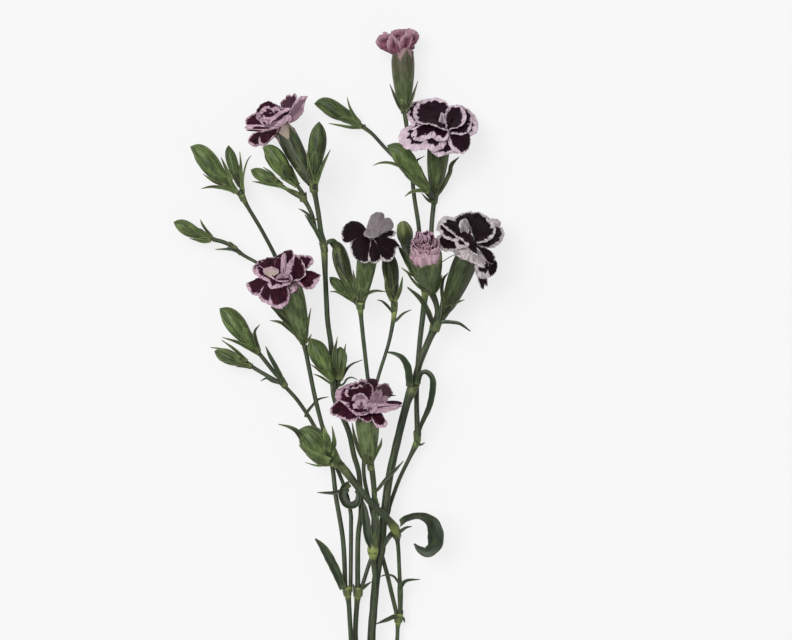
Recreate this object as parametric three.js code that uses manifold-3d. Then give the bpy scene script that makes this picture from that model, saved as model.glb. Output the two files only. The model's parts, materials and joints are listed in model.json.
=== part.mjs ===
// Spray dianthus, cut at the base of the plant and lying on a surface.
// Units are millimetres, +Z is up, +Y runs from the cut end to the flowers.
// Every centreline point is [x, y, z, size]; the size is a radius for stems,
// and a width for leaves, whose fifth number is the turn of the blade in degrees.
// Origin: the middle of the bounding box, on the surface the plant lies on.
import * as THREE from 'three';
import { mergeVertices } from 'three/addons/utils/BufferGeometryUtils.js';
import Module from 'manifold-3d';

const wasm = await Module();
wasm.setup();

// ---------------------------------------------------------------- dimensions
const GAP = 0.32;            // clearance between neighbouring pieces
const STEM_SIDES = 8;
const CALYX_SIDES = 10;
const BUD_SIDES = 8;
const COROLLA_LOBES = 5;
const LEAF_THICKNESS = 0.9;
const CENTRE_SHIFT = [31.735, 59.584, -0.004];   // moves the model to its origin

// Stems: swollen at the joints where the shoots part.
const STEMS = {
  base_stem: [
    [-12.35, -277.64, 3.42, 3.7], [-12.62, -269.91, 3.7, 3.7], [-12.94, -264.31, 4.3, 4.3], [-13.16, -260.4, 4.7, 5],
    [-13.16, -257.63, 4.9, 4.3],
  ],
  stem_a_lower: [
    [-16.64, -256.72, 6.9, 1.5], [-19.14, -232.43, 8.2, 1.35], [-22.39, -204.83, 10, 1.3], [-24.01, -180.1, 11.2, 1.3],
    [-24.77, -170.19, 11.9, 1.3], [-25.67, -154.77, 13.3, 1.35], [-26.37, -149.26, 13.9, 2], [-26.47, -146.51, 14.1, 2.3],
  ],
  stem_b_lower: [
    [-14.93, -257.4, 3.1, 1.5], [-16.46, -233.12, 3.9, 1.4], [-19.19, -205.55, 4.9, 1.4], [-21.91, -177.99, 6.2, 1.4],
    [-22.11, -166.95, 6.9, 1.4], [-21.33, -154.8, 7.9, 1.5], [-20.89, -150.38, 8.4, 2.2], [-20.78, -147.62, 8.6, 2.5],
  ],
  stem_c: [
    [-11.83, -256.76, 6.7, 2.2], [-12.31, -229.82, 7.4, 2.3], [-12.96, -202.32, 8.4, 2.3], [-13.39, -174.84, 9.6, 2.3],
    [-12.29, -158.36, 10.4, 2.25], [-11.19, -144.63, 11.2, 2.25], [-9.82, -134.18, 12, 2.25], [-7.8, -124.29, 12.9, 2.25],
    [-7.19, -113.33, 13.6, 2.25], [-5.66, -100.75, 14.2, 2.25], [-3.27, -83.85, 14.6, 2.2], [2.18, -59.88, 14.8, 2.15],
    [5.99, -45.18, 15, 2.2], [8.71, -38.1, 15, 2.9], [10.34, -33.2, 15, 1.95], [13.06, -22.86, 15, 1.9],
    [18.5, -9.79, 15.5, 1.9], [20.67, -5.17, 15.8, 2.6], [21.54, -3.05, 16, 2.9],
  ],
  stem_d_lower: [
    [-8.61, -257.29, 3.7, 1.3], [-5.48, -233.11, 4, 1.15], [-2.19, -205.62, 4.4, 1.1], [0.44, -178.15, 4.9, 1.1],
    [0.88, -168.79, 5.2, 1.15], [1.26, -164.65, 5.5, 2.1], [1.37, -162.45, 5.6, 2.3],
  ],
  stem_a: [
    [-27.6, -144.97, 14.8, 1.3], [-28.83, -119.67, 16, 1.3], [-32.61, -96.21, 17, 1.25], [-34.23, -82.05, 17.5, 1.25],
    [-36.39, -70.61, 18, 1.2], [-39.64, -59.18, 18.6, 1.2], [-44.06, -41.51, 19.6, 1.2], [-48.31, -20.06, 20.6, 1.2],
    [-49.43, -14.36, 21, 1.5],
  ],
  stem_a_left: [
    [-24.75, -144.99, 13, 1.15], [-24.55, -114.55, 12, 1.15], [-24.83, -104.76, 11.5, 1.15], [-27.84, -92.25, 11, 1.1],
    [-34.4, -76.44, 10.5, 1.1], [-44.43, -58.24, 11, 1.1], [-48.56, -51.29, 11.5, 1.1], [-54.09, -43.35, 12.5, 1.1],
    [-59.51, -37.22, 13.3, 1.1], [-60.86, -35.42, 13.5, 1.8],
  ],
  stem_a_side: [
    [-48.16, -22.29, 17, 0.9], [-51.71, -7.62, 15, 1.1], [-57.77, 11.99, 13.2, 1.1], [-62.68, 26.16, 13, 1.1],
    [-66.15, 35.53, 13.4, 1.1], [-73.5, 49.55, 14.6, 1.05], [-80.3, 60.93, 15.8, 1.1], [-82.88, 65.53, 16.3, 1.6],
    [-83.63, 66.89, 16.4, 1.7],
  ],
  stem_far_left: [
    [-65.32, 24.54, 12.6, 0.9], [-72, 28.91, 12, 0.9], [-77.48, 32.19, 11.6, 0.9], [-82.96, 35.2, 11.2, 0.95],
    [-86.51, 37.94, 11, 1.3], [-90.06, 40.66, 11, 1.6], [-94.98, 42.79, 11, 1.5], [-98.03, 43.56, 11, 1.3],
  ],
  stem_b: [
    [-20.94, -146.3, 8.7, 1.45], [-20.76, -120.17, 10, 1.4], [-19.1, -103.69, 11.2, 1.4], [-20.17, -83.97, 12.6, 1.4],
    [-24.2, -73.58, 13.2, 1.5], [-26.97, -63.19, 13.8, 1.5], [-29.03, -55.33, 14.2, 1.5], [-33.21, -43.55, 14.8, 1.5],
    [-34.02, -35.38, 15.2, 1.9], [-34.39, -28.29, 15.6, 1.6], [-35.34, -13.59, 16.6, 1.45], [-37.16, 0, 17.6, 1.4],
    [-38.26, 21.71, 19.4, 1.4], [-39.02, 39.02, 21.2, 1.9], [-40.63, 47.67, 22, 1.4], [-42.06, 57.92, 23, 1.4],
    [-43.56, 66.55, 23.6, 1.45], [-44.2, 69.79, 23.8, 2], [-44.47, 71.41, 23.9, 2.3],
  ],
  stem_b_side: [
    [-43.19, 47.75, 19.6, 0.9], [-45.37, 56.44, 19.2, 1.15], [-47.77, 61.88, 19, 1.15], [-49.94, 65.41, 19, 1.5],
    [-50.7, 66.87, 19, 1.8],
  ],
  stem_b_right: [
    [-18.28, -144.75, 7.2, 1.1], [-13.69, -130.89, 6.2, 1.1], [-9.86, -124.86, 6.2, 1.1], [-4.38, -106.22, 6.6, 1.1],
    [-3.12, -100.73, 6.7, 1.1], [1.64, -87.58, 7, 1.1], [7.88, -74.43, 7.2, 1.2], [11.16, -67.31, 7.3, 1.9],
    [11.71, -63.48, 7.3, 1.6], [11.28, -43.79, 7, 1.35], [11.77, -27.37, 6.8, 1.35], [13.14, -10.95, 6.8, 1.4],
    [14.56, 1.09, 7, 1.5], [15.65, 10.95, 7.2, 1.7], [16.14, 16.42, 7.2, 2.3], [16.2, 18.61, 7.2, 2.4],
  ],
  stem_t1: [
    [14.12, 20.25, 7.4, 1.2], [13.62, 35.55, 8, 1.2], [12.36, 51.4, 8.4, 1.2], [9.84, 68.32, 9, 1.15],
    [7.65, 90.14, 9.8, 1.1], [6.01, 103.74, 10.6, 1.1], [5.02, 111.62, 11, 1.4],
  ],
  stem_b2: [
    [18.02, 20.27, 6, 1.3], [18.91, 35.64, 4.6, 1.3], [19.53, 51.58, 3.4, 1.3], [20.65, 63.15, 2.3, 1.35],
    [20.87, 65.36, 2, 1.9], [20.98, 66.57, 2.04, 2.2],
  ],
  stem_r1: [
    [18.19, 67.68, 5.2, 0.9], [8.77, 79.48, 5, 1], [-4.94, 93.22, 4.3, 1], [-12.62, 101.64, 3.9, 1],
    [-17.66, 105.6, 3.8, 1.2],
  ],
  stem_c_side: [
    [-10.94, -148.08, 14.8, 0.8], [-11.53, -138.72, 15.8, 1.3], [-12.34, -130.47, 16.8, 1.7], [-12.5, -125.53, 17.4, 3.1],
    [-12.39, -121.16, 17.6, 2.5], [-12.06, -114.12, 17.4, 1.7], [-11.85, -105.98, 17.2, 1.5], [-11.84, -93.45, 17.6, 1.5],
    [-13.02, -81.39, 19.6, 1.6], [-13.89, -79.3, 20, 1.8],
  ],
  stem_d_left: [
    [0.16, -160.29, 5.3, 1.2], [-2.3, -149.87, 5.9, 1.2], [-4.82, -139.26, 6.9, 1.2], [-8.09, -126.84, 8.6, 1.15],
    [-10.93, -113.66, 9.4, 1.15], [-14.75, -98.3, 10.2, 1.15], [-17.36, -85.71, 10.8, 1.1], [-17.36, -73.68, 11.2, 1.1],
    [-15.82, -57.28, 11.8, 1.2], [-13.91, -46.35, 12.4, 1.8], [-13.52, -44.16, 12.6, 1.9],
  ],
  stem_b4: [
    [-14.17, -42.24, 13, 1], [-15.57, -29.95, 14.4, 1.1], [-17.72, -10.87, 16.8, 1.15], [-19.11, 2.71, 18.8, 1.3],
    [-19.32, 6.78, 19.4, 2.1], [-19.37, 8.36, 19.6, 2.3],
  ],
  stem_b4_right: [
    [-11.88, -42.09, 12.8, 0.9], [-9.81, -31.61, 13, 0.95], [-4.25, -13.62, 13.4, 1], [-1.63, -1.09, 14, 1.2],
    [-0.98, 4.36, 14.3, 1.6], [-0.93, 7.89, 14.6, 1.7],
  ],
  stem_d_right: [
    [2.35, -160.19, 6.2, 1.25], [2.3, -148.86, 7.2, 1.6], [1.97, -140, 8.2, 1.1], [1.42, -127.81, 10, 1.1],
    [0.87, -120.55, 12, 1.3], [0.44, -117.7, 13.4, 2.3], [-0.76, -113.3, 17.4, 2.5], [-3.8, -108.73, 20.4, 2.1],
    [-8.12, -104.26, 22.2, 1.9], [-12.45, -100.12, 23.2, 1.8], [-18.67, -92.79, 23.6, 1.8], [-25.97, -83.32, 23.6, 2.2],
    [-29.11, -79.86, 23.6, 2.3],
  ],
};

// Calyx tubes: base and mouth on the axis, largest radius, radius at each end.
const CALYXES = {
  calyx_top: { base: [4.64, 112.97, 11.2], mouth: [3.38, 143.35, 13], radius: 5.9, foot: 1.5, mouthRadius: 5.3 },
  calyx_upper_right: { base: [21.36, 68.21, 2.2], mouth: [23.42, 96.93, 14.4], radius: 5.8, foot: 2, mouthRadius: 5.2 },
  calyx_upper_left: { base: [-45.87, 73.89, 24], mouth: [-59.07, 99.09, 18.6], radius: 5.4, foot: 2, mouthRadius: 4.9 },
  calyx_centre: { base: [-18.87, 10.58, 20.2], mouth: [-14.74, 37.93, 31.5], radius: 5.2, foot: 2, mouthRadius: 4.7 },
  calyx_right: { base: [26.64, 3.53, 16.5], mouth: [37.46, 31.53, 29], radius: 6.3, foot: 2, mouthRadius: 5.6, stalk: [[23.17, -2.88, 16.1, 1.1], [24.69, 0, 16.3, 1.4]] },
  calyx_opening: { base: [19.32, 14.92, 19.5], mouth: [16.39, 30.26, 38], radius: 8.2, foot: 2, mouthRadius: 8, stalk: [[20.61, -1.79, 16.1, 1.15], [22.29, 3.81, 16.9, 1.3], [21.52, 8.97, 17.6, 1.35], [20.31, 12.49, 18.6, 1.6]] },
  calyx_left: { base: [-49.9, -12.25, 21.6], mouth: [-57.76, 11.82, 33.5], radius: 6.5, foot: 1.9, mouthRadius: 5.8 },
  calyx_front: { base: [-14.31, -77.63, 20.8], mouth: [-15.7, -50.27, 32.5], radius: 6.1, foot: 2, mouthRadius: 5.4 },
};

// Open petals of each flower: middle, the way the flower faces, half width,
// half depth, how far it reaches behind and in front of the middle.
const COROLLAS = {
  corolla_top: { calyx: 'calyx_top', middle: [1.31, 150.69, 13.2], face: [-0.090, 0.996, 0.000], halfWidth: 11.6, halfDepth: 9, behind: 5.6, front: 7.2 },
  corolla_upper_right: { calyx: 'calyx_upper_right', middle: [23.7, 104.16, 23.5], face: [0.013, 0.669, 0.743], halfWidth: 21.4, halfDepth: 19, behind: 5.5, front: 8 },
  corolla_upper_left: { calyx: 'calyx_upper_left', middle: [-65.22, 108.91, 17.2], face: [-0.407, 0.903, -0.139], halfWidth: 18.6, halfDepth: 18.05, behind: 4, front: 8.5 },
  corolla_centre: { calyx: 'calyx_centre', middle: [-14.48, 43.98, 36], face: [0.064, 0.640, 0.766], halfWidth: 14.6, halfDepth: 16, behind: 4, front: 5 },
  corolla_right: { calyx: 'calyx_right', middle: [40.26, 41.87, 35], face: [0.228, 0.629, 0.743], halfWidth: 18.6, halfDepth: 19, behind: 5.5, front: 8 },
  corolla_opening: { calyx: 'calyx_opening', middle: [15.62, 38.64, 45], face: [-0.032, 0.642, 0.766], halfWidth: 8, halfDepth: 8, behind: 6, front: 6.5 },
  corolla_left: { calyx: 'calyx_left', middle: [-60.52, 21.69, 38], face: [-0.187, 0.642, 0.743], halfWidth: 20, halfDepth: 16.5, behind: 5.5, front: 7.5 },
  corolla_front: { calyx: 'calyx_front', middle: [-15.64, -44.56, 38], face: [-0.030, 0.743, 0.669], halfWidth: 19.6, halfDepth: 15.5, behind: 5, front: 8 },
};

// Closed buds, each with its short stalk.
const BUDS = {
  bud_r1: [
    [-18.32, 106.09, 3.8, 1.25], [-19.42, 106.87, 3.6, 1.5], [-21.97, 108.18, 3.69, 1.81], [-26.54, 110.54, 3.85, 3.61],
    [-31.63, 113.16, 4.03, 4.3], [-36.72, 115.78, 4.21, 3.61], [-41.04, 118, 4.37, 1.98], [-44.85, 119.97, 4.5, 0.35],
  ],
  bud_r2: [
    [20.04, 67.57, 6.4, 1.15], [19.45, 68.51, 9.6, 1.3], [17.77, 70.6, 12.8, 1.7], [15.51, 73.02, 13.67, 2.27],
    [11.43, 77.37, 15.24, 4.54], [6.92, 82.19, 16.98, 5.4], [2.41, 86.99, 18.72, 4.54], [-1.4, 91.07, 20.2, 2.48],
    [-4.77, 94.66, 21.5, 0.38],
  ],
  bud_a: [
    [-85.23, 68.49, 17, 1.2], [-87.17, 69.89, 17.2, 1.5], [-89.62, 72.32, 17.43, 2.18], [-94.03, 76.68, 17.84, 4.37],
    [-98.92, 81.52, 18.3, 5.2], [-103.8, 86.35, 18.76, 4.37], [-107.95, 90.46, 19.16, 2.39], [-111.62, 94.09, 19.5, 0.36],
  ],
  bud_b: [
    [-83.83, 69.55, 13, 1], [-84.63, 72.53, 12.4, 1.2], [-85.3, 74.81, 12.21, 1.26], [-86.51, 78.94, 11.87, 2.52],
    [-87.85, 83.52, 11.49, 3], [-89.2, 88.1, 11.11, 2.52], [-90.34, 92, 10.79, 1.38], [-91.35, 95.44, 10.5, 0.35],
  ],
  bud_side_a: [
    [-50.76, 69.1, 20.2, 1.1], [-53.45, 72.96, 21, 1.4], [-55.31, 75.01, 21.45, 2.14], [-58.68, 78.69, 22.26, 4.28],
    [-62.41, 82.77, 23.16, 5.1], [-66.13, 86.85, 24.06, 4.28], [-69.29, 90.32, 24.82, 2.35], [-72.08, 93.37, 25.5, 0.36],
  ],
  bud_side_b: [
    [-52.94, 67.08, 17, 1], [-57.63, 69.92, 16.6, 1], [-62.23, 73.21, 16, 1.1], [-63.91, 74.09, 15.75, 1.39],
    [-66.95, 75.66, 15.3, 2.77], [-70.33, 77.4, 14.8, 3.3], [-73.71, 79.15, 14.3, 2.77], [-76.58, 80.64, 13.88, 1.52],
    [-79.12, 81.95, 13.5, 0.35],
  ],
  bud_side_c: [
    [-43.8, 72.87, 28, 1.2], [-43.45, 74.39, 28.8, 1.6], [-43.23, 77.63, 29.22, 2.02], [-42.84, 83.44, 29.98, 4.03],
    [-42.41, 89.9, 30.82, 4.8], [-41.97, 96.34, 31.66, 4.03], [-41.6, 101.82, 32.37, 2.21], [-41.28, 106.64, 33, 0.35],
  ],
  bud_far_left: [
    [-99.01, 43.89, 11, 1.2], [-100.65, 44.54, 11, 1.3], [-102.72, 45.43, 11.1, 1.72], [-106.44, 47.04, 11.28, 3.44],
    [-110.57, 48.82, 11.48, 4.1], [-114.7, 50.6, 11.68, 3.44], [-118.21, 52.12, 11.85, 1.89], [-121.31, 53.45, 12, 0.35],
  ],
  bud_l1: [
    [-62.49, -32.44, 15, 1.2], [-65.64, -29.17, 15.2, 1.15], [-70.72, -22.74, 15.8, 1.15], [-74.84, -17.62, 16.2, 1.3],
    [-76.93, -15.23, 16.43, 2.27], [-80.71, -10.92, 16.84, 4.54], [-84.9, -6.13, 17.3, 5.4], [-89.09, -1.35, 17.76, 4.54],
    [-92.65, 2.72, 18.16, 2.48], [-95.78, 6.3, 18.5, 0.38],
  ],
  bud_l2: [
    [-63.73, -33.94, 11.6, 1.1], [-68.66, -31.33, 11.2, 1.1], [-73.71, -28.5, 10.6, 1.1], [-78.87, -25.34, 10, 1.2],
    [-81.08, -24.48, 9.86, 1.76], [-85.04, -22.93, 9.61, 3.53], [-89.45, -21.21, 9.33, 4.2], [-93.87, -19.49, 9.05, 3.53],
    [-97.62, -18.02, 8.81, 1.93], [-100.93, -16.73, 8.6, 0.35],
  ],
  bud_l4: [
    [-29.75, -79.19, 23.9, 2.1], [-31.15, -78.1, 24.2, 2.4], [-33.29, -76.2, 24.88, 3.11], [-37.13, -72.79, 26.1, 6.22],
    [-41.39, -69.01, 27.46, 7.4], [-45.64, -65.23, 28.82, 6.22], [-49.25, -62.03, 29.98, 3.4], [-52.43, -59.21, 31, 0.52],
  ],
  bud_m1: [
    [-33.66, -35.83, 18.9, 1.2], [-33.62, -34.43, 20.6, 1.4], [-34.13, -32.51, 21.6, 1.7], [-35.31, -30.24, 21.99, 2.18],
    [-37.41, -26.15, 22.69, 4.37], [-39.75, -21.61, 23.47, 5.2], [-42.09, -17.08, 24.25, 4.37], [-44.07, -13.23, 24.91, 2.39],
    [-45.82, -9.83, 25.5, 0.36],
  ],
  bud_m2: [
    [-31.28, -34.76, 18.2, 1.1], [-30.94, -32.29, 19.2, 1.5], [-30.79, -30.12, 19.34, 1.62], [-30.53, -26.22, 19.59, 3.23],
    [-30.24, -21.89, 19.87, 3.85], [-29.96, -17.56, 20.15, 3.23], [-29.71, -13.87, 20.39, 1.77], [-29.5, -10.63, 20.6, 0.35],
  ],
  bud_b4_left: [
    [-21.2, 10.55, 17, 1.3], [-21.85, 12.5, 16.8, 1.6], [-23.02, 15.59, 16.57, 1.85], [-25.12, 21.16, 16.16, 3.7],
    [-27.46, 27.35, 15.7, 4.4], [-29.8, 33.54, 15.24, 3.7], [-31.79, 38.8, 14.85, 2.02], [-33.54, 43.45, 14.5, 0.35],
  ],
  bud_b4_small: [
    [-21.58, 8.94, 13.4, 1], [-23.44, 10.57, 13.2, 1.2], [-24.71, 11.72, 13.08, 1.18], [-27.01, 13.78, 12.86, 2.35],
    [-29.57, 16.07, 12.62, 2.8], [-32.13, 18.37, 12.38, 2.35], [-34.3, 20.32, 12.18, 1.29], [-36.22, 22.04, 12, 0.35],
  ],
  bud_b4_right: [
    [-1.14, 8.82, 15, 1.6], [-1.31, 10.67, 15.2, 1.9], [-1.59, 13.41, 15.58, 1.76], [-2.1, 18.33, 16.26, 3.53],
    [-2.66, 23.8, 17.02, 4.2], [-3.22, 29.27, 17.78, 3.53], [-3.7, 33.91, 18.43, 1.93], [-4.13, 38, 19, 0.35],
  ],
  bud_end_on: [
    [14.74, 21.3, 10.4, 1.1], [11.47, 27.3, 10.6, 1.1], [8.4, 33.28, 11.6, 1.2], [6.86, 36.76, 14.4, 1.7],
    [6.51, 38.39, 16.36, 2.23], [5.89, 41.33, 19.89, 4.45], [5.21, 44.57, 23.81, 5.3], [4.52, 47.79, 27.73, 4.45],
    [3.95, 50.51, 31.06, 2.44], [3.44, 52.91, 34, 0.37],
  ],
};

const LEAVES = {
  leaf_curl: [
    [2.5, -110.84, 17.6, 5.5, 50], [6.51, -108.21, 20, 6.6, 60], [11.92, -106.89, 21.8, 7.4, 68], [16.78, -108.02, 22.6, 7.8, 55],
    [20.58, -111.58, 22, 8, 28], [22.12, -117.66, 20.5, 8, 6], [20.85, -122.69, 18.8, 7.6, 0], [16.85, -126.07, 17.4, 6, 0],
    [12.78, -124.49, 16.8, 3.8, 8], [9.9, -121.57, 16.6, 1, 15],
  ],
  leaf_a: [
    [-29.57, -146, 17, 4, 0], [-33.43, -138.07, 19.2, 4.6, 0], [-39.59, -127.61, 20.2, 3.6, 0], [-43.72, -119.33, 20, 0.9, 0],
  ],
  leaf_c_left: [
    [7.06, -35.85, 18.2, 4.2, 20], [6.73, -32.55, 20, 4.4, 20], [5.36, -25.18, 22.5, 4.4, 15], [2.43, -20.12, 24, 3.4, 15],
    [-1.41, -17.96, 24, 2.2, 20], [-5.74, -17.32, 23.4, 0.9, 20],
  ],
  leaf_c_right: [
    [11.62, -35.4, 18.8, 3.8, 20], [13.55, -30.13, 21.5, 4, 35], [16.02, -28.58, 23, 4, 40], [19.16, -31.18, 23, 4, 20],
    [19.95, -36.86, 21, 4.2, 0], [18.15, -46.73, 17.5, 3.8, 0], [13.94, -56.63, 14.5, 2.6, 0], [12.43, -63.23, 13, 0.9, 0],
  ],
  leaf_f_right: [
    [24.43, -1.57, 18.9, 2.6, 30], [25.85, -1.41, 18.2, 3, 30], [30.4, -1.52, 19, 2.8, 30], [34.73, -2.39, 19.5, 2.4, 30],
    [40.38, -6.19, 19, 0.9, 30],
  ],
  leaf_f_left: [
    [20.94, -3.15, 19.9, 2.6, 0], [19.2, -0.22, 20.4, 3, 0], [16.95, 5.42, 22, 3.6, 0], [12.77, 11.9, 23.5, 3.2, 0],
    [6.17, 17.75, 23.5, 0.9, 0],
  ],
  leaf_ring: [
    [-26.62, -89.43, 17.6, 3.2, 30], [-28.99, -92.07, 18.8, 3.6, 40], [-29.08, -96.56, 19.8, 3.8, 40], [-26.79, -100.55, 20.2, 3.8, 40],
    [-22.78, -102.18, 20.2, 3.8, 40], [-19.31, -99.81, 20, 3.2, 40], [-18.88, -96.04, 19.6, 1.4, 40],
  ],
};

// Pieces that are cut clear of a neighbour they grow from or lie on.
const CLEAR_OF = {
  leaf_f_right: ["calyx_right", "stem_c"],
  leaf_f_left: ["calyx_opening", "stem_c"],
  stem_d_right: ["stem_d_left"],
  leaf_c_left: ["stem_c"],
  leaf_c_right: ["stem_c"],
  bud_side_c: ["calyx_upper_left"],
  stem_b_lower: ["base_stem"],
};

// ---------------------------------------------------------------- materials
const GREEN = {
  stem: [0x46543f, 0.6],
  calyx: [0x547048, 0.55],
  bud: [0x5a7a46, 0.55],
  leaf: [0x3f4f3c, 0.5],
};
const PETAL = {
  t1: 0xa87590, b2: 0x4a2236, b3: 0x7c3f5e, b4: 0x3a1a2a,
  b5: 0x4a2a3a, b6: 0xb884a4, b7: 0x5e2440, b8: 0x74445e,
};
const matte = (color, roughness) =>
  new THREE.MeshStandardMaterial({ color, roughness, metalness: 0 });

// ---------------------------------------------------------------- geometry
const V = (a) => new THREE.Vector3(a[0], a[1], a[2]);

// Joins rings of points into one closed skin with a flat cap at each end.
function skin(rings) {
  const n = rings[0].length;
  const pos = [];
  const idx = [];
  for (const ring of rings) for (const p of ring) pos.push(p.x, p.y, p.z);
  for (let i = 0; i + 1 < rings.length; i++) {
    for (let j = 0; j < n; j++) {
      const a = i * n + j;
      const b = i * n + ((j + 1) % n);
      idx.push(a, b, b + n, a, b + n, a + n);
    }
  }
  for (let j = 1; j + 1 < n; j++) {
    idx.push(0, j + 1, j);
    const o = (rings.length - 1) * n;
    idx.push(o, o + j, o + j + 1);
  }
  const g = new THREE.BufferGeometry();
  g.setAttribute('position', new THREE.Float32BufferAttribute(pos, 3));
  g.setIndex(idx);
  return g;
}

// Stations along a smooth curve through the points: more of them where it bends.
function stations(points) {
  const curve = new THREE.CatmullRomCurve3(points.map(V), false, 'catmullrom', 0.5);
  const last = points.length - 1;
  const out = [];
  for (let i = 0; i <= last; i++) {
    out.push(i / last);
    if (i === last) break;
    const mid = curve.getPoint((i + 0.5) / last);
    const flat = V(points[i]).add(V(points[i + 1])).multiplyScalar(0.5);
    if (mid.distanceTo(flat) > 0.3) out.push((i + 0.5) / last);
  }
  return out.map((t) => {
    const i = Math.min(Math.floor(t * last), last - 1);
    const f = t * last - i;
    const mix = (k) => points[i][k] * (1 - f) + points[i + 1][k] * f;
    return { at: curve.getPoint(t), along: curve.getTangent(t), size: mix(3), turn: points[0].length > 4 ? mix(4) : 0 };
  });
}

// Round tube whose radius follows the stations.
function tube(points, sides, grow = 0) {
  const st = stations(points);
  let side = new THREE.Vector3(0, 0, 1);
  const rings = st.map((s, i) => {
    side = side.clone().addScaledVector(s.along, -side.dot(s.along)).normalize();
    const other = new THREE.Vector3().crossVectors(s.along, side);
    const end = i === 0 ? -grow : i === st.length - 1 ? grow : 0;
    const at = s.at.clone().addScaledVector(s.along, end);
    return Array.from({ length: sides }, (_, j) => {
      const a = (2 * Math.PI * (j + 0.5)) / sides;
      return at.clone()
        .addScaledVector(side, Math.cos(a) * (s.size + grow))
        .addScaledVector(other, Math.sin(a) * (s.size + grow));
    });
  });
  return skin(rings);
}

// Ring of points square to an axis.
function ringAt(at, axis, r, sides) {
  const side = new THREE.Vector3(0, 0, 1).addScaledVector(axis, -axis.z).normalize();
  const other = new THREE.Vector3().crossVectors(axis, side);
  return Array.from({ length: sides }, (_, j) => {
    const w = (2 * Math.PI * (j + 0.5)) / sides;
    return at.clone().addScaledVector(side, Math.cos(w) * r).addScaledVector(other, Math.sin(w) * r);
  });
}

// Straight turned body along an axis, from a profile of [part of length, radius],
// standing on a stalk of [x, y, z, radius] where it has one.
function turned(base, tip, profile, sides, grow = 0, stalk = []) {
  const a = V(base);
  const axis = V(tip).sub(a);
  const length = axis.length();
  axis.normalize();
  const rings = stalk.map((p, i) => {
    const next = V(i + 1 < stalk.length ? stalk[i + 1] : base);
    const along = next.sub(V(stalk[Math.max(i - 1, 0)])).normalize();
    return ringAt(V(p).addScaledVector(along, i === 0 ? -grow : 0), along, p[3] + grow, sides);
  });
  profile.forEach(([t, r], i) => {
    const end = i === 0 && !stalk.length ? -grow : i === profile.length - 1 ? grow : 0;
    rings.push(ringAt(a.clone().addScaledVector(axis, t * length + end), axis, r + grow, sides));
  });
  return skin(rings);
}

const calyxProfile = (c) => [
  [0, c.foot], [0.1, c.foot + (c.radius - c.foot) * 0.45], [0.3, c.radius * 0.88],
  [0.6, c.radius], [0.85, (c.radius + c.mouthRadius) / 2], [1, c.mouthRadius],
];

// Mass of open petals: a neck out of the calyx mouth, then a lobed cushion
// square to the way the flower faces.
function cushion(c) {
  const face = V(c.face).normalize();
  const across = new THREE.Vector3(0, 0, 1).cross(face);
  if (across.length() < 0.05) across.set(1, 0, 0);
  across.normalize();
  const up = new THREE.Vector3().crossVectors(face, across).normalize();
  const tube = CALYXES[c.calyx];
  const axis = V(tube.mouth).sub(V(tube.base)).normalize();
  const neckUp = new THREE.Vector3().crossVectors(axis, across).normalize();
  const neckAcross = new THREE.Vector3().crossVectors(neckUp, axis).normalize();
  const neck = V(tube.mouth).addScaledVector(axis, GAP + 0.25);
  const levels = [
    [-c.behind, 0.58, 0], [-c.behind * 0.4, 0.92, 0.5], [c.front * 0.2, 1.0, 1],
    [c.front * 0.62, 0.82, 0.8], [c.front, 0.5, 0.3], [c.front * 0.8, 0.2, 0],
  ];
  const n = COROLLA_LOBES * 4;
  const rings = levels.map(([h, k, ruffle]) => Array.from({ length: n }, (_, j) => {
    const w = (2 * Math.PI * j) / n;
    const notch = [1, 0.45, 0, 0.45][j % 4];
    const lobe = k * (1 - 0.17 * ruffle * notch);
    return V(c.middle)
      .addScaledVector(face, h + ruffle * (j % 2 ? 1 : -0.6))
      .addScaledVector(across, Math.cos(w) * c.halfWidth * lobe)
      .addScaledVector(up, Math.sin(w) * c.halfDepth * lobe);
  }));
  rings.unshift(Array.from({ length: n }, (_, j) => {
    const w = (2 * Math.PI * j) / n;
    return neck.clone()
      .addScaledVector(neckAcross, Math.cos(w) * tube.mouthRadius * 0.85)
      .addScaledVector(neckUp, Math.sin(w) * tube.mouthRadius * 0.85);
  }));
  return skin(rings);
}

// Blade: a thin six-sided section, widest where the table says.
function blade(points, grow = 0) {
  const st = stations(points);
  const rings = st.map((s) => {
    const flat = new THREE.Vector3().crossVectors(new THREE.Vector3(0, 0, 1), s.along).normalize();
    const thick = new THREE.Vector3().crossVectors(s.along, flat).normalize();
    const w = (s.turn * Math.PI) / 180;
    const wide = flat.clone().multiplyScalar(Math.cos(w)).addScaledVector(thick, Math.sin(w));
    const thin = flat.clone().multiplyScalar(-Math.sin(w)).addScaledVector(thick, Math.cos(w));
    const a = s.size / 2 + grow;
    const b = Math.min(LEAF_THICKNESS / 2, s.size / 2) + grow;
    return [[1, 0.25], [0.45, 1], [-0.45, 1], [-1, 0.25], [-1, -0.25], [-0.45, -1], [0.45, -1], [1, -0.25]]
      .map(([x, y]) => s.at.clone().addScaledVector(wide, x * a).addScaledVector(thin, y * b));
  });
  return skin(rings);
}

// ---------------------------------------------------------------- solids
function toSolid(geometry) {
  const g = mergeVertices(geometry, 1e-5);
  return new wasm.Manifold(new wasm.Mesh({
    numProp: 3,
    vertProperties: new Float32Array(g.attributes.position.array),
    triVerts: new Uint32Array(g.index.array),
  }));
}
function toGeometry(solid) {
  const m = solid.getMesh();
  const g = new THREE.BufferGeometry();
  g.setAttribute('position', new THREE.Float32BufferAttribute(m.vertProperties, 3));
  g.setIndex(Array.from(m.triVerts));
  return g;
}

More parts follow.
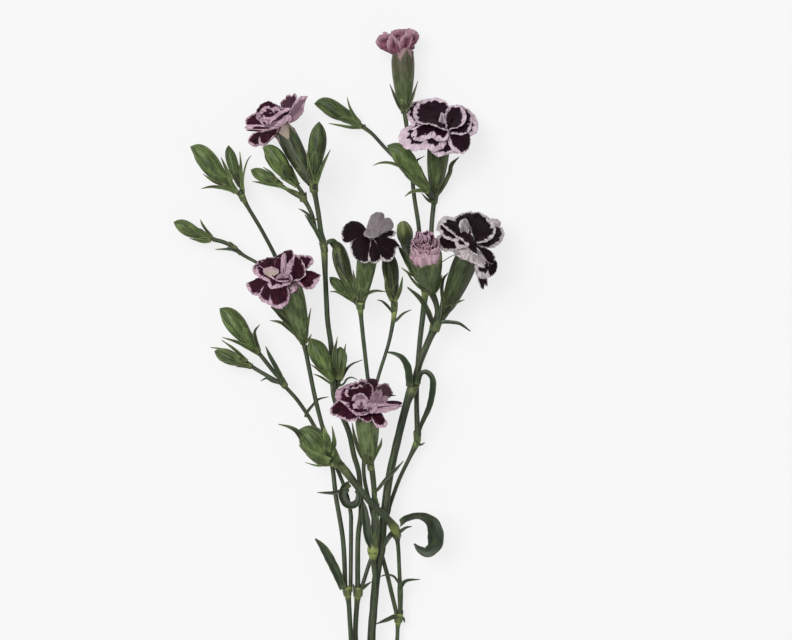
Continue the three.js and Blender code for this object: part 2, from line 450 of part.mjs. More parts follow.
const build = {};
for (const [name, points] of Object.entries(STEMS)) build[name] = (grow) => tube(points, STEM_SIDES, grow);
for (const [name, c] of Object.entries(CALYXES)) build[name] = (grow) => turned(c.base, c.mouth, calyxProfile(c), CALYX_SIDES, grow, c.stalk);
for (const [name, points] of Object.entries(BUDS)) build[name] = (grow) => tube(points, BUD_SIDES, grow);
for (const [name, points] of Object.entries(LEAVES)) build[name] = (grow) => blade(points, grow);
for (const [name, c] of Object.entries(COROLLAS)) build[name] = () => cushion(c);

function shape(name) {
  const g = build[name](0);
  const near = CLEAR_OF[name];
  if (!near) return g;
  let solid = toSolid(g);
  for (const other of near) solid = solid.subtract(toSolid(build[other](GAP)));
  return toGeometry(solid);
}

function finish(name) {
  if (name in STEMS) return GREEN.stem;
  if (name in CALYXES) return GREEN.calyx;
  if (name in BUDS) return GREEN.bud;
  if (name in LEAVES) return GREEN.leaf;
  return [PETAL[name.replace('corolla_', '')] ?? 0x5a2a44, 0.8];
}

const plant = new THREE.Group();
for (const name of Object.keys(build)) {
  const mesh = new THREE.Mesh(shape(name), matte(...finish(name)));
  mesh.name = name;
  plant.add(mesh);
}
plant.position.set(...CENTRE_SHIFT);

const part = new THREE.Group();
part.add(plant);
export default part;
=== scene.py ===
"""Cut dianthus plant, lying: the visible model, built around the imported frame.

Lengths are millimetres until a mesh is made. at(u, v, z) places a point that is seen at u, v on the view sheet
(0.55 mm a unit on the table, from a viewpoint 1.452 m above it) and lies z mm above the table.
"""

import json
import math

import bpy
import numpy as np
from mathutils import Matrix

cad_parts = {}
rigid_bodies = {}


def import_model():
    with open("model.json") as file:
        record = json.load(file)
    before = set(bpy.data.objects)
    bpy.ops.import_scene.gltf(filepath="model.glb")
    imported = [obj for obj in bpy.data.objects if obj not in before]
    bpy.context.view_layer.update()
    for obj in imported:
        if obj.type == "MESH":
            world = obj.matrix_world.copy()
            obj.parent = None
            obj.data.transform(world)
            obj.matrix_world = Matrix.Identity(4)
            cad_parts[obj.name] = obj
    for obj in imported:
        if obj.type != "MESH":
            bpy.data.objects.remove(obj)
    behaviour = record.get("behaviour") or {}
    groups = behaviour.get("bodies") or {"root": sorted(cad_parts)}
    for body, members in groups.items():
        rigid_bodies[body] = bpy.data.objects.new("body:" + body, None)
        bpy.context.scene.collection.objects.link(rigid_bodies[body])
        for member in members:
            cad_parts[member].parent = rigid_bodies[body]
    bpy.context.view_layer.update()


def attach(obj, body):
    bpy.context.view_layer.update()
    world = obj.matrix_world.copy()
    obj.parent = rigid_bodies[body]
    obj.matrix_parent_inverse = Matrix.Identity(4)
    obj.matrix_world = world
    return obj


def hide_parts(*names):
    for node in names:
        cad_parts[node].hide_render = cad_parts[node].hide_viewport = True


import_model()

UNIT = 0.55
EYE = 1452.0
SHIFT = np.array((31.735, 59.584, -0.004))
rad = math.radians


def at(u, v, z):
    k = UNIT * (1 - z / EYE)
    return np.array(((u - 396) * k, (320 - v) * k, z)) + SHIFT


def unit(a):
    a = np.asarray(a, float)
    return a / max(1e-9, float(np.linalg.norm(a)))


def smooth(x):
    x = np.clip(x, 0.0, 1.0)
    return x * x * (3 - 2 * x)


def wave_noise(x, y, seed):
    """Smooth repeatable noise in -1..1 for arrays x, y (a few sines with seeded directions)."""
    r = np.random.RandomState(seed)
    out = 0.0
    for i in range(5):
        a, p, f = r.uniform(0, math.tau), r.uniform(0, math.tau), r.uniform(0.6, 1.9)
        out = out + np.sin(f * (x * math.cos(a) + y * math.sin(a)) + p)
    return out / 3.2


def spline(rows, step=2.0):
    """Uniform Catmull-Rom through rows (n x k, the first three columns a point), sampled about every step mm."""
    p = np.asarray(rows, float)
    p = np.vstack([2 * p[0] - p[1], p, 2 * p[-1] - p[-2]])
    out = []
    for i in range(1, len(p) - 2):
        n = max(2, int(round(np.linalg.norm(p[i + 1, :3] - p[i, :3]) / step)))
        for j in range(n):
            t = j / n
            a, b, c, d = p[i - 1], p[i], p[i + 1], p[i + 2]
            q = 0.5 * (2 * b + (c - a) * t + (2 * a - 5 * b + 4 * c - d) * t * t + (3 * b - a - 3 * c + d) * t**3)
            lo, hi = np.minimum(b, c)[3:], np.maximum(b, c)[3:]
            q[3:] = np.clip(q[3:], lo, hi)
            out.append(q)
    out.append(p[-2])
    return np.array(out)


def frames(pts, first=None):
    """Tangents and two cross directions carried along pts without twist. first is a wished X at the start."""
    pts = np.asarray(pts, float)
    t = np.gradient(pts, axis=0)
    t /= np.linalg.norm(t, axis=1)[:, None] + 1e-12
    x = np.zeros_like(t)
    f = np.array((0.0, 0.0, 1.0)) if first is None else np.asarray(first, float)
    g = f - f.dot(t[0]) * t[0]
    if np.linalg.norm(g) < 1e-3:
        g = np.array((1.0, 0.0, 0.0)) - t[0][0] * t[0]
    x[0] = unit(g)
    for i in range(1, len(pts)):
        g = x[i - 1] - x[i - 1].dot(t[i]) * t[i]
        x[i] = unit(g)
    return t, x, np.cross(t, x)


class Skin:
    """What one piece is made of: vertices in mm, faces, a material number a face, and three vectors a vertex.

    grain = (mm across, mm along, seed), mark = (mm to the margin, side or bloom, tone), tint = (claw or joint, or a
    painted highlight; dark, or painted shade; warm).
    """

    def __init__(self):
        self.v, self.f, self.m, self.g, self.k, self.t = [], [], [], [], [], []
        self.n = 0

    def put(self, verts, faces, grain, mark, tint, mat=0):
        verts = np.asarray(verts, float).reshape(-1, 3)
        c = len(verts)
        self.v.append(verts)
        for store, what in ((self.g, grain), (self.k, mark), (self.t, tint)):
            a = np.empty((c, 3))
            for i in range(3):
                a[:, i] = np.broadcast_to(np.asarray(what[i], float).reshape(-1) if np.ndim(what[i]) else what[i], (c,))
            store.append(a)
        faces = np.asarray(faces, int) + self.n
        self.f.append(faces)
        self.m.append(np.full(len(faces), mat))
        self.n += c

    def build(self, name, slot, mats, nodes=()):
        v = np.vstack(self.v) * 0.001
        faces = np.vstack(self.f)
        me = bpy.data.meshes.new(name)
        me.from_pydata(v.tolist(), [], [f[:3] if f[2] == f[3] else f for f in faces.tolist()])
        for label, store in (("grain", self.g), ("mark", self.k), ("tint", self.t)):
            a = me.attributes.new(label, "FLOAT_VECTOR", "POINT")
            a.data.foreach_set("vector", np.vstack(store).astype(np.float32).ravel())
        for m in mats:
            me.materials.append(m)
        me.polygons.foreach_set("material_index", np.concatenate(self.m).astype(np.int32))
        me.polygons.foreach_set("use_smooth", np.ones(len(me.polygons), bool))
        me.validate()
        me.update()
        ob = bpy.data.objects.new(name, me)
        bpy.context.scene.collection.objects.link(ob)
        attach(ob, "root")
        if nodes:
            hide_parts(*nodes)
        return ob


def quads(rows, cols, wrap=False, flip=False, base=0):
    """Faces of a grid of rows x cols vertices."""
    i = np.arange(rows - 1)[:, None]
    j = np.arange(cols if wrap else cols - 1)[None, :]
    a = i * cols + j
    b = i * cols + (j + 1) % cols
    f = np.stack([a, b, b + cols, a + cols], -1).reshape(-1, 4)
    if flip:
        f = f[:, ::-1]
    return f + base


def sheet(skin, grid, thick, grain, mark_up, mark_down, tint, wrap=False, mat=0):
    """A thin closed solid about the centre surface grid (rows x cols x 3). mark_up is for the side of +normal."""
    grid = np.asarray(grid, float)
    R, C = grid.shape[:2]
    dv = np.gradient(grid, axis=0)
    if wrap:
        du = (np.roll(grid, -1, 1) - np.roll(grid, 1, 1)) / 2
    else:
        du = np.gradient(grid, axis=1)
    n = np.cross(du, dv)
    n /= np.linalg.norm(n, axis=2)[:, :, None] + 1e-12
    h = np.broadcast_to(np.asarray(thick, float), (R, C))[:, :, None] / 2
    top, bot = grid + n * h, grid - n * h
    count = R * C
    f = [quads(R, C, wrap), quads(R, C, wrap, True, count)]
    if wrap:
        j = np.arange(C)
        k = (j + 1) % C
        last = (R - 1) * C
        f.append(np.stack([k, j, j + count, k + count], -1))
        f.append(np.stack([j + last, k + last, k + last + count, j + last + count], -1))
    else:
        ring = [(0, j) for j in range(C)] + [(i, C - 1) for i in range(1, R)]
        ring += [(R - 1, j) for j in range(C - 2, -1, -1)] + [(i, 0) for i in range(R - 2, 0, -1)]
        a = np.array([i * C + j for i, j in ring])
        b = np.roll(a, -1)
        f.append(np.stack([b, a, a + count, b + count], -1))

    def both(w1, w2):
        return [np.concatenate([np.broadcast_to(np.asarray(p, float), (R, C)).ravel(), np.broadcast_to(np.asarray(q, float), (R, C)).ravel()]) for p, q in zip(w1, w2)]

    skin.put(np.concatenate([top.reshape(-1, 3), bot.reshape(-1, 3)]), np.vstack(f), both(grain, grain), both(mark_up, mark_down), both(tint, tint), mat)


def solid(skin, grid, grain, mark, tint, mat=0):
    """A closed body from rings (rows x cols x 3), each ring the same way round, with a point at each end."""
    grid = np.asarray(grid, float)
    R, C = grid.shape[:2]
    v = np.vstack([grid.reshape(-1, 3), grid[0].mean(0)[None], grid[-1].mean(0)[None]])
    f = [quads(R, C, True)]
    j = np.arange(C)
    k = (j + 1) % C
    lo, hi = R * C, R * C + 1
    f.append(np.stack([k, j, np.full(C, lo), np.full(C, lo)], -1))
    last = (R - 1) * C
    f.append(np.stack([j + last, k + last, np.full(C, hi), np.full(C, hi)], -1))

    def ext(w):
        out = []
        for q in w:
            q = np.broadcast_to(np.asarray(q, float), (R, C)).ravel()
            out.append(np.concatenate([q, [q[0], q[-1]]]))
        return out

    skin.put(v, np.vstack(f), ext(grain), ext(mark), ext(tint), mat)


# ---------------------------------------------------------------- the plant's own table: (u, v, z mm, radius mm)

STEMS = {
    "base_stem": [(373.5, 826, 3.42, 3.7), (373, 812, 3.7, 3.7), (372.4, 802, 4.3, 4.3), (372, 795, 4.7, 5), (372, 790, 4.9, 4.3)],
    "stem_a_lower": [(365.6, 789, 6.9, 1.5), (361, 745, 8.2, 1.35), (355, 695, 10, 1.3), (352, 650, 11.2, 1.3), (350.6, 632, 11.9, 1.3), (348.9, 604, 13.3, 1.35), (347.6, 594, 13.9, 2), (347.4, 589, 14.1, 2.3)],
    "stem_b_lower": [(368.8, 789, 3.1, 1.5), (366, 745, 3.9, 1.4), (361, 695, 4.9, 1.4), (356, 645, 6.2, 1.4), (355.6, 625, 6.9, 1.4), (357, 603, 7.9, 1.5), (357.8, 595, 8.4, 2.2), (358, 590, 8.6, 2.5)],
    "stem_c": [(374.4, 789, 6.7, 2.2), (373.5, 740, 7.4, 2.3), (372.3, 690, 8.4, 2.3), (371.5, 640, 9.6, 2.3), (373.5, 610, 10.4, 2.25), (375.5, 585, 11.2, 2.25), (378, 566, 12, 2.25), (381.7, 548, 12.9, 2.25), (382.8, 528, 13.6, 2.25), (385.6, 505, 14.2, 2.25), (390, 474, 14.6, 2.2), (400, 430, 14.8, 2.15), (407, 403, 15, 2.2), (412, 390, 15, 2.9), (415, 381, 15, 1.95), (420, 362, 15, 1.9), (430, 338, 15.5, 1.9), (434, 329.5, 15.8, 2.6), (435.6, 325.6, 16, 2.9)],
    "stem_d_lower": [(380.3, 789, 3.7, 1.3), (386, 745, 4, 1.15), (392, 695, 4.4, 1.1), (396.8, 645, 4.9, 1.1), (397.6, 628, 5.2, 1.15), (398.3, 620.5, 5.5, 2.1), (398.5, 616.5, 5.6, 2.3)],
    "stem_a": [(345.3, 586.3, 14.8, 1.3), (343, 540, 16, 1.3), (336, 497, 17, 1.25), (333, 471, 17.5, 1.25), (329, 450, 18, 1.2), (323, 429, 18.6, 1.2), (314.8, 396.5, 19.6, 1.2), (306.9, 357, 20.6, 1.2), (304.8, 346.5, 21, 1.5)],
    "stem_a_left": [(350.6, 586, 13, 1.15), (351, 530, 12, 1.15), (350.5, 512, 11.5, 1.15), (345, 489, 11, 1.1), (333, 460, 10.5, 1.1), (314.6, 426.7, 11, 1.1), (307, 414, 11.5, 1.1), (296.8, 399.5, 12.5, 1.1), (286.8, 388.3, 13.3, 1.1), (284.3, 385, 13.5, 1.8)],
    "stem_a_side": [(307.4, 361, 17, 0.9), (301, 334, 15, 1.1), (290, 298, 13.2, 1.1), (281, 272, 13, 1.1), (274.6, 254.8, 13.4, 1.1), (261, 229, 14.6, 1.05), (248.4, 208, 15.8, 1.1), (243.6, 199.5, 16.3, 1.6), (242.2, 197, 16.4, 1.7)],
    "stem_far_left": [(276.2, 275, 12.6, 0.9), (264, 267, 12, 0.9), (254, 261, 11.6, 0.9), (244, 255.5, 11.2, 0.95), (237.5, 250.5, 11, 1.3), (231, 245.5, 11, 1.6), (222, 241.6, 11, 1.5), (216.4, 240.2, 11, 1.3)],
    "stem_b": [(357.7, 587.6, 8.7, 1.45), (358, 540, 10, 1.4), (361, 510, 11.2, 1.4), (359, 474, 12.6, 1.4), (353.8, 455, 13.2, 1.5), (350.0, 436, 13.8, 1.5), (344.8, 421.6, 14.2, 1.5), (335, 400, 14.8, 1.5), (333.5, 385, 15.2, 1.9), (332.8, 372, 15.6, 1.6), (331, 345, 16.6, 1.45), (327.6, 320, 17.6, 1.4), (325.5, 280, 19.4, 1.4), (324, 248, 21.2, 1.9), (321, 232, 22, 1.4), (318.3, 213, 23, 1.4), (315.5, 197, 23.6, 1.45), (314.3, 191, 23.8, 2), (313.8, 188, 23.9, 2.3)],
    "stem_b_side": [(316.4, 232, 19.6, 0.9), (312.4, 216, 19.2, 1.15), (308, 206, 19, 1.15), (304, 199.5, 19, 1.5), (302.6, 196.8, 19, 1.8)],
    "stem_b_right": [(362.6, 584.5, 7.2, 1.1), (371, 559, 6.2, 1.1), (378, 548, 6.2, 1.1), (388, 514, 6.6, 1.1), (390.3, 504, 6.7, 1.1), (399, 480, 7, 1.1), (410.4, 456, 7.2, 1.2), (416.4, 443, 7.3, 1.9), (417.4, 436, 7.3, 1.6), (416.6, 400, 7, 1.35), (417.5, 370, 6.8, 1.35), (420, 340, 6.8, 1.4), (422.6, 318, 7, 1.5), (424.6, 300, 7.2, 1.7), (425.5, 290, 7.2, 2.3), (425.6, 286, 7.2, 2.4)],
    "stem_t1": [(421.8, 283, 7.4, 1.2), (420.9, 255, 8, 1.2), (418.6, 226, 8.4, 1.2), (414, 195, 9, 1.15), (410, 155, 9.8, 1.1), (407, 130, 10.6, 1.1), (405.2, 115.5, 11, 1.4)],
    "stem_b2": [(428.9, 283, 6, 1.3), (430.5, 255, 4.6, 1.3), (431.6, 226, 3.4, 1.3), (433.6, 205, 2.3, 1.35), (434, 201, 2, 1.9), (434.2, 198.8, 2.04, 2.2)],
    "stem_r1": [(429.2, 196.5, 5.2, 0.9), (412, 175, 5, 1), (387, 150, 4.3, 1), (373, 134.7, 3.9, 1), (363.8, 127.5, 3.8, 1.2)],
    "stem_c_side": [(375.9, 592, 14.8, 0.8), (374.8, 575, 15.8, 1.3), (373.3, 560, 16.8, 1.7), (373, 551, 17.4, 3.1), (373.2, 543, 17.6, 2.5), (373.8, 530, 17.4, 1.7), (374.2, 515, 17.2, 1.5), (374.2, 492, 17.6, 1.5), (372, 470, 19.6, 1.6), (370.4, 466.2, 20, 1.8)],
    "stem_d_left": [(396.3, 612.5, 5.3, 1.2), (391.8, 593.6, 5.9, 1.2), (387.2, 574.4, 6.9, 1.2), (381.2, 552, 8.6, 1.15), (376, 528, 9.4, 1.15), (369, 500, 10.2, 1.15), (364.2, 477, 10.8, 1.1), (364.2, 455, 11.2, 1.1), (367, 425, 11.8, 1.2), (370.5, 405, 12.4, 1.8), (371.2, 401, 12.6, 1.9)],
    "stem_b4": [(370, 397.5, 13, 1), (367.4, 375, 14.4, 1.1), (363.4, 340, 16.8, 1.15), (360.8, 315, 18.8, 1.3), (360.4, 307.5, 19.4, 2.1), (360.3, 304.6, 19.6, 2.3)],
    "stem_b4_right": [(374.2, 397.2, 12.8, 0.9), (378, 378, 13, 0.95), (388.2, 345, 13.4, 1), (393, 322, 14, 1.2), (394.2, 312, 14.3, 1.6), (394.3, 305.5, 14.6, 1.7)],
    "stem_d_right": [(400.3, 612.5, 6.2, 1.25), (400.2, 592, 7.2, 1.6), (399.6, 576, 8.2, 1.1), (398.6, 554, 10, 1.1), (397.6, 541, 12, 1.3), (396.8, 536, 13.4, 2.3), (394.6, 528.5, 17.4, 2.5), (389, 520.5, 20.4, 2.1), (381, 512.5, 22.2, 1.9), (373, 505, 23.2, 1.8), (361.5, 491.5, 23.6, 1.8), (348, 474, 23.6, 2.2), (342.2, 467.6, 23.6, 2.3)],
}
# flower tubes: foot, mouth, radius, foot radius, mouth radius
TUBES = {
    "top": ((404.5, 113, 11.2), (402.2, 57, 13), 5.9, 1.5, 5.3),
    "upper_right": ((434.9, 195.8, 2.2), (439, 142, 14.4), 5.8, 2.0, 5.2),
    "upper_left": ((311.2, 183.4, 24), (287.2, 137.5, 18.6), 5.4, 2.0, 4.9),
    "centre": ((361.2, 300.5, 20.2), (368.6, 249.5, 31.5), 5.2, 2.0, 4.7),
    "right": ((445, 313.5, 16.5), (465.5, 261.5, 29), 6.3, 2.0, 5.6),
    "opening": ((431.6, 292.5, 19.5), (426.6, 263.5, 38), 8.2, 2.0, 8.0),
    "left": ((303.9, 342.6, 21.6), (286.4, 298.2, 33.5), 6.5, 1.9, 5.8),
    "front": ((369.6, 463.2, 20.8), (366.8, 413.5, 32.5), 6.1, 2.0, 5.4),
}
# flowers: centre, direction in the sheet, lean towards the viewer in degrees
FACES = {
    "top": ((398.4, 43.5, 13.2), (-0.09, 1.0), 0),
    "upper_right": ((439.8, 127.5, 23.5), (0.02, 1.0), 48),
    "upper_left": ((276, 119.6, 17.2), (-0.41, 0.91), -8),
    "centre": ((369, 238, 36), (0.1, 1.0), 50),
    "right": ((471, 242, 35), (0.34, 0.94), 48),
    "opening": ((425.3, 247.5, 45), (-0.05, 1.0), 50),
    "left": ((283, 279.5, 38), (-0.28, 0.96), 48),
    "front": ((366.8, 403.2, 38), (-0.04, 1.0), 42),
}
# buds: stalk rows, foot, tip, radius, foot radius
BUDS = {
    "bud_r1": ([(362.6, 126.6, 3.8, 1.25)], (360.6, 126.6, 3.6), (314.2, 103.6, 4.5), 4.3, 1.5),
    "bud_r2": ([(432.6, 196.6, 6.4, 1.15), (431.6, 194.6, 9.6, 1.3)], (428.6, 190.5, 12.8), (387.2, 145.3, 21.5), 5.4, 1.7),
    "bud_a": ([(239.2, 194, 17, 1.2)], (235.6, 191.4, 17.2), (190.3, 146.6, 19.5), 5.2, 1.5),
    "bud_b": ([(242.2, 192.4, 13, 1)], (240.8, 187, 12.4), (228.7, 145.2, 10.5), 3.0, 1.2),
    "bud_side_a": ([(302.4, 192.6, 20.2, 1.1)], (297.4, 185.4, 21), (262.6, 147.2, 25.5), 5.1, 1.4),
    "bud_side_b": ([(298.6, 196.6, 17, 1), (290, 191.4, 16.6, 1)], (281.6, 185.4, 16), (250.8, 169.6, 13.5), 3.3, 1.1),
    "bud_side_c": ([(314.8, 184.9, 28, 1.2)], (315.4, 182, 28.8), (319.2, 121.6, 33), 4.8, 1.6),
    "bud_far_left": ([(214.6, 239.6, 11, 1.2)], (211.6, 238.4, 11), (173.6, 222, 12), 4.1, 1.3),
    "bud_l1": ([(281.2, 379.6, 15, 1.2), (275.4, 373.6, 15.2, 1.15), (266, 361.8, 15.8, 1.15)], (258.4, 352.4, 16.2), (219.6, 308.4, 18.5), 5.4, 1.3),
    "bud_l2": ([(279.2, 382.2, 11.6, 1.1), (270.2, 377.4, 11.2, 1.1), (261, 372.2, 10.6, 1.1)], (251.6, 366.4, 10), (211.4, 350.6, 8.6), 4.2, 1.2),
    "bud_l4": ([(341, 466.4, 23.9, 2.1)], (338.4, 464.4, 24.2), (298.6, 430, 31), 7.4, 2.4),
    "bud_m1": ([(334, 386, 18.9, 1.2), (334, 383.5, 20.6, 1.4)], (333, 380, 21.6), (311.2, 338.2, 25.5), 5.2, 1.7),
    "bud_m2": ([(338.4, 384, 18.2, 1.1)], (339, 379.5, 19.2), (341.6, 339.6, 20.6), 3.85, 1.5),
    "bud_b4_left": ([(357, 300.6, 17, 1.3)], (355.8, 297, 16.8), (334.4, 240.2, 14.5), 4.4, 1.6),
    "bud_b4_small": ([(356.4, 303.6, 13.4, 1)], (352.6, 299.2, 13.2), (329.6, 277.0, 12), 2.8, 1.2),
    "bud_b4_right": ([(393.9, 303.8, 15, 1.6)], (393.6, 300.4, 15.2), (388.4, 250, 19), 4.2, 1.9),
    "bud_end_on": ([(423, 281, 10.4, 1.1), (417, 270, 10.6, 1.1), (411.4, 259, 11.6, 1.2)], (408.6, 252.5, 14.4), (402.4, 221.5, 34), 5.3, 1.7),
}
# leaves: (u, v, z, width mm, turn in degrees)
LEAVES = {
    "leaf_curl": [(400.6, 524, 17.6, 5.5, 50), (408, 519.5, 20, 6.6, 60), (418, 517.8, 21.8, 7.6, 66), (426.4, 520.4, 22.6, 8.6, 52), (432.6, 527, 22, 9.4, 26), (435.4, 537.4, 20.5, 9.4, 6), (434.4, 546, 18.8, 7.6, 0), (427, 552, 17.4, 6, 0), (419.5, 549, 16.8, 3.8, 8), (414.2, 543.6, 16.6, 1, 15)],
    "leaf_a": [(343.0, 588.6, 17, 4.2, 0), (337.6, 574.4, 19.2, 5.6, 0), (329.0, 557.0, 20.2, 5.8, 0), (322.4, 546.4, 20.2, 4.2, 0), (315.2, 538.6, 20, 0.9, 0)],
    "leaf_c_left": [(410, 386, 18.2, 4.6, 20), (410, 380, 20, 5.0, 20), (408.2, 367.2, 22.5, 5.0, 15), (402.8, 357.8, 24, 3.8, 15), (395, 353.4, 24, 2.4, 20), (385.8, 351.8, 23.4, 0.9, 20)],
    "leaf_c_right": [(417.4, 385.2, 18.8, 3.8, 20), (421, 375.6, 21.5, 4, 35), (425.6, 372.8, 23, 4, 40), (431.4, 377.6, 23, 4, 20), (432.8, 388, 21, 4.2, 0), (429.4, 406, 17.5, 3.8, 0), (421.6, 424, 14.5, 2.6, 0), (418.8, 436, 13, 0.9, 0)],
    "leaf_f_right": [(437.6, 323.6, 17.6, 2.6, 20), (443.6, 322.4, 18.2, 3, 30), (452, 322.8, 19, 2.8, 30), (460, 324.4, 19.5, 2.4, 30), (470.4, 331.4, 19, 0.9, 30)],
    "leaf_f_left": [(435.4, 327.0, 17.6, 2.8, 0), (431.6, 320.4, 19.6, 3.4, 0), (427.3, 310, 22, 3.6, 0), (419.6, 298, 23.5, 3.2, 0), (407.4, 287.2, 23.5, 0.9, 0)],
    "leaf_ring": [(349.4, 483.4, 17.6, 4.2, 15), (343.8, 487.6, 18.8, 5.2, 20), (341.8, 496, 19.8, 5.4, 25), (345.2, 503.4, 20.2, 5.2, 25), (352, 506, 20.2, 5.0, 25), (358, 502, 20, 4.6, 25), (358.8, 494.8, 19.6, 3.4, 25), (355.2, 490.6, 19.4, 1.2, 25)],
}


# ---------------------------------------------------------------- materials


class Nodes:
    """Short names for building a node tree."""

    def __init__(self, name):
        self.mat = bpy.data.materials.new(name)
        self.mat.use_nodes = True
        self.t = self.mat.node_tree
        self.t.nodes.clear()
        self.out = self.t.nodes.new("ShaderNodeOutputMaterial")
        self.bsdf = self.t.nodes.new("ShaderNodeBsdfPrincipled")
        self.t.links.new(self.bsdf.outputs["BSDF"], self.out.inputs["Surface"])
        self.attrs = {}

    def link(self, a, b):
        self.t.links.new(a, b)

    def attr(self, label, axis=None):
        if label not in self.attrs:
            n = self.t.nodes.new("ShaderNodeAttribute")
            n.attribute_name = label
            s = self.t.nodes.new("ShaderNodeSeparateXYZ")
            self.link(n.outputs["Vector"], s.inputs[0])
            self.attrs[label] = (n.outputs["Vector"], s)
        vec, s = self.attrs[label]
        return vec if axis is None else s.outputs[axis]

    def math(self, op, a, b=None, c=None, clamp=False):
        n = self.t.nodes.new("ShaderNodeMath")
        n.operation = op
        n.use_clamp = clamp
        for i, x in enumerate((a, b, c)):
            if x is None:
                continue
            if isinstance(x, (int, float)):
                n.inputs[i].default_value = x
            else:
                self.link(x, n.inputs[i])
        return n.outputs[0]

    def noise(self, vec, scale, detail=2.0, rough=0.5, distort=0.0):
        n = self.t.nodes.new("ShaderNodeTexNoise")
        n.inputs["Scale"].default_value = scale
        n.inputs["Detail"].default_value = detail
        n.inputs["Roughness"].default_value = rough
        n.inputs["Distortion"].default_value = distort
        self.link(vec, n.inputs["Vector"])
        return n.outputs["Fac"]

    def stretch(self, vec, x, y, z):
        n = self.t.nodes.new("ShaderNodeVectorMath")
        n.operation = "MULTIPLY"
        self.link(vec, n.inputs[0])
        n.inputs[1].default_value = (x, y, z)
        return n.outputs[0]

    def ramp(self, x, lo, hi, a=0.0, b=1.0):
        n = self.t.nodes.new("ShaderNodeMapRange")
        n.interpolation_type = "SMOOTHSTEP"
        n.clamp = True
        self.link(x, n.inputs["Value"])
        for label, val in (("From Min", lo), ("From Max", hi), ("To Min", a), ("To Max", b)):
            n.inputs[label].default_value = val
        return n.outputs["Result"]

    def mix(self, fac, a, b, kind="MIX"):
        n = self.t.nodes.new("ShaderNodeMix")
        n.data_type = "RGBA"
        n.blend_type = kind
        n.clamp_factor = True
        for sock, x in ((n.inputs[0], fac), (n.inputs[6], a), (n.inputs[7], b)):
            if isinstance(x, (int, float)):
                sock.default_value = x
            elif isinstance(x, tuple):
                sock.default_value = x if len(x) == 4 else (*x, 1)
            else:
                self.link(x, sock)
        return n.outputs[2]

    def bump(self, height, strength, distance, normal=None):
        n = self.t.nodes.new("ShaderNodeBump")
        n.inputs["Strength"].default_value = strength
        n.inputs["Distance"].default_value = distance
        self.link(height, n.inputs["Height"])
        if normal is not None:
            self.link(normal, n.inputs["Normal"])
        return n.outputs["Normal"]

    def finish(self, colour, rough=None, normal=None, **fixed):
        self.link(colour, self.bsdf.inputs["Base Color"])
        if rough is not None:
            self.link(rough, self.bsdf.inputs["Roughness"])
        if normal is not None:
            self.link(normal, self.bsdf.inputs["Normal"])
        for label, val in fixed.items():
            self.bsdf.inputs[label.replace("_", " ")].default_value = val
        return self.mat


def srgb(text, k=1.0):
    """#rrggbb to linear."""
    out = []
    for i in (0, 2, 4):
        c = int(text[i : i + 2], 16) / 255
        out.append(k * (c / 12.92 if c <= 0.04045 else ((c + 0.055) / 1.055) ** 2.4))
    return tuple(out)


def petal_material(name, dark, glow, rim, rim2, under, under_dark, claw, soft_edge=0.0):
    """Velvet petal: a dark field, a pale picotee margin with feathered radial streaks, and a dull paler underside."""
    n = Nodes(name)
    grain, mark, tint = n.attr("grain"), n.attr("mark"), n.attr("tint")
    fine = n.noise(n.stretch(grain, 3.0, 0.22, 7.3), 1.0, 3.0, 0.6)
    broad = n.noise(n.stretch(grain, 0.42, 0.16, 3.1), 1.0, 2.0, 0.55)
    soft = n.noise(n.stretch(grain, 1.3, 0.20, 4.7), 1.0, 2.0, 0.5)
    blot = n.noise(n.stretch(grain, 0.45, 0.22, 5.7), 1.0, 3.0, 0.55)
    # feathered edge between the margin and the dark field
    d = n.math("ADD", n.attr("mark", 0), n.math("MULTIPLY", n.math("SUBTRACT", fine, 0.5), 1.0))
    d = n.math("ADD", d, n.math("MULTIPLY", n.math("SUBTRACT", soft, 0.5), 1.5))
    d = n.math("ADD", d, n.math("MULTIPLY", n.math("SUBTRACT", broad, 0.5), 2.0))
    field = n.ramp(d, -0.40 - soft_edge, 0.50 + 1.4 * soft_edge)
    velvet = n.mix(n.ramp(blot, 0.35, 0.75), (*dark, 1), (*glow, 1))
    margin = n.mix(n.ramp(fine, 0.38, 0.72), (*rim, 1), (*rim2, 1))
    margin = n.mix(n.math("MULTIPLY", n.ramp(broad, 0.42, 0.66), 0.75), margin, (*rim2, 1))
    margin = n.mix(n.math("MULTIPLY", n.ramp(soft, 0.56, 0.74), 0.40), margin, (*under_dark, 1))
    upper = n.mix(field, margin, velvet)
    # underside: the dark field shows through dully
    ribs = n.math("ADD", n.math("MULTIPLY", n.ramp(fine, 0.3, 0.75), 0.30), n.math("MULTIPLY", n.ramp(soft, 0.40, 0.64), 0.50))
    low = n.mix(n.math("MULTIPLY", field, n.math("ADD", ribs, 0.15)), (*under, 1), (*under_dark, 1))
    both = n.mix(n.attr("mark", 1), low, upper)
    # tone: lighter or darker petals
    both = n.mix(n.attr("tint", 1), both, n.mix(0.5, both, margin))
    shade = n.mix(n.math("MULTIPLY", n.attr("mark", 2), 0.35), both, (*under, 1))
    # cream claw near the throat
    base = n.mix(n.math("MULTIPLY", n.attr("tint", 0), 0.92), shade, (*claw, 1))
    rough = n.ramp(fine, 0.2, 0.8, 0.52, 0.74)
    height = n.math("ADD", n.math("MULTIPLY", fine, 1.0), n.math("MULTIPLY", blot, 0.6))
    normal = n.bump(height, 0.55, 0.00022)
    m = n.finish(base, rough, normal)
    b = n.bsdf
    b.inputs["Sheen Weight"].default_value = 0.02
    b.inputs["Sheen Roughness"].default_value = 0.4
    b.inputs["Specular IOR Level"].default_value = 0.10
    return m


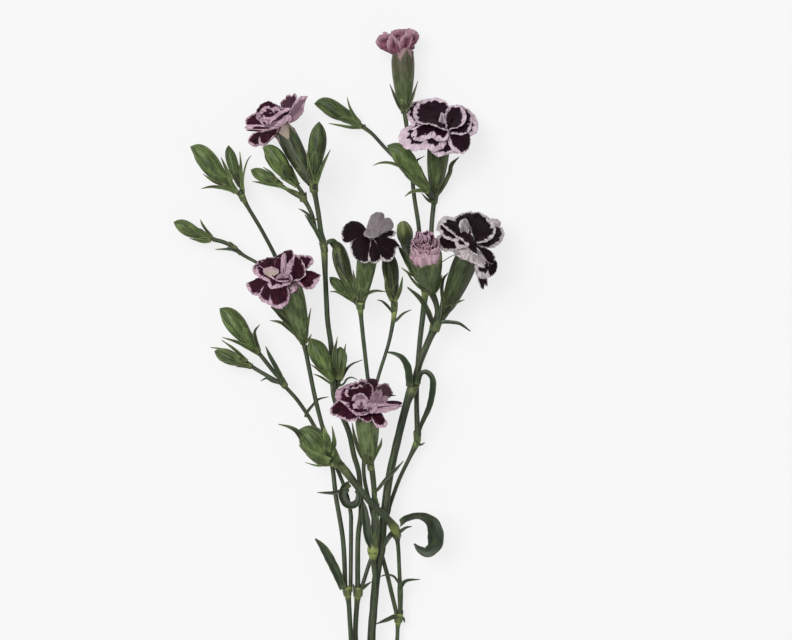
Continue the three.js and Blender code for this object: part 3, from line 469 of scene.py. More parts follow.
def green_material(name, deep, mid, fresh, pale, dull, vein_scale, rough_lo, rough_hi, bump_mm):
    """Waxy green skin: long fine veins, blotches between two greens, a pale margin, brownish warmth where tint says."""
    n = Nodes(name)
    grain = n.attr("grain")
    veins = n.noise(n.stretch(grain, vein_scale, 0.06, 3.3), 1.0, 2.0, 0.5)
    blot = n.noise(n.stretch(grain, 0.33, 0.12, 9.1), 1.0, 2.5, 0.55)
    bloom = n.noise(n.stretch(grain, 1.1, 0.45, 2.3), 1.0, 3.0, 0.6)
    tone = n.math("ADD", n.attr("mark", 2), n.math("MULTIPLY", n.math("SUBTRACT", blot, 0.5), 2.2))
    body = n.mix(n.ramp(tone, 0.0, 0.55), (*deep, 1), (*mid, 1))
    body = n.mix(n.ramp(tone, 0.5, 1.1), body, (*fresh, 1))
    body = n.mix(n.math("MULTIPLY", n.ramp(veins, 0.42, 0.72), 0.34), body, n.mix(0.55, body, (*pale, 1)))
    body = n.mix(n.math("MULTIPLY", n.ramp(veins, 0.30, 0.48, 1.0, 0.0), 0.42), body, (*deep, 1))
    body = n.mix(n.math("MULTIPLY", n.ramp(bloom, 0.5, 0.8), 0.22), body, (*dull, 1))
    edge = n.ramp(n.attr("mark", 0), 0.10, 0.60, 0.30, 0.0)
    body = n.mix(edge, body, (*pale, 1))
    # tint x turns the green paler (joints and the feet of parts, and a painted highlight on the end-on bud's top); tint
    # y darkens it (stripes, tips and other dark marks, and painted shade on the end-on bud's lower half).
    body = n.mix(n.math("MULTIPLY", n.attr("tint", 0), 0.85), body, (*pale, 1))
    body = n.mix(n.math("MULTIPLY", n.attr("tint", 1), 0.8), body, (*srgb("1c2319"), 1))
    body = n.mix(n.math("MULTIPLY", n.attr("tint", 2), 0.8), body, (*srgb("4a3c33"), 1))
    rough = n.ramp(bloom, 0.25, 0.8, rough_lo, rough_hi)
    height = n.math("ADD", veins, n.math("MULTIPLY", bloom, 0.35))
    normal = n.bump(height, 0.5, bump_mm * 0.001)
    m = n.finish(body, rough, normal)
    n.bsdf.inputs["Specular IOR Level"].default_value = 0.36
    n.bsdf.inputs["Coat Weight"].default_value = 0.05
    n.bsdf.inputs["Coat Roughness"].default_value = 0.35
    return m


PETAL = {
    "dark": petal_material("petal_velvet_dark", srgb("16040e"), srgb("260917"), srgb("dac6d1"), srgb("a8949f"), srgb("9d8d96"), srgb("5f4c56"), srgb("9a9484")),
    "ash": petal_material("petal_velvet_ash", srgb("12070c"), srgb("200f16"), srgb("cfc6c8"), srgb("948a8d"), srgb("8f8689"), srgb("544a4e"), srgb("8f8b7c")),
    "mauve": petal_material("petal_velvet_mauve", srgb("220612"), srgb("3b1023"), srgb("cbaebb"), srgb("97798a"), srgb("947984"), srgb("55384a"), srgb("a39a84")),
    "blush": petal_material("petal_blush", srgb("34122a"), srgb("5d2c4a"), srgb("e0c0cc"), srgb("bc98a9"), srgb("cfafbb"), srgb("7c4f66"), srgb("c4b0a8"), 0.5),
    "pink": petal_material("petal_velvet_pink", srgb("4e2738"), srgb("94606f"), srgb("b3929d"), srgb("8f6a78"), srgb("8d6c79"), srgb("5e3b49"), srgb("b09c92"), 1.3),
}
GREEN = {
    "calyx": green_material("calyx_green", srgb("1d230f"), srgb("3b4824"), srgb("66774a"), srgb("8f9870"), srgb("67715c"), 2.2, 0.44, 0.66, 0.12),
    "bud": green_material("bud_green", srgb("1e2610"), srgb("425428"), srgb("6f8449"), srgb("949f69"), srgb("6e7a5c"), 1.7, 0.44, 0.66, 0.14),
    "stem": green_material("stem_green", srgb("20281c"), srgb("343f2d"), srgb("4f5b36"), srgb("8c9a54"), srgb("5a6659"), 2.6, 0.42, 0.64, 0.10),
    "leaf": green_material("leaf_green", srgb("1b2419"), srgb("2d3926"), srgb("46572f"), srgb("6f7c55"), srgb("4f5c49"), 2.4, 0.42, 0.62, 0.12),
}


def wood_material():
    n = Nodes("woody_base")
    grain = n.attr("grain")
    rings = n.noise(n.stretch(grain, 0.5, 1.4, 2.0), 1.0, 3.0, 0.6)
    fibre = n.noise(n.stretch(grain, 2.4, 0.14, 5.0), 1.0, 3.0, 0.6)
    blot = n.noise(n.stretch(grain, 0.3, 0.25, 8.0), 1.0, 2.0, 0.5)
    body = n.mix(n.ramp(fibre, 0.3, 0.75), (*srgb("5a4b36"), 1), (*srgb("8a7a58"), 1))
    body = n.mix(n.ramp(blot, 0.42, 0.7), body, (*srgb("66704a"), 1))
    body = n.mix(n.math("MULTIPLY", n.ramp(rings, 0.55, 0.75), 0.6), body, (*srgb("3b3024"), 1))
    body = n.mix(n.attr("tint", 1), body, (*srgb("c3b48b"), 1))
    height = n.math("ADD", fibre, rings)
    return n.finish(body, n.ramp(fibre, 0.2, 0.8, 0.66, 0.88), n.bump(height, 0.7, 0.00035))


WOOD = wood_material()


# ---------------------------------------------------------------- stems, leaves, buds and flower tubes

PIECES = {}


def skin_of(node):
    return PIECES.setdefault(node, Skin())


def px(rows):
    """(u, v, z, extra...) rows to points in mm."""
    return [np.concatenate([at(*r[:3]), np.asarray(r[3:], float)]) for r in rows]


def tube(skin, rows, seed, sides=16, step=1.6, ribs=0.03, tone=0.5, joint=None, ext=(1.2, 1.2), mat=0, cut=False, bulge=True, warm=0.0):
    """A stem skin through rows (u, v, z, r), lengthened at each end so that it runs into its neighbour."""
    p = px(rows)
    a, b = p[0].copy(), p[-1].copy()
    d0, d1 = unit(p[1][:3] - p[0][:3]), unit(p[-1][:3] - p[-2][:3])
    if ext[0]:
        a[:3] -= d0 * ext[0]
        p = [a] + p
    if ext[1]:
        b[:3] += d1 * ext[1]
        p = p + [b]
    q = spline(p, step)
    pts, r = q[:, :3], q[:, 3]
    t, x, y = frames(pts)
    s = np.concatenate([[0], np.cumsum(np.linalg.norm(np.diff(pts, axis=0), axis=1))])
    base = np.median(r)
    th = np.arange(sides) / sides * math.tau
    S, TH = np.meshgrid(s, th, indexing="ij")
    rr = r[:, None] * (1 + ribs * np.cos(5 * TH + seed) + 0.018 * np.cos(8 * TH + 2 * seed) + 0.03 * wave_noise(S * 0.35, TH * 1.0, seed))
    grid = pts[:, None, :] + rr[:, :, None] * (np.cos(TH)[:, :, None] * x[:, None, :] + np.sin(TH)[:, :, None] * y[:, None, :])
    near = smooth((r / base - 1.12) / 0.4) if bulge else np.zeros_like(r)
    tone_a = tone + 0.25 * near[:, None] + 0 * TH
    dark = 0.35 * smooth((np.cos(3 * TH + S * 0.02 + seed) - 0.2) / 0.8) * 0.5 * (1 - near[:, None])
    solid(skin, grid, (TH * base * 1.0, S, seed * 1.7), (5 + 0 * S, 0 * S, tone_a), (0.9 * near[:, None] + 0 * S, dark, warm + 0 * S), mat)
    return pts


def leaf(skin, rows, seed, roll=0.0, fold=35.0, thick=0.42, tone=0.45, cols=9, step=1.1, mat=0, curl=0.0, facing=(0, 0, 1), warm=0.0, joint=0.0, wavy=0.0, dark=0.0, px_in=True):
    """A narrow leaf or bract through rows (u, v, z, width_mm[, turn_deg]): channelled, keeled, with thin pale margins."""
    p = px(rows) if px_in else [np.asarray(r, float) for r in rows]
    if len(p[0]) == 4:
        p = [np.append(q, 0.0) for q in p]
    q = spline(p, step)
    pts, w, turn = q[:, :3], np.maximum(q[:, 3], 0.12), q[:, 4] + roll
    t = np.gradient(pts, axis=0)
    t /= np.linalg.norm(t, axis=1)[:, None] + 1e-9
    up = np.asarray(facing, float)
    n = up[None, :] - (t @ up)[:, None] * t
    n /= np.linalg.norm(n, axis=1)[:, None] + 1e-9
    for i in range(1, len(n)):
        if n[i].dot(n[i - 1]) < 0.2:
            n[i] = unit(n[i - 1] - n[i - 1].dot(t[i]) * t[i])
    x = np.cross(t, n)
    ca, sa = np.cos(np.radians(turn))[:, None], np.sin(np.radians(turn))[:, None]
    x, n = ca * x + sa * n, ca * n - sa * x
    s = np.concatenate([[0], np.cumsum(np.linalg.norm(np.diff(pts, axis=0), axis=1))])
    u = np.linspace(-1, 1, cols)
    S, U = np.meshgrid(s, u, indexing="ij")
    W = w[:, None] / 2
    f = math.radians(fold)
    a = np.abs(U)
    across = np.sign(U) * W * (a * math.cos(f) + (1 - math.cos(f)) * 0.0)
    lift = W * math.sin(f) * (np.sqrt(a * a + 0.03) - math.sqrt(0.03))
    lift = lift + curl * W * a**3 + wavy * wave_noise(S * 0.35, U * 1.2, seed) * a
    across = across * (1 + 0.03 * np.sin(S * 1.1 + seed))
    grid = pts[:, None, :] + across[:, :, None] * x[:, None, :] + lift[:, :, None] * n[:, None, :]
    th = thick * (1 - 0.72 * a**2) * np.clip(w / 2.2, 0.35, 1.0)[:, None]
    edge = (1 - a) * W
    L = s[-1]
    tip = smooth(1 - (L - S) / 2.5)
    jt = joint * smooth(1 - S / 4.0)
    sheet(skin, grid, th, (U * W, S, seed * 1.3), (edge + 0.1, 0 * S, tone + 0.05 * U), (edge + 0.1, 0 * S, tone - 0.12 + 0 * U), (jt, dark + 0.25 * (1 - smooth(a / 0.25)) * 0.4, warm + 0.35 * tip), mat=mat)


class Axis:
    """A body about a centreline: C(s), a frame and a radius for s in 0..1, reached beyond both ends."""

    def __init__(self, rows, prof, roll=0.0, px_in=True):
        p = np.array([at(*r[:3]) for r in rows]) if px_in else np.asarray(rows, float)
        q = spline(p, 0.8) if len(p) > 2 else np.array([p[0] + (p[-1] - p[0]) * k for k in np.linspace(0, 1, 24)])
        d = np.concatenate([[0], np.cumsum(np.linalg.norm(np.diff(q, axis=0), axis=1))])
        self.L = d[-1]
        self.s = d / d[-1]
        self.q = q
        self.t, x, y = frames(q)
        c, s_ = math.cos(math.radians(roll)), math.sin(math.radians(roll))
        self.x, self.y = c * x + s_ * y, c * y - s_ * x
        self.prof = np.asarray(prof, float)

    def _at(self, arr, s):
        return np.stack([np.interp(s, self.s, arr[:, i]) for i in range(3)], -1)

    def radius(self, s):
        return np.interp(s, self.prof[:, 0], self.prof[:, 1])

    def point(self, s, psi, h=0.0):
        """Point h mm outside the skin at height s and angle psi (arrays)."""
        s = np.asarray(s, float)
        c = self._at(self.q, np.clip(s, 0, 1))
        t = self._at(self.t, np.clip(s, 0, 1))
        over = np.where(s > 1, (s - 1) * self.L, np.where(s < 0, s * self.L, 0.0))
        c = c + t * over[..., None]
        x, y = self._at(self.x, np.clip(s, 0, 1)), self._at(self.y, np.clip(s, 0, 1))
        r = (self.radius(np.clip(s, 0, 1)) + h)[..., None]
        return c + r * (np.cos(psi)[..., None] * x + np.sin(psi)[..., None] * y)

    def facing(self, d):
        """The angle psi whose outward direction is nearest d at mid height."""
        i = len(self.q) // 2
        d = np.asarray(d, float)
        return math.atan2(d.dot(self.y[i]), d.dot(self.x[i]))


def curve(points, n=60):
    """A smooth profile through (s, r) pairs."""
    p = np.asarray(points, float)
    q = np.vstack([2 * p[0] - p[1], p, 2 * p[-1] - p[-2]])
    out = []
    for i in range(1, len(q) - 2):
        for j in range(10):
            t = j / 10
            a, b, c, d = q[i - 1], q[i], q[i + 1], q[i + 2]
            out.append(0.5 * (2 * b + (c - a) * t + (2 * a - 5 * b + 4 * c - d) * t * t + (3 * b - a - 3 * c + d) * t**3))
    out.append(q[-2])
    return np.array(out)


def bract(skin, ax, psi, s0, s1, width, h0=0.25, lift=0.0, seed=1, tone=0.5, thick=0.34, awl=0.22, mat=0, warm=0.0, flare=0.0, dark=0.0):
    """A scale that hugs the body from s0 to s1 at angle psi: width in radians at its widest, tip drawn to an awl, margins thin."""
    R, C = 17, 11
    v = np.linspace(0, 1, R)[:, None]
    u = np.linspace(-1, 1, C)[None, :]
    wide = np.interp(v, [0, 0.12, 0.35, 0.6, 0.8, 0.92, 1], [0.75, 0.92, 1.0, 0.74, 0.4, awl, 0.04])
    s = s0 + (s1 - s0) * v + 0 * u
    rr = ax.radius(np.clip(s, 0, 1))
    narrow = np.clip(ax.radius(0.5) / np.maximum(rr, 0.8), 0.7, 2.4)
    ang = psi + u * width * wide * np.where(s > 0.4, narrow, 1.0)
    h = h0 + 0 * u + lift * smooth((v - 0.45) / 0.55) ** 1.3 * (1 + 0 * u) - 0.12 * u * u + flare * v**3
    h = h + 0.18 * np.maximum(0, 1 - np.abs(u) * 3) * (1 - v)
    grid = ax.point(s, ang, h)
    half = width * wide * np.maximum(rr, 0.8)
    edge = (1 - np.abs(u)) * half
    th = thick * (1 - 0.6 * u * u) * np.interp(v, [0, 0.8, 1], [1, 0.8, 0.5])
    S = v * (s1 - s0) * ax.L + 0 * u
    sheet(skin, grid, th, (u * half, S, seed * 2.1), (edge + 0.02, 0 * S, tone + 0 * S), (edge + 0.02, 0 * S, tone - 0.1 + 0 * S), (0 * S, dark + 0 * S, warm * smooth((v - 0.7) / 0.3) + 0 * u), mat=mat)


def bud(skin, ax, seed, tone=0.5, scales=4, reach=(0.5, 0.36), mat=0, twist=0.5, warm=0.0, turn=0.0, lift=0.25, painted_light=0.0):
    """A closed bud: five folded teeth wrapped over each other towards the tip, with pairs of scales at its foot."""
    R = 34
    v = np.linspace(0, 1, R)
    per = 7
    base_th = []
    for k in range(5):
        for j in range(per):
            base_th.append((k + [0.0, 0.06, 0.24, 0.42, 0.6, 0.8, 0.965][j]) / 5)
    th = np.array(base_th) * math.tau
    V, TH = np.meshgrid(v, th, indexing="ij")
    frac = (TH / math.tau * 5) % 1.0
    amount = smooth((V - 0.22) / 0.5)
    r = ax.radius(V)
    h = amount * (0.42 * frac * (r / max(ax.prof[:, 1]) + 0.25) - 0.18) + 0.10 * np.cos(5 * (TH - 0.6)) * smooth(V / 0.4)
    h = h - 0.10 * amount * np.exp(-((frac - 0.5) / 0.08) ** 2)
    ang = TH + twist * V + turn
    grid = ax.point(V, ang, np.where(V > 0.985, 0 * h, h))
    edge = np.minimum(frac, 1 - frac) * r * math.tau / 5
    edge = np.where(V > 0.22, edge + (1 - amount) * 1.2, 2.0)
    # A painted-light amount paints a highlight over the bud's upper part (paler through tint x, strongest on the middle
    # of each tooth) and painted shade over its lower half (darker through tint y); the darker tip is then left off.
    solid(skin, grid, (TH * max(ax.prof[:, 1]), V * ax.L, seed * 1.9), (edge + 0.22, 0 * V, tone + 0.10 * np.sin(TH + seed)), (0.25 * smooth(1 - V / 0.08) + painted_light * smooth((V - 0.62) / 0.3) * (0.35 + 0.65 * smooth((0.34 - np.abs(frac - 0.5)) / 0.2)), (0.30 - 0.9 * painted_light) * smooth((V - 0.8) / 0.2) * (painted_light < 0.1) + painted_light * 0.55 * smooth((0.5 - V) / 0.4), warm * smooth((V - 0.75) / 0.25)), mat)
    rs = np.random.RandomState(seed)
    start = rs.uniform(0, math.pi)
    for i in range(scales):
        outer = i < 2
        psi = start + (i % 2) * math.pi + (0.0 if outer else math.pi / 2) + rs.uniform(-0.12, 0.12)
        top = (reach[1] if outer else reach[0]) * rs.uniform(0.92, 1.08)
        bract(skin, ax, psi, -0.01 if outer else 0.02, top, 1.0 if outer else 1.2, 0.40 if outer else 0.22, lift if outer else lift * 0.5, seed + i, tone + rs.uniform(-0.22, 0.10), mat=mat, thick=0.28)


def cup(skin, ax, seed, tone=0.5, teeth=0.16, mat=0, warm=0.0, turn=0.0, pleat=0.5, dark=0.0, scales=4, reach=(0.36, 0.3), lift=0.4, wall=0.4, spread=0.0, wide=1.15, notch=0.65):
    """A flower tube: five pointed teeth at its mouth, fine ribs, and pairs of scales at its foot."""
    R, per = 30, 10
    th = np.arange(5 * per) / (5 * per) * math.tau
    v = np.linspace(0, 1, R)
    V, TH = np.meshgrid(v, th, indexing="ij")
    frac = (TH / math.tau * 5) % 1.0
    tri = 1 - np.abs(2 * frac - 1)
    top = 1.0 - teeth + teeth * 1.75 * ((1 - notch) * tri + notch * np.sqrt(tri))
    s = V * top
    h = 0.10 * np.cos(10 * TH) * smooth(V / 0.3) + 0.22 * pleat * (tri - 0.5) * smooth((V - 0.5) / 0.5) + spread * smooth((V - 0.8) / 0.2) * tri
    grid = ax.point(s, TH + turn, h)
    edge = np.minimum(tri * ax.radius(np.clip(s, 0, 1)) * 0.62, (1 - V) * top * ax.L * 0.8)
    edge = np.where(V < 0.6, 3.0, edge + 3.0 * (1 - smooth((V - 0.6) / 0.25)))
    d = dark + 0.22 * smooth((V - 0.75) / 0.25)
    sheet(skin, grid[:, ::-1], wall, ((TH * ax.prof[:, 1].max())[:, ::-1], s[:, ::-1] * ax.L, seed * 1.9), ((edge + 0.1)[:, ::-1], 0 * V, tone + 0.08 * np.sin(TH + seed)[:, ::-1]), ((edge + 0.1)[:, ::-1], 0 * V, tone + 0.2 + 0 * V), (0.3 * smooth(1 - V / 0.06), d, warm * smooth((V - 0.45) / 0.5)), wrap=True, mat=mat)
    rs = np.random.RandomState(seed + 5)
    start = rs.uniform(0, math.pi)
    for i in range(scales):
        outer = i < 2
        psi = start + (i % 2) * math.pi + (0.0 if outer else math.pi / 2) + rs.uniform(-0.12, 0.12)
        t_ = (reach[1] if outer else reach[0]) * rs.uniform(0.9, 1.1)
        bract(skin, ax, psi, -0.01 if outer else 0.015, t_, wide * (0.85 if outer else 1.0), 0.40 if outer else 0.22, lift if outer else lift * 0.5, seed + i, tone + rs.uniform(-0.14, 0.10), mat=mat, thick=0.28)


def collar(skin, centre, along, r, length, seed, tone=0.75, mat=0, spikes=(3.0, 3.0), turn=0.0, spread=0.35):
    """The sheath at a joint: two leaf bases grown together round the stem, each ending in a short spike."""
    a = np.asarray(centre, float) - unit(along) * length * 0.45
    b = np.asarray(centre, float) + unit(along) * length * 0.55
    ax = Axis([a, b], [(0, r * 0.97), (0.3, r * 1.03), (1, r * 1.07)], px_in=False)
    ax.L = length
    per = 12
    th = np.arange(2 * per) / (2 * per) * math.tau
    v = np.linspace(0, 1, 10)
    V, TH = np.meshgrid(v, th, indexing="ij")
    frac = (TH / math.tau * 2) % 1.0
    tri = 1 - np.abs(2 * frac - 1)
    which = (TH >= math.pi).astype(int)
    extra = np.where(which == 0, spikes[0], spikes[1])
    s = V * (0.75 + (extra / length) * tri**2.2)
    h = spread * smooth((s - 0.6) / 1.4) * extra * 0.35 + 0.15 * np.sin(6 * TH) * 0.3
    grid = ax.point(s, TH + turn, h)
    edge = np.minimum(tri, (1 - V)) * 1.6
    sheet(skin, grid[:, ::-1], 0.3, ((TH * r)[:, ::-1], s[:, ::-1] * length, seed), ((edge + 0.15)[:, ::-1], 0 * V, tone + 0 * V), ((edge + 0.15)[:, ::-1], 0 * V, tone + 0 * V), (0.22 * (1 - V), 0 * V, 0.25 * smooth((V - 0.8) / 0.2)), wrap=True, mat=mat)


# ---------------------------------------------------------------- green parts, piece by piece

TONE = {"stem_c": 0.30, "stem_a": 0.35, "stem_b": 0.42, "stem_c_side": 0.5, "stem_b2": 0.35, "stem_t1": 0.3, "stem_b4": 0.45, "stem_d_left": 0.4, "stem_a_side": 0.4}
THIN = {"stem_a_side", "stem_far_left", "stem_b_side", "stem_r1", "stem_c_side", "stem_b4_right"}
FREE = {  # how far each end runs on into its neighbour, mm
    "stem_a_lower": (2.5, 1.5), "stem_b_lower": (2.5, 1.5), "stem_c": (2.5, 1.5), "stem_d_lower": (2.5, 1.5),
    "stem_a_side": (2.5, 1.0), "stem_far_left": (1.6, 2.0), "stem_b_side": (3.0, 1.0), "stem_c_side": (2.5, 0.8),
    "stem_r1": (2.2, 0.6), "stem_b_right": (3.0, 1.2), "stem_a_left": (3.2, 1.0), "stem_b4": (1.8, 1.2), "stem_b4_right": (1.8, 1.2),
    "stem_d_left": (2.2, 1.0), "stem_d_right": (2.2, 0.8), "stem_t1": (2.2, 2.4), "stem_b2": (2.2, 1.0), "stem_a": (2.0, 0.8), "stem_b": (1.8, 0.8),
}
ROOT = {  # how each shoot starts inside the joint or stem that carries it
    "stem_a_side": [(310.2, 373.0, 20.2, 0.85), (308.9, 367.0, 18.8, 1.0)], "stem_far_left": [(282.4, 276.6, 13.0, 0.8), (279.4, 276.2, 12.8, 0.95)],
    "stem_b_side": [(322.2, 240.0, 21.5, 0.85), (319.4, 236.6, 20.6, 1.0)], "stem_r1": [(434.0, 200.6, 3.2, 1.0), (431.8, 198.9, 4.7, 1.0)],
    "stem_c_side": [(375.2, 604.0, 11.2, 0.9), (375.9, 598.4, 13.2, 1.0)], "stem_b_right": [(358.6, 591.6, 8.4, 1.1)],
    "bud_r2": [(434.0, 200.8, 3.0, 1.1)], "bud_b": [(242.9, 198.2, 15.9, 1.1)], "bud_side_b": [(303.4, 198.8, 18.8, 1.1)], "bud_side_c": [(313.8, 189.0, 24.6, 1.3)],
    "bud_l1": [(283.8, 384.4, 13.8, 1.3)], "bud_l2": [(284.0, 385.4, 13.0, 1.2)], "bud_m1": [(333.8, 389.6, 16.0, 1.3)], "bud_m2": [(334.4, 389.6, 15.8, 1.1), (336.8, 387.0, 17.4, 1.1)],
    "bud_b4_left": [(360.2, 305.6, 18.8, 1.3)], "bud_b4_small": [(360.4, 309.6, 18.4, 1.0), (359.2, 306.6, 15.8, 1.05)], "bud_end_on": [(425.6, 287.4, 7.6, 1.2)],
}
for i, (node, rows) in enumerate(STEMS.items()):
    if node == "base_stem":
        continue
    rows = ROOT.get(node, []) + list(rows)
    if node == "stem_far_left":  # the last joint stays slim
        rows = [(r[0], r[1], r[2], min(r[3], 1.15)) for r in rows]
    tube(skin_of(node), rows, 11 + i, sides=18, step=1.5, tone=TONE.get(node, 0.38), ext=(0.3, FREE.get(node, (1.2, 1.0))[1]) if node in ROOT else FREE.get(node, (1.2, 1.0)), bulge=node != "stem_far_left")

# the woody foot: a short knobbly stock with a cut end, old leaf scars and four shoots
foot = skin_of("base_stem")
FOOT = [(u, v, z + 0.25, r * 0.95) for u, v, z, r in STEMS["base_stem"]]
tube(foot, FOOT, 3, sides=26, step=0.9, ribs=0.05, tone=0.3, ext=(0.0, 1.5), bulge=False)
ring_rows = px(FOOT)
for k, (q0, r0) in enumerate(((0.22, 4.0), (0.52, 4.45), (0.74, 5.1))):
    c = ring_rows[0][:3] * (1 - q0) + ring_rows[-1][:3] * q0
    collar(foot, c, ring_rows[-1][:3] - ring_rows[0][:3], r0 * 0.90, 1.9, 40 + k, 0.3, spikes=(0.9, 0.7), turn=0.6 * k, spread=0.2)
for node in ("stem_a_lower", "stem_b_lower", "stem_c", "stem_d_lower"):
    p = px(STEMS[node][:2])
    collar(foot, p[0][:3] + unit(p[1][:3] - p[0][:3]) * 1.0, p[1][:3] - p[0][:3], p[0][3] * 1.12, 4.0, 50, 0.5, spikes=(3.0, 2.2), turn=0.9)

# stalks of the two flowers on the upper fork
tube(skin_of("calyx_opening"), [(433.9, 323.8, 16.1, 1.35), (437.2, 313.0, 16.9, 1.45), (436.0, 303.5, 17.6, 1.55), (433.6, 297.0, 18.6, 1.8), (431.8, 293.0, 19.4, 2.0)], 61, sides=16, step=1.2, tone=0.28, ext=(2.0, 1.4), bulge=False)
tube(skin_of("calyx_right"), [(438.2, 325.6, 16.1, 1.4), (441.4, 319.8, 16.3, 1.6), (444.8, 313.9, 16.5, 1.95)], 62, sides=16, step=1.2, tone=0.34, ext=(2.0, 1.4), bulge=False)

# joints: (piece, u, v, z, direction to (u, v, z), radius, length, spikes, turn)
JOINTS = [
    ("stem_a_lower", (347.0, 591.5, 14.2), (345.0, 580.0, 15.0), 2.1, 4.4, (4.0, 3.2), 0.2),
    ("stem_b_lower", (358.0, 592.0, 8.6), (358.2, 580.0, 9.2), 2.45, 5.0, (4.2, 3.4), 0.5),
    ("stem_c", (412.2, 389.0, 15.1), (416.0, 378.0, 15.2), 2.75, 5.2, (3.6, 3.4), 0.0),
    ("stem_c", (435.2, 326.4, 15.9), (437.4, 318.0, 16.6), 2.85, 5.4, (3.0, 2.6), 1.9),
    ("stem_d_lower", (398.4, 618.5, 5.6), (398.8, 608.0, 5.9), 2.1, 4.4, (3.2, 3.6), 0.4),
    ("stem_a_left", (284.0, 384.4, 13.5), (280.4, 378.8, 13.7), 1.7, 3.4, (2.6, 2.2), 0.3),
    ("stem_b", (333.3, 381.0, 15.4), (332.6, 370.0, 15.8), 1.95, 4.0, (3.2, 3.0), 0.8),
    ("stem_b", (324.2, 249.0, 21.2), (322.6, 239.0, 21.7), 1.85, 4.0, (3.6, 3.0), 0.1),
    ("stem_b_side", (303.3, 198.4, 18.9), (302.4, 193.0, 19.6), 1.9, 3.4, (2.4, 2.2), 0.4),
    ("stem_b", (313.9, 189.0, 23.9), (313.2, 181.0, 24.0), 2.2, 3.8, (2.8, 2.6), 0.9),
    ("stem_a_side", (242.8, 198.2, 16.4), (240.6, 193.0, 16.8), 1.6, 3.2, (2.6, 2.2), 0.5),
    ("stem_b_right", (417.3, 438.0, 7.4), (417.2, 428.0, 7.3), 1.85, 4.0, (3.4, 3.2), 0.7),
    ("stem_b_right", (425.5, 288.6, 7.2), (426.0, 280.0, 7.2), 2.35, 4.2, (3.0, 3.0), 0.4),
    ("stem_b2", (434.1, 200.4, 2.6), (434.6, 194.0, 2.6), 1.9, 3.6, (2.6, 2.4), 0.6),
    ("stem_c_side", (373.1, 548.5, 17.5), (373.6, 538.0, 17.5), 2.7, 6.2, (5.0, 4.4), 0.3),
    ("stem_c_side", (370.8, 467.4, 19.9), (370.0, 462.0, 20.6), 1.8, 3.2, (2.4, 2.2), 1.0),
    ("stem_d_right", (396.2, 533.6, 14.6), (393.6, 526.0, 18.4), 2.35, 4.6, (3.6, 3.2), 0.5),
    ("stem_d_right", (343.0, 468.5, 23.6), (339.0, 464.0, 24.0), 2.2, 3.8, (2.6, 2.4), 0.9),
    ("stem_b4", (360.5, 306.0, 19.5), (360.6, 300.0, 20.2), 2.15, 3.6, (2.8, 2.6), 0.2),
    ("stem_b4_right", (394.3, 308.5, 14.4), (394.2, 300.0, 15.0), 1.65, 3.6, (2.8, 2.4), 0.6),
    ("stem_d_left", (370.9, 402.4, 12.5), (371.6, 396.0, 12.8), 1.85, 3.6, (2.2, 2.2), 0.4),
    ("stem_far_left", (234.0, 248.0, 11.0), (228.0, 244.2, 11.0), 1.5, 3.4, (3.2, 2.6), 0.6),
]
for i, (node, c, to, r, ln, sp, turn) in enumerate(JOINTS):
    a, b = at(*c), at(*to)
    collar(skin_of(node), a, b - a, r, ln, 70 + i, 0.60, spikes=sp, turn=turn)

# swollen tissue inside the forks, where several shoots leave one joint
for node, rows in (
    ("stem_a_left", [(285.4, 387.0, 13.3, 1.3), (282.4, 382.6, 13.6, 2.0), (279.8, 378.6, 13.8, 1.5)]),
    ("stem_a_side", [(243.4, 199.4, 16.2, 1.2), (241.2, 194.6, 16.4, 1.7), (239.4, 191.0, 16.6, 1.2)]),
    ("stem_c", [(434.6, 328.6, 15.9, 2.0), (436.4, 324.0, 16.2, 2.6), (437.6, 319.8, 16.4, 1.7)]),
    ("stem_b", [(333.4, 384.4, 16.0, 1.6), (333.6, 380.0, 17.4, 2.1), (334.2, 376.6, 18.6, 1.5)]),
    ("stem_b_right", [(425.2, 290.6, 7.2, 1.6), (425.4, 285.6, 7.3, 2.2), (425.2, 281.6, 7.4, 1.6)]),
    ("stem_b_side", [(303.4, 200.0, 18.8, 1.4), (302.2, 195.8, 19.0, 1.9), (301.6, 192.6, 19.6, 1.3)]),
    ("stem_b2", [(434.2, 203.0, 2.9, 1.4), (433.8, 197.8, 4.2, 1.9), (432.6, 194.2, 6.4, 1.4)]),
    ("stem_b4", [(360.4, 307.6, 18.6, 1.6), (359.6, 302.4, 18.4, 2.2), (359.2, 298.4, 18.4, 1.6)]),
):
    tube(skin_of(node), rows, 640 + len(rows[0]), sides=14, step=1.0, tone=0.36, ext=(0.6, 0.6), mat=0, bulge=False)

# leaves
LOOK = {
    "leaf_curl": dict(fold=16, thick=0.55, tone=0.30, curl=0.10, cols=13, wavy=0.10),
    "leaf_a": dict(fold=30, thick=0.5, tone=0.42, cols=11),
    "leaf_c_left": dict(fold=34, thick=0.5, tone=0.28, cols=11),
    "leaf_c_right": dict(fold=34, thick=0.5, tone=0.24, cols=11),
    "leaf_f_right": dict(fold=36, thick=0.45, tone=0.26, cols=11),
    "leaf_f_left": dict(fold=36, thick=0.45, tone=0.30, cols=11),
    "leaf_ring": dict(fold=30, thick=0.42, tone=0.30, cols=11),
}
for i, (node, rows) in enumerate(LEAVES.items()):
    leaf(skin_of(node), rows, 200 + i, joint=0.5, step=0.8, mat=2, **LOOK[node])

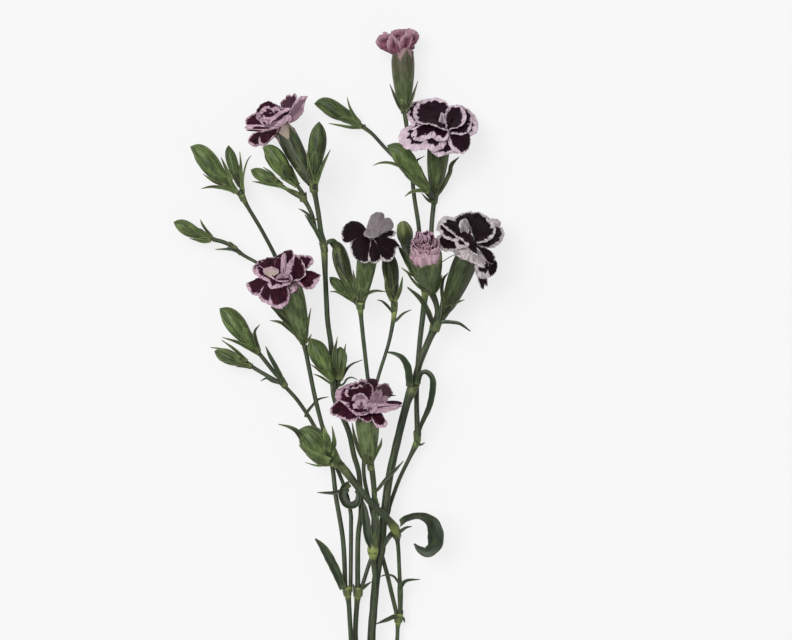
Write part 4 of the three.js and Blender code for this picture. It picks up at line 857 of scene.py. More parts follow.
# small leaves and scales at the joints: (piece, rows (u, v, z, width), fold, tone, turn)
SMALL = [
    # below and on the front stems
    ("stem_d_lower", [(398.0, 618.0, 7.4, 2.6), (394.4, 616.0, 9.0, 3.2), (387.0, 619.2, 9.8, 2.9), (375.8, 624.0, 8.8, 0.5)], 30, 0.34, 20),
    ("stem_d_lower", [(399.6, 617.0, 6.8, 2.0), (403.3, 618.4, 7.4, 1.9), (404.6, 622.6, 6.8, 0.4)], 30, 0.34, 0),
    ("stem_d_right", [(400.2, 594.0, 8.8, 2.4), (401.8, 586.0, 10.2, 2.6), (407.0, 580.6, 11.2, 2.2), (420.0, 579.4, 10.8, 0.5)], 34, 0.36, 15),
    ("stem_d_right", [(398.2, 582.0, 9.8, 1.6), (393.6, 576.2, 11.4, 1.5), (386.4, 574.8, 12.0, 1.2), (379.6, 576.7, 15.6, 0.4)], 30, 0.3, 0),
    ("stem_b_lower", [(359.6, 589.6, 10.4, 2.4), (362.7, 588.0, 11.2, 2.4), (366.6, 585.0, 13.6, 2.0), (372.0, 581.3, 15.2, 0.4)], 34, 0.4, 0),
    ("stem_c_side", [(372.4, 548.0, 19.6, 3.8), (368.2, 537.0, 20.6, 5.6), (366.0, 522.0, 20.4, 5.6), (364.0, 508.0, 19.4, 3.8), (361.6, 498.0, 18.6, 0.5)], 36, 0.34, -5),
    ("calyx_left", [(302.6, 340.6, 24.2, 2.6), (294.6, 328.4, 28.4, 5.2), (286.4, 318.0, 30.6, 5.8), (279.4, 311.6, 31.4, 4.6), (271.0, 306.4, 31.8, 0.9)], 26, 0.30, 0),
    ("calyx_opening", [(427.0, 289.5, 18.5, 2.4), (418.0, 278.0, 20.0, 4.2), (410.4, 265.5, 21.5, 4.8), (404.0, 254.5, 22.0, 3.8), (397.4, 245.0, 22.0, 0.6)], 32, 0.16, 0),
    ("stem_c_side", [(375.0, 545.0, 20.0, 3.0), (377.8, 530.0, 20.6, 3.0), (377.6, 515.0, 20.0, 2.4), (379.4, 503.0, 19.4, 0.5)], 40, 0.6, 10),
    ("stem_c_side", [(375.2, 492.0, 18.6, 1.6), (379.0, 488.0, 20.0, 2.2), (386.0, 479.0, 20.4, 2.4), (394.3, 471.0, 20.0, 2.2), (403.5, 461.0, 19.0, 0.5)], 34, 0.3, 0),
    ("stem_c_side", [(377.2, 508.0, 18.4, 2.4), (376.2, 500.0, 19.4, 2.4), (372.5, 489.0, 20.4, 0.5)], 34, 0.75, 0),
    ("stem_d_right", [(398.2, 533.6, 15.6, 2.4), (401.6, 530.6, 17.2, 2.3), (406.5, 527.5, 17.6, 1.6), (412.0, 526.4, 17.2, 0.4)], 32, 0.36, 10),
    ("stem_d_right", [(394.4, 533.6, 15.6, 3.2), (391.0, 534.4, 18.0, 3.4), (386.6, 541.0, 18.6, 2.8), (383.4, 549.0, 17.8, 0.5)], 32, 0.26, 0),
    # ring leaf's left point
    ("leaf_ring", [(349.0, 489.2, 18.6, 3.0), (342.4, 490.6, 18.8, 3.2), (334.0, 492.6, 18.4, 2.6), (325.0, 492.6, 18.0, 1.6), (317.0, 492.5, 17.6, 0.4)], 30, 0.26, 15),
    # thick stem joint and right side
    ("stem_b_right", [(416.6, 440.0, 9.0, 1.9), (417.6, 443.6, 9.8, 1.9), (421.0, 444.6, 9.8, 1.5), (424.8, 442.6, 9.6, 0.4)], 30, 0.3, 0),
    ("stem_b_right", [(426.4, 290.0, 9.6, 2.0), (420.0, 287.0, 13.6, 2.2), (414.0, 281.6, 15.6, 1.8), (406.0, 271.4, 16.6, 0.4)], 32, 0.3, 0),
    ("stem_c", [(436.6, 326.6, 18.6, 2.2), (439.6, 315.6, 19.6, 2.4), (441.0, 306.0, 19.6, 1.8), (441.4, 296.0, 19.0, 0.4)], 34, 0.4, 0),
    # front flower stem, left of it
    ("stem_a_left", [(305.4, 417.0, 12.6, 1.7), (307.4, 412.0, 13.6, 1.9), (313.4, 404.6, 14.6, 1.9), (319.0, 399.2, 14.8, 1.4), (328.7, 396.8, 13.8, 0.4)], 32, 0.28, 10),
    ("stem_b", [(334.8, 383.0, 17.0, 2.4), (341.2, 378.6, 18.4, 2.6), (345.6, 370.6, 19.4, 2.2), (352.0, 364.2, 19.6, 1.3), (362.8, 359.8, 18.8, 0.4)], 32, 0.28, 10),
    ("stem_b", [(335.4, 386.6, 17.0, 1.4), (343.0, 384.3, 18.2, 1.4), (347.0, 379.0, 19.2, 1.2), (352.0, 377.4, 19.2, 0.9), (358.0, 380.2, 18.6, 0.3)], 30, 0.2, 0),
    ("stem_b", [(325.0, 246.6, 22.8, 2.0), (328.6, 242.0, 23.6, 2.2), (333.0, 240.0, 23.6, 1.9), (337.2, 243.0, 22.8, 1.4), (340.4, 248.4, 21.0, 0.4)], 32, 0.3, 15),
    ("stem_b", [(322.6, 244.0, 23.0, 2.4), (317.0, 232.0, 24.6, 2.8), (311.0, 222.6, 25.4, 2.4), (304.8, 214.6, 25.0, 0.5)], 34, 0.38, 0),
    ("stem_b", [(317.5, 219.1, 23.1, 1.1), (311.6, 219.6, 24.4, 1.4), (308.0, 214.6, 25.4, 1.8), (303.4, 211.0, 25.6, 1.4), (298.4, 208.6, 25.2, 0.3)], 34, 0.42, 0),
    # left group
    ("stem_a_left", [(283.4, 381.4, 15.0, 2.6), (277.4, 369.6, 17.0, 3.1), (270.4, 356.8, 18.0, 2.6), (265.6, 346.2, 18.0, 0.5)], 36, 0.4, 0),
    ("stem_a_left", [(282.1, 384.2, 13.5, 1.4), (279.0, 383.0, 13.4, 1.8), (272.0, 381.0, 13.6, 1.8), (266.6, 378.2, 13.6, 1.4), (260.6, 381.0, 12.6, 0.4)], 30, 0.34, 0),
    ("stem_far_left", [(240.6, 254.6, 12.4, 1.6), (236.3, 250.8, 13.2, 2.2), (228.7, 249.2, 13.2, 1.8), (215.3, 249.4, 12.4, 0.4)], 30, 0.36, 0),
    ("bud_far_left", [(212.0, 236.6, 12.6, 1.8), (207.0, 231.0, 14.0, 1.9), (202.6, 224.6, 14.0, 1.5), (200.4, 219.6, 13.4, 0.4)], 30, 0.3, 0),
    ("bud_far_left", [(211.0, 240.4, 12.6, 2.4), (204.0, 241.4, 13.4, 2.6), (197.0, 240.0, 13.0, 1.8), (189.6, 238.4, 12.4, 0.4)], 34, 0.42, 0),
    ("bud_a", [(238.0, 192.6, 18.4, 2.2), (226.0, 188.6, 20.0, 2.4), (212.5, 186.7, 20.6, 1.9), (201.0, 188.6, 20.4, 0.4)], 32, 0.34, 0),
    ("bud_a", [(226.0, 186.0, 20.4, 2.0), (214.0, 181.4, 22.0, 2.0), (203.0, 174.2, 22.2, 0.4)], 30, 0.3, 0),
    ("bud_a", [(232.0, 180.0, 19.6, 2.6), (226.0, 168.0, 20.6, 2.2), (221.0, 157.4, 20.0, 0.4)], 32, 0.36, 0),
    ("bud_b", [(242.6, 190.0, 14.6, 2.0), (241.6, 180.0, 15.4, 2.2), (241.0, 166.0, 15.6, 1.8), (239.8, 151.6, 14.8, 0.4)], 36, 0.3, 0),
    ("bud_b", [(244.0, 193.0, 14.4, 1.3), (243.0, 180.0, 15.8, 1.3), (245.0, 168.0, 16.0, 1.1), (248.0, 159.6, 15.8, 0.8), (251.4, 155.4, 15.4, 0.3)], 30, 0.26, 0),
    ("bud_side_b", [(283.0, 186.4, 17.8, 2.2), (268.0, 184.2, 18.8, 2.0), (258.0, 182.2, 18.4, 1.2), (252.4, 181.6, 18.0, 0.3)], 32, 0.34, 0),
    ("bud_side_b", [(277.0, 181.4, 18.6, 2.0), (271.8, 173.4, 19.6, 1.8), (263.2, 167.0, 19.4, 0.4)], 32, 0.34, 0),
    ("bud_side_b", [(300.0, 194.0, 18.4, 2.4), (288.0, 189.6, 19.4, 2.4), (278.0, 186.4, 19.0, 0.5)], 32, 0.5, 0),
    ("bud_side_c", [(316.6, 184.0, 30.0, 2.4), (320.2, 172.0, 32.0, 2.6), (325.2, 160.0, 32.8, 1.9), (330.4, 149.6, 32.4, 0.4)], 36, 0.3, 0),
    ("bud_side_c", [(313.8, 184.0, 30.0, 2.4), (310.4, 172.0, 32.0, 2.4), (308.0, 160.0, 32.6, 1.6), (307.0, 150.0, 32.0, 0.4)], 36, 0.4, 0),
    ("bud_r1", [(362.0, 127.0, 6.0, 2.2), (352.0, 127.4, 7.4, 2.2), (340.7, 125.6, 7.8, 1.6), (328.8, 123.4, 7.2, 0.4)], 32, 0.34, 0),
    ("bud_r1", [(360.0, 122.4, 6.4, 2.2), (354.6, 116.0, 7.6, 2.0), (349.8, 107.0, 8.0, 1.5), (347.0, 97.0, 7.6, 0.4)], 32, 0.34, 0),
    ("bud_r2", [(429.0, 192.0, 14.6, 2.6), (420.0, 190.4, 17.6, 2.6), (411.5, 191.8, 18.0, 1.8), (404.8, 196.4, 17.4, 0.4)], 32, 0.32, 0),
    ("bud_r2", [(419.0, 183.0, 17.6, 2.6), (405.0, 169.0, 21.0, 2.6), (391.6, 163.2, 22.0, 2.0), (380.8, 162.8, 21.4, 1.3), (373.0, 165.6, 20.4, 0.3)], 32, 0.34, 0),
    # upper right flower: hooked scale on the left and a leaf on the right
    ("calyx_upper_right", [(433.0, 195.6, 6.0, 2.0), (428.4, 186.2, 9.0, 2.4), (422.6, 174.6, 11.6, 2.2), (418.4, 166.3, 13.0, 1.8), (417.0, 160.6, 13.4, 1.4), (424.6, 156.0, 13.2, 0.3)], 34, 0.26, 0),
    ("calyx_upper_right", [(436.6, 196.0, 6.2, 2.4), (443.6, 185.0, 9.4, 3.2), (449.6, 173.0, 12.0, 3.0), (451.6, 164.6, 13.2, 2.8), (459.2, 156.8, 13.8, 0.4)], 36, 0.2, 0),
    ("stem_b2", [(433.6, 203.0, 4.4, 1.8), (428.0, 200.0, 6.0, 1.8), (421.6, 193.4, 7.4, 0.4)], 32, 0.5, 0),
    # centre flower
    ("calyx_centre", [(362.0, 299.0, 22.4, 2.2), (368.0, 293.4, 25.2, 2.2), (376.0, 290.8, 26.0, 1.7), (386.4, 291.8, 25.4, 0.4)], 32, 0.3, 0),
    ("calyx_centre", [(359.0, 300.0, 21.6, 2.6), (356.0, 290.0, 23.6, 2.8), (354.6, 280.0, 24.6, 2.0), (353.0, 270.0, 24.6, 0.4)], 34, 0.42, 0),
    ("bud_b4_left", [(338.6, 252.0, 18.4, 4.4), (333.6, 244.6, 19.6, 3.6), (329.4, 241.0, 19.6, 2.6), (326.8, 244.6, 19.0, 0.5)], 24, 0.16, 0),
    ("bud_b4_left", [(355.4, 298.0, 19.0, 2.4), (348.0, 286.0, 20.6, 2.8), (342.0, 276.0, 21.0, 2.0), (337.4, 266.4, 20.6, 0.4)], 34, 0.4, 0),
    ("bud_b4_small", [(353.6, 301.6, 14.8, 1.8), (345.0, 296.0, 16.2, 2.0), (337.0, 292.0, 16.4, 1.4), (330.0, 291.6, 16.0, 0.4)], 32, 0.36, 0),
    ("bud_b4_right", [(395.0, 302.0, 17.0, 2.2), (399.6, 292.0, 19.0, 2.4), (401.4, 284.0, 19.4, 1.8), (402.6, 276.6, 19.0, 0.4)], 34, 0.3, 0),
    ("bud_b4_right", [(391.6, 301.0, 17.0, 2.2), (387.0, 290.0, 19.2, 2.4), (385.6, 280.0, 19.8, 1.6), (385.0, 270.0, 19.4, 0.4)], 34, 0.44, 0),
    ("stem_b4_right", [(393.4, 322.0, 15.6, 1.8), (397.0, 319.6, 16.2, 1.9), (403.2, 313.6, 16.8, 1.5), (411.4, 309.6, 16.2, 0.4)], 32, 0.3, 0),
    ("stem_b4_right", [(392.6, 312.0, 16.0, 1.8), (386.6, 305.0, 17.2, 1.8), (381.6, 301.0, 17.4, 1.2), (377.0, 300.0, 17.0, 0.3)], 32, 0.3, 0),
    # right flower
    ("calyx_right", [(446.0, 309.0, 19.4, 2.2), (455.0, 303.3, 22.6, 2.2), (464.6, 299.6, 23.6, 0.4)], 32, 0.3, 0),
    ("calyx_right", [(442.6, 300.0, 19.6, 2.4), (441.8, 288.0, 22.2, 2.4), (443.2, 279.2, 23.6, 2.0), (448.2, 272.8, 24.0, 0.4)], 34, 0.18, 0),
    # opening flower
    ("calyx_opening", [(417.0, 276.0, 30.6, 2.2), (410.1, 273.8, 32.6, 1.9), (401.2, 267.6, 33.0, 0.4)], 32, 0.24, 0),
    ("calyx_opening", [(429.0, 292.0, 21.6, 2.6), (420.0, 287.0, 24.8, 2.6), (412.0, 280.0, 27.0, 0.5)], 34, 0.5, 0),
    ("calyx_opening", [(434.0, 293.0, 21.6, 2.6), (438.6, 286.0, 25.0, 2.6), (442.0, 275.0, 28.0, 0.5)], 34, 0.5, 0),
    # left flower
    ("calyx_left", [(302.6, 340.0, 23.6, 2.4), (292.0, 331.0, 27.0, 2.6), (281.4, 322.8, 29.6, 2.2), (270.0, 320.4, 30.2, 0.4)], 34, 0.24, 0),
    ("calyx_left", [(305.2, 340.0, 23.4, 2.0), (307.4, 325.7, 27.4, 2.2), (311.0, 308.0, 29.6, 0.4)], 34, 0.3, 0),
    ("calyx_left", [(305.4, 343.0, 22.6, 1.8), (308.6, 339.6, 24.4, 1.8), (311.6, 334.0, 25.4, 0.4)], 34, 0.5, 0),
    ("bud_l1", [(259.0, 354.0, 18.0, 2.6), (248.0, 347.6, 21.4, 2.6), (236.0, 341.6, 22.6, 2.0), (222.3, 337.4, 22.0, 0.4)], 32, 0.3, 0),
    ("bud_l1", [(259.6, 351.0, 18.4, 2.2), (255.6, 339.0, 21.4, 2.4), (255.0, 331.0, 22.2, 1.8), (259.8, 324.6, 22.2, 0.4)], 32, 0.26, 0),
    ("bud_l2", [(252.0, 366.0, 12.0, 2.4), (238.0, 364.0, 14.0, 2.2), (226.0, 361.0, 14.4, 1.6), (219.4, 360.2, 14.0, 0.4)], 32, 0.34, 0),
    ("bud_l2", [(247.0, 361.0, 12.6, 2.4), (234.0, 349.0, 14.4, 2.0), (221.6, 340.0, 14.2, 0.4)], 32, 0.34, 0),
    ("bud_l2", [(240.0, 358.4, 13.4, 2.2), (222.0, 349.6, 13.6, 1.6), (210.4, 347.4, 12.6, 0.4)], 32, 0.44, 0),
    # lower left bud
    ("bud_l4", [(303.0, 440.0, 33.6, 3.8), (297.0, 431.4, 35.0, 3.2), (289.0, 426.8, 35.0, 1.9), (278.4, 424.2, 34.2, 0.5)], 30, 0.04, 0),
    ("bud_l4", [(322.0, 449.0, 33.0, 4.6), (318.0, 440.0, 35.6, 5.4), (311.0, 432.6, 36.0, 4.2), (303.6, 428.0, 35.4, 0.5)], 26, 0.62, 0),
    ("bud_l4", [(327.0, 452.0, 32.4, 4.4), (327.4, 441.0, 34.4, 4.8), (325.2, 433.0, 35.0, 3.0), (324.4, 425.6, 34.6, 0.4)], 30, 0.5, 0),
    ("bud_l4", [(331.0, 456.0, 30.6, 3.0), (334.0, 444.0, 32.4, 3.2), (333.6, 435.0, 33.0, 1.8), (332.0, 426.0, 32.8, 0.4)], 32, 0.36, 0),
    ("bud_l4", [(330.0, 461.0, 31.0, 4.0), (318.0, 456.4, 33.0, 4.6), (307.0, 451.0, 33.4, 3.4), (299.0, 445.0, 33.0, 0.5)], 28, 0.5, 0),
    ("bud_l4", [(334.0, 463.0, 28.6, 3.6), (322.0, 463.0, 29.4, 3.8), (312.6, 458.4, 30.0, 2.4), (306.0, 454.4, 29.8, 0.4)], 28, 0.36, 0),
    ("bud_l4", [(330.0, 463.0, 29.4, 1.6), (318.0, 465.6, 30.4, 1.4), (305.0, 462.4, 30.0, 0.3)], 30, 0.3, 0),
    # middle buds
    ("bud_m1", [(333.0, 381.6, 23.6, 2.0), (325.0, 375.0, 26.6, 2.0), (317.0, 368.6, 27.6, 1.5), (310.4, 364.2, 27.4, 0.3)], 32, 0.3, 0),
    ("bud_m1", [(330.0, 383.0, 22.6, 1.5), (321.0, 377.0, 25.4, 1.4), (313.0, 373.8, 26.0, 0.3)], 32, 0.3, 0),
    ("bud_m2", [(337.0, 380.0, 21.0, 2.8), (334.6, 366.0, 23.6, 3.4), (334.6, 352.0, 24.2, 2.8), (336.4, 343.0, 24.0, 1.2), (337.4, 336.6, 23.6, 0.3)], 34, 0.2, 0),
    ("bud_m2", [(340.6, 380.0, 21.2, 3.0), (342.4, 367.0, 23.8, 3.8), (343.6, 356.0, 24.2, 3.0), (344.8, 349.0, 24.0, 1.2), (345.9, 343.6, 23.4, 0.3)], 34, 0.2, 0),
    # front flower
    ("calyx_front", [(371.6, 462.0, 22.8, 2.6), (376.4, 452.0, 26.0, 2.8), (380.4, 445.0, 28.0, 2.0), (381.8, 438.0, 28.4, 0.4)], 34, 0.4, 0),
    ("calyx_front", [(367.0, 464.0, 22.0, 2.6), (360.0, 452.0, 25.0, 3.0), (355.0, 438.0, 27.4, 2.4), (352.0, 422.6, 28.0, 0.4)], 34, 0.16, 0),
    # top flower
    ("calyx_top", [(402.6, 111.6, 13.0, 2.0), (398.6, 104.4, 14.8, 2.5), (395.0, 96.4, 15.4, 2.2), (392.0, 89.6, 15.4, 1.2), (389.8, 84.2, 15.2, 0.4)], 34, 0.3, 0),
    ("calyx_top", [(405.4, 111.6, 13.0, 2.0), (409.4, 104.4, 14.8, 2.5), (412.6, 96.4, 15.4, 2.2), (415.4, 88.6, 15.4, 1.2), (417.8, 81.0, 15.2, 0.4)], 34, 0.3, 0),
]
for i, (node, rows, fold, tone, turn) in enumerate(SMALL):
    leaf(skin_of(node), rows, 300 + i, roll=turn, fold=fold, thick=0.38, tone=tone, cols=9, step=0.7, joint=0.35, mat=1 if node.startswith(("bud", "calyx")) else 2)

# buds
BUD_PROF = [(0, 1.0), (0.05, 1.10), (0.14, 1.38), (0.28, 1.74), (0.42, 2.02), (0.54, 2.17), (0.62, 2.2), (0.72, 2.12), (0.80, 1.92), (0.87, 1.56), (0.93, 1.04), (0.97, 0.54), (1.0, 0.06)]
BUD_BEND = {  # where the middle of each bud runs between its foot and its tip, in the view
    "bud_r1": [(349, 117.4), (336, 110.8), (325, 104.6)], "bud_r2": [(416.5, 176), (405.4, 160), (397, 150.6)], "bud_a": [(218, 174), (205.6, 158.4), (198.4, 150.6)],
    "bud_b": [(236.6, 175), (231.6, 160), (229, 150)], "bud_side_a": [(285, 171), (274.6, 157), (268.4, 150)], "bud_side_c": [(315.8, 160), (317.6, 142), (318.6, 130)],
    "bud_far_left": [(200, 234.4), (189.6, 230), (181, 225)], "bud_l1": [(246.5, 338), (235.4, 323.6), (227.6, 314.6)], "bud_l2": [(236, 360), (224, 355), (217, 352)],
    "bud_l4": [(325, 452), (313.4, 441), (306, 434.4)], "bud_m1": [(326, 367), (318.6, 353), (313.6, 344)], "bud_b4_left": [(346.5, 277), (341, 260), (338, 248)],
    "bud_b4_right": [(392, 281), (389.6, 264), (388.6, 256)],
}
BUD_FAT = {"bud_end_on": 0.82, "bud_l4": 1.00, "bud_a": 1.03, "bud_r1": 1.08, "bud_far_left": 0.93, "bud_l2": 0.92, "bud_b4_right": 1.05, "bud_m1": 1.02}
BUD_LOOK = {
    "bud_r1": dict(tone=0.54, reach=(0.46, 0.36)), "bud_r2": dict(tone=0.62, reach=(0.44, 0.34)), "bud_a": dict(tone=0.62, reach=(0.40, 0.30)),
    "bud_b": dict(tone=0.34), "bud_side_a": dict(tone=0.56), "bud_side_b": dict(tone=0.5), "bud_side_c": dict(tone=0.28),
    "bud_far_left": dict(tone=0.55), "bud_l1": dict(tone=0.62), "bud_l2": dict(tone=0.5), "bud_l4": dict(tone=0.6, reach=(0.46, 0.34)),
    "bud_m1": dict(tone=0.6), "bud_m2": dict(tone=0.3), "bud_b4_left": dict(tone=0.05, reach=(0.36, 0.28)), "bud_b4_small": dict(tone=0.42),
    # the end-on bud gets a painted highlight on its top and painted shade on its lower half
    "bud_b4_right": dict(tone=0.0, reach=(0.36, 0.28)), "bud_end_on": dict(tone=0.08, reach=(0.34, 0.26), painted_light=0.6),
}
BUD_RISE = {"bud_r1": 0.9}
BUD_NECK = {"bud_far_left": 1.55, "bud_l2": 1.35, "bud_l1": 1.15, "bud_r1": 1.15}
BUD_TIP = {"bud_m2": (340.4, 346.5), "bud_l2": (214.5, 350.8)}
for i, (node, (ped, base, tip, r, rb)) in enumerate(BUDS.items()):
    s = skin_of(node)
    rise = BUD_RISE.get(node, 0.0)
    base, tip = (base[0], base[1], base[2] + rise), (tip[0], tip[1], tip[2] + rise)
    if node in BUD_TIP:
        tip = (*BUD_TIP[node], tip[2])
    r = r * BUD_FAT.get(node, 1.0)
    rows = ROOT.get(node, []) + list(ped) + [(*base, ped[-1][3])]
    if len(rows) >= 2:
        tube(s, rows, 400 + i, sides=14, step=1.0, ext=(0.3 if node in ROOT else 1.4, 2.4), tone=0.36, mat=0, bulge=False)
    prof = []
    foot_r = max(0.9, ped[-1][3] * 1.04)
    for k, v in curve(BUD_PROF):
        prof.append((k, foot_r + (r * 0.985 - foot_r) * max(0.0, (v - 1.0) / 1.2) ** BUD_NECK.get(node, 1.0) if k < 0.62 else r * 0.985 * (v / 2.2)))
    prof = np.array(prof)
    prof[:, 1] = np.maximum(prof[:, 1], 0.06)
    mid = BUD_BEND.get(node) or [tuple(base[j] + (tip[j] - base[j]) * k for j in (0, 1)) for k in (0.3, 0.6, 0.85)]
    run = [base[:2]] + list(mid) + [tip[:2]]
    far = np.concatenate([[0], np.cumsum([math.dist(p, q) for p, q in zip(run, run[1:])])])
    ax = Axis([(u, v, base[2] + (tip[2] - base[2]) * far[j] / far[-1]) for j, (u, v) in enumerate(run)], prof)
    bud(s, ax, 420 + i * 7, mat=1, **BUD_LOOK[node])

# flower tubes
CUP_LOOK = {  # gap: the direction in which a gap between two teeth opens; elsewhere a tooth faces up
    "top": dict(tone=0.44, warm=0.75, teeth=0.11, dark=0.08, reach=(0.26, 0.20), gap=(-0.24, 0.0, 0.97), notch=0.35),
    "upper_right": dict(tone=0.34, teeth=0.08, dark=0.0, reach=(0.30, 0.24)),
    "upper_left": dict(tone=0.04, dark=0.16, teeth=0.13, reach=(0.34, 0.26), spread=0.2, gap=(0.0, 0.0, 1.0), notch=-0.4),
    "centre": dict(tone=0.62, teeth=0.08, reach=(0.30, 0.24)),
    "right": dict(tone=0.16, teeth=0.06, dark=0.22, reach=(0.30, 0.24), notch=0.3),
    "opening": dict(tone=0.34, teeth=0.06, reach=(0.34, 0.26), spread=0.1, notch=0.3, wide=0.9),
    "left": dict(tone=0.66, teeth=0.07, reach=(0.32, 0.26), notch=0.4),
    "front": dict(tone=0.74, teeth=0.10, reach=(0.32, 0.26)),
}
MOUTH = {"opening": (425.2, 255.0, 41.5, 8.6), "upper_left": (286.8, 135.8, 18.4, 5.3), "top": (402.6, 55.5, 13.1, 5.6), "left": (289.8, 288.0, 33.4, 5.9), "right": (467.4, 256.8, 30.2, 6.0)}
AX = {}
for i, (key, (base, mouth, r, rb, top)) in enumerate(TUBES.items()):
    mouth, top = (MOUTH[key][:3], MOUTH[key][3]) if key in MOUTH else (mouth, top)
    r = max(r, top) * 1.02
    a, b = at(*base), at(*mouth)
    d = b - a
    if key == "opening":  # a plain funnel
        prof = curve([(0, rb * 0.9), (0.05, rb * 1.02), (0.16, rb + (r - rb) * 0.24), (0.32, rb + (r - rb) * 0.48), (0.50, rb + (r - rb) * 0.70), (0.70, rb + (r - rb) * 0.87), (0.86, rb + (r - rb) * 0.96), (1.0, r)])
    else:
        prof = curve([(0, rb * 0.9), (0.04, rb * 1.02), (0.14, rb + (r - rb) * 0.30), (0.30, rb + (r - rb) * 0.56), (0.48, rb + (r - rb) * 0.78), (0.66, r * 0.955), (0.82, r), (0.92, r * 0.99), (1.0, max(top, r * 0.95))])
    ax = Axis([a + d * k for k in (0, 0.33, 0.66, 1)], prof, px_in=False)
    AX[key] = ax
    look = dict(CUP_LOOK[key])
    gap = look.pop("gap", None)
    look["turn"] = ax.facing(gap) if gap else ax.facing((0, 0, 1)) - math.tau / 10
    cup(skin_of("calyx_" + key), ax, 600 + i * 11, mat=1, **look)


# ---------------------------------------------------------------- petals


def petal(skin, a, b, width, facing, roll=0.0, arch=0.0, cup_=0.0, ruf=0.8, waves=2.5, bend=0.0, seed=1, claw=0.25, teeth=15, tooth=0.5, rim=2.0, side=1, disc=0.0,
          thick=0.24, full=3.0, tone=0.0, cream=0.22, dark=0.0, lean=0.0, rows=15, cols=0, crease=0.0, fan=0.62, split=0.0):
    """One petal from its claw a to the middle of its outer edge b (mm): a toothed, ruffled fan of the given width.

    facing: the side towards which +height goes; roll turns it about a-b; arch bows the length; cup_ lifts (+) or drops (-) the sides;
    bend rolls the outer part back; rim is the pale margin's width; side 1 shows the velvet face towards +height, -1 the dull one.
    """
    a, b = np.asarray(a, float), np.asarray(b, float)
    L = np.linalg.norm(b - a)
    Y = (b - a) / L
    N = np.asarray(facing, float)
    N = N - N.dot(Y) * Y
    if np.linalg.norm(N) < 0.05:
        N = np.array((0.0, 0.0, 1.0)) - Y[2] * Y
    N = unit(N)
    X = np.cross(Y, N)
    c, s = math.cos(rad(roll)), math.sin(rad(roll))
    X, N = c * X + s * N, c * N - s * X
    rs = np.random.RandomState(seed)
    cols = cols or 2 * teeth + 11
    v = np.concatenate([np.linspace(0.02, 0.80, rows - 4), [0.87, 0.93, 0.97, 1.0]])[:, None]
    u = np.linspace(-1, 1, cols)[None, :]
    half = rad(min(76, max(15, math.degrees(math.atan2(width / 2, L * fan)))))
    th = u * half * (claw + (1 - claw) * smooth(v / 0.55))
    th = th + 0.10 * half * np.sin(2.1 * u + rs.uniform(0, 6)) * v * v
    if disc:
        half = max(half, rad(48 + 30 * disc))
        th = u * half * (1 - (1 - claw) * (1 - disc) * (1 - smooth(v / 0.55)))
    m = 1 - 0.12 * np.abs(u) ** full + 0.035 * np.sin(3.3 * u + rs.uniform(0, 6)) + 0.02 * np.sin(7.7 * u + rs.uniform(0, 6))
    m = (1 - disc) * m + disc * (m * np.cos(u * half))
    # toothed margin: irregular notches
    k = np.arange(cols)
    zig = np.interp(u[0], np.sort(np.concatenate([[-1, 1], np.linspace(-0.97, 0.97, 2 * teeth) + rs.uniform(-0.022, 0.022, 2 * teeth)])),
                    np.concatenate([[0], np.where(np.arange(2 * teeth) % 2 == 0, rs.uniform(0.1, 0.6, 2 * teeth), -rs.uniform(0.35, 1.0, 2 * teeth)), [0]]))[None, :]
    notch = -split * np.exp(-((u - rs.uniform(-0.25, 0.25)) / 0.05) ** 2) if split else 0.0
    rho = L * v * m + (tooth * zig + notch * L) * smooth((v - 0.80) / 0.20) * (1 - 0.5 * np.abs(u) ** 6)
    x, y = rho * np.sin(th), rho * np.cos(th)
    x = x * (width / 2) / max(1e-6, np.abs(x).max())
    y = y * L / max(1e-6, y[-1].max() - 0.3 * tooth)
    t = np.clip(y / L, 0, 1)
    # height above the chord plane
    ph1, ph2, ph3 = rs.uniform(0, math.tau, 3)
    amp = ruf * (0.10 + 0.90 * v**2.2)
    h = amp * (0.62 * np.sin(waves * math.pi * u + ph1) + 0.38 * np.sin((waves * 1.9) * math.pi * u + ph2 + 0.8 * v))
    h = h + 0.30 * ruf * v**2 * wave_noise(u * 6.5, v * 4.0, seed + 9)
    h = h + arch * 4 * t * (1 - t) + cup_ * u * u * smooth(v * 1.3)
    h = h + crease * np.exp(-((u) / 0.16) ** 2) * v
    h = h + lean * u * v
    # roll the outer part back, then turn and rescale so that the edge's middle stays on b
    if bend:
        n = 60
        tt = np.linspace(0, 1, n)
        ang = rad(bend) * smooth((tt - 0.35) / 0.65)
        Yc = np.concatenate([[0], np.cumsum(np.cos(ang[:-1]) / (n - 1))])
        Zc = np.concatenate([[0], np.cumsum(-np.sin(ang[:-1]) / (n - 1))])
        yb, zb = np.interp(t, tt, Yc), np.interp(t, tt, Zc)
        an = np.interp(t, tt, ang)
        yy = L * yb + h * np.sin(an) + (y - t * L) * np.cos(an)
        zz = L * zb + h * np.cos(an) - (y - t * L) * np.sin(an)
        e = math.atan2(Zc[-1], Yc[-1])
        sc = 1 / math.hypot(Zc[-1], Yc[-1])
        y, h = sc * (yy * math.cos(e) + zz * math.sin(e)), sc * (-yy * math.sin(e) + zz * math.cos(e))
    grid = a + x[:, :, None] * X + y[:, :, None] * Y + h[:, :, None] * N
    out = (1 - v) * L * m
    flank = (1 - np.abs(u)) * half * rho * 0.8 + np.maximum(0, 0.62 - v) * L * 0.9
    edge = np.minimum(out, flank) * (1 + 0.12 * np.sin(5 * u + ph3)) - rim
    across = th * L * 0.75 + seed * 0.37
    cl = smooth(1 - v / max(0.02, cream)) + 0 * u
    up, down = (1.0, 0.0) if side > 0 else (0.0, 1.0)
    tk = thick * (1 - 0.45 * v**3) + 0 * u
    sheet(skin, grid, tk, (across, rho, seed * 3.7), (edge, up + 0 * edge, tone + 0 * edge), (edge, down + 0 * edge, tone + 0 * edge), (cl, dark + 0 * edge, 0 * edge))


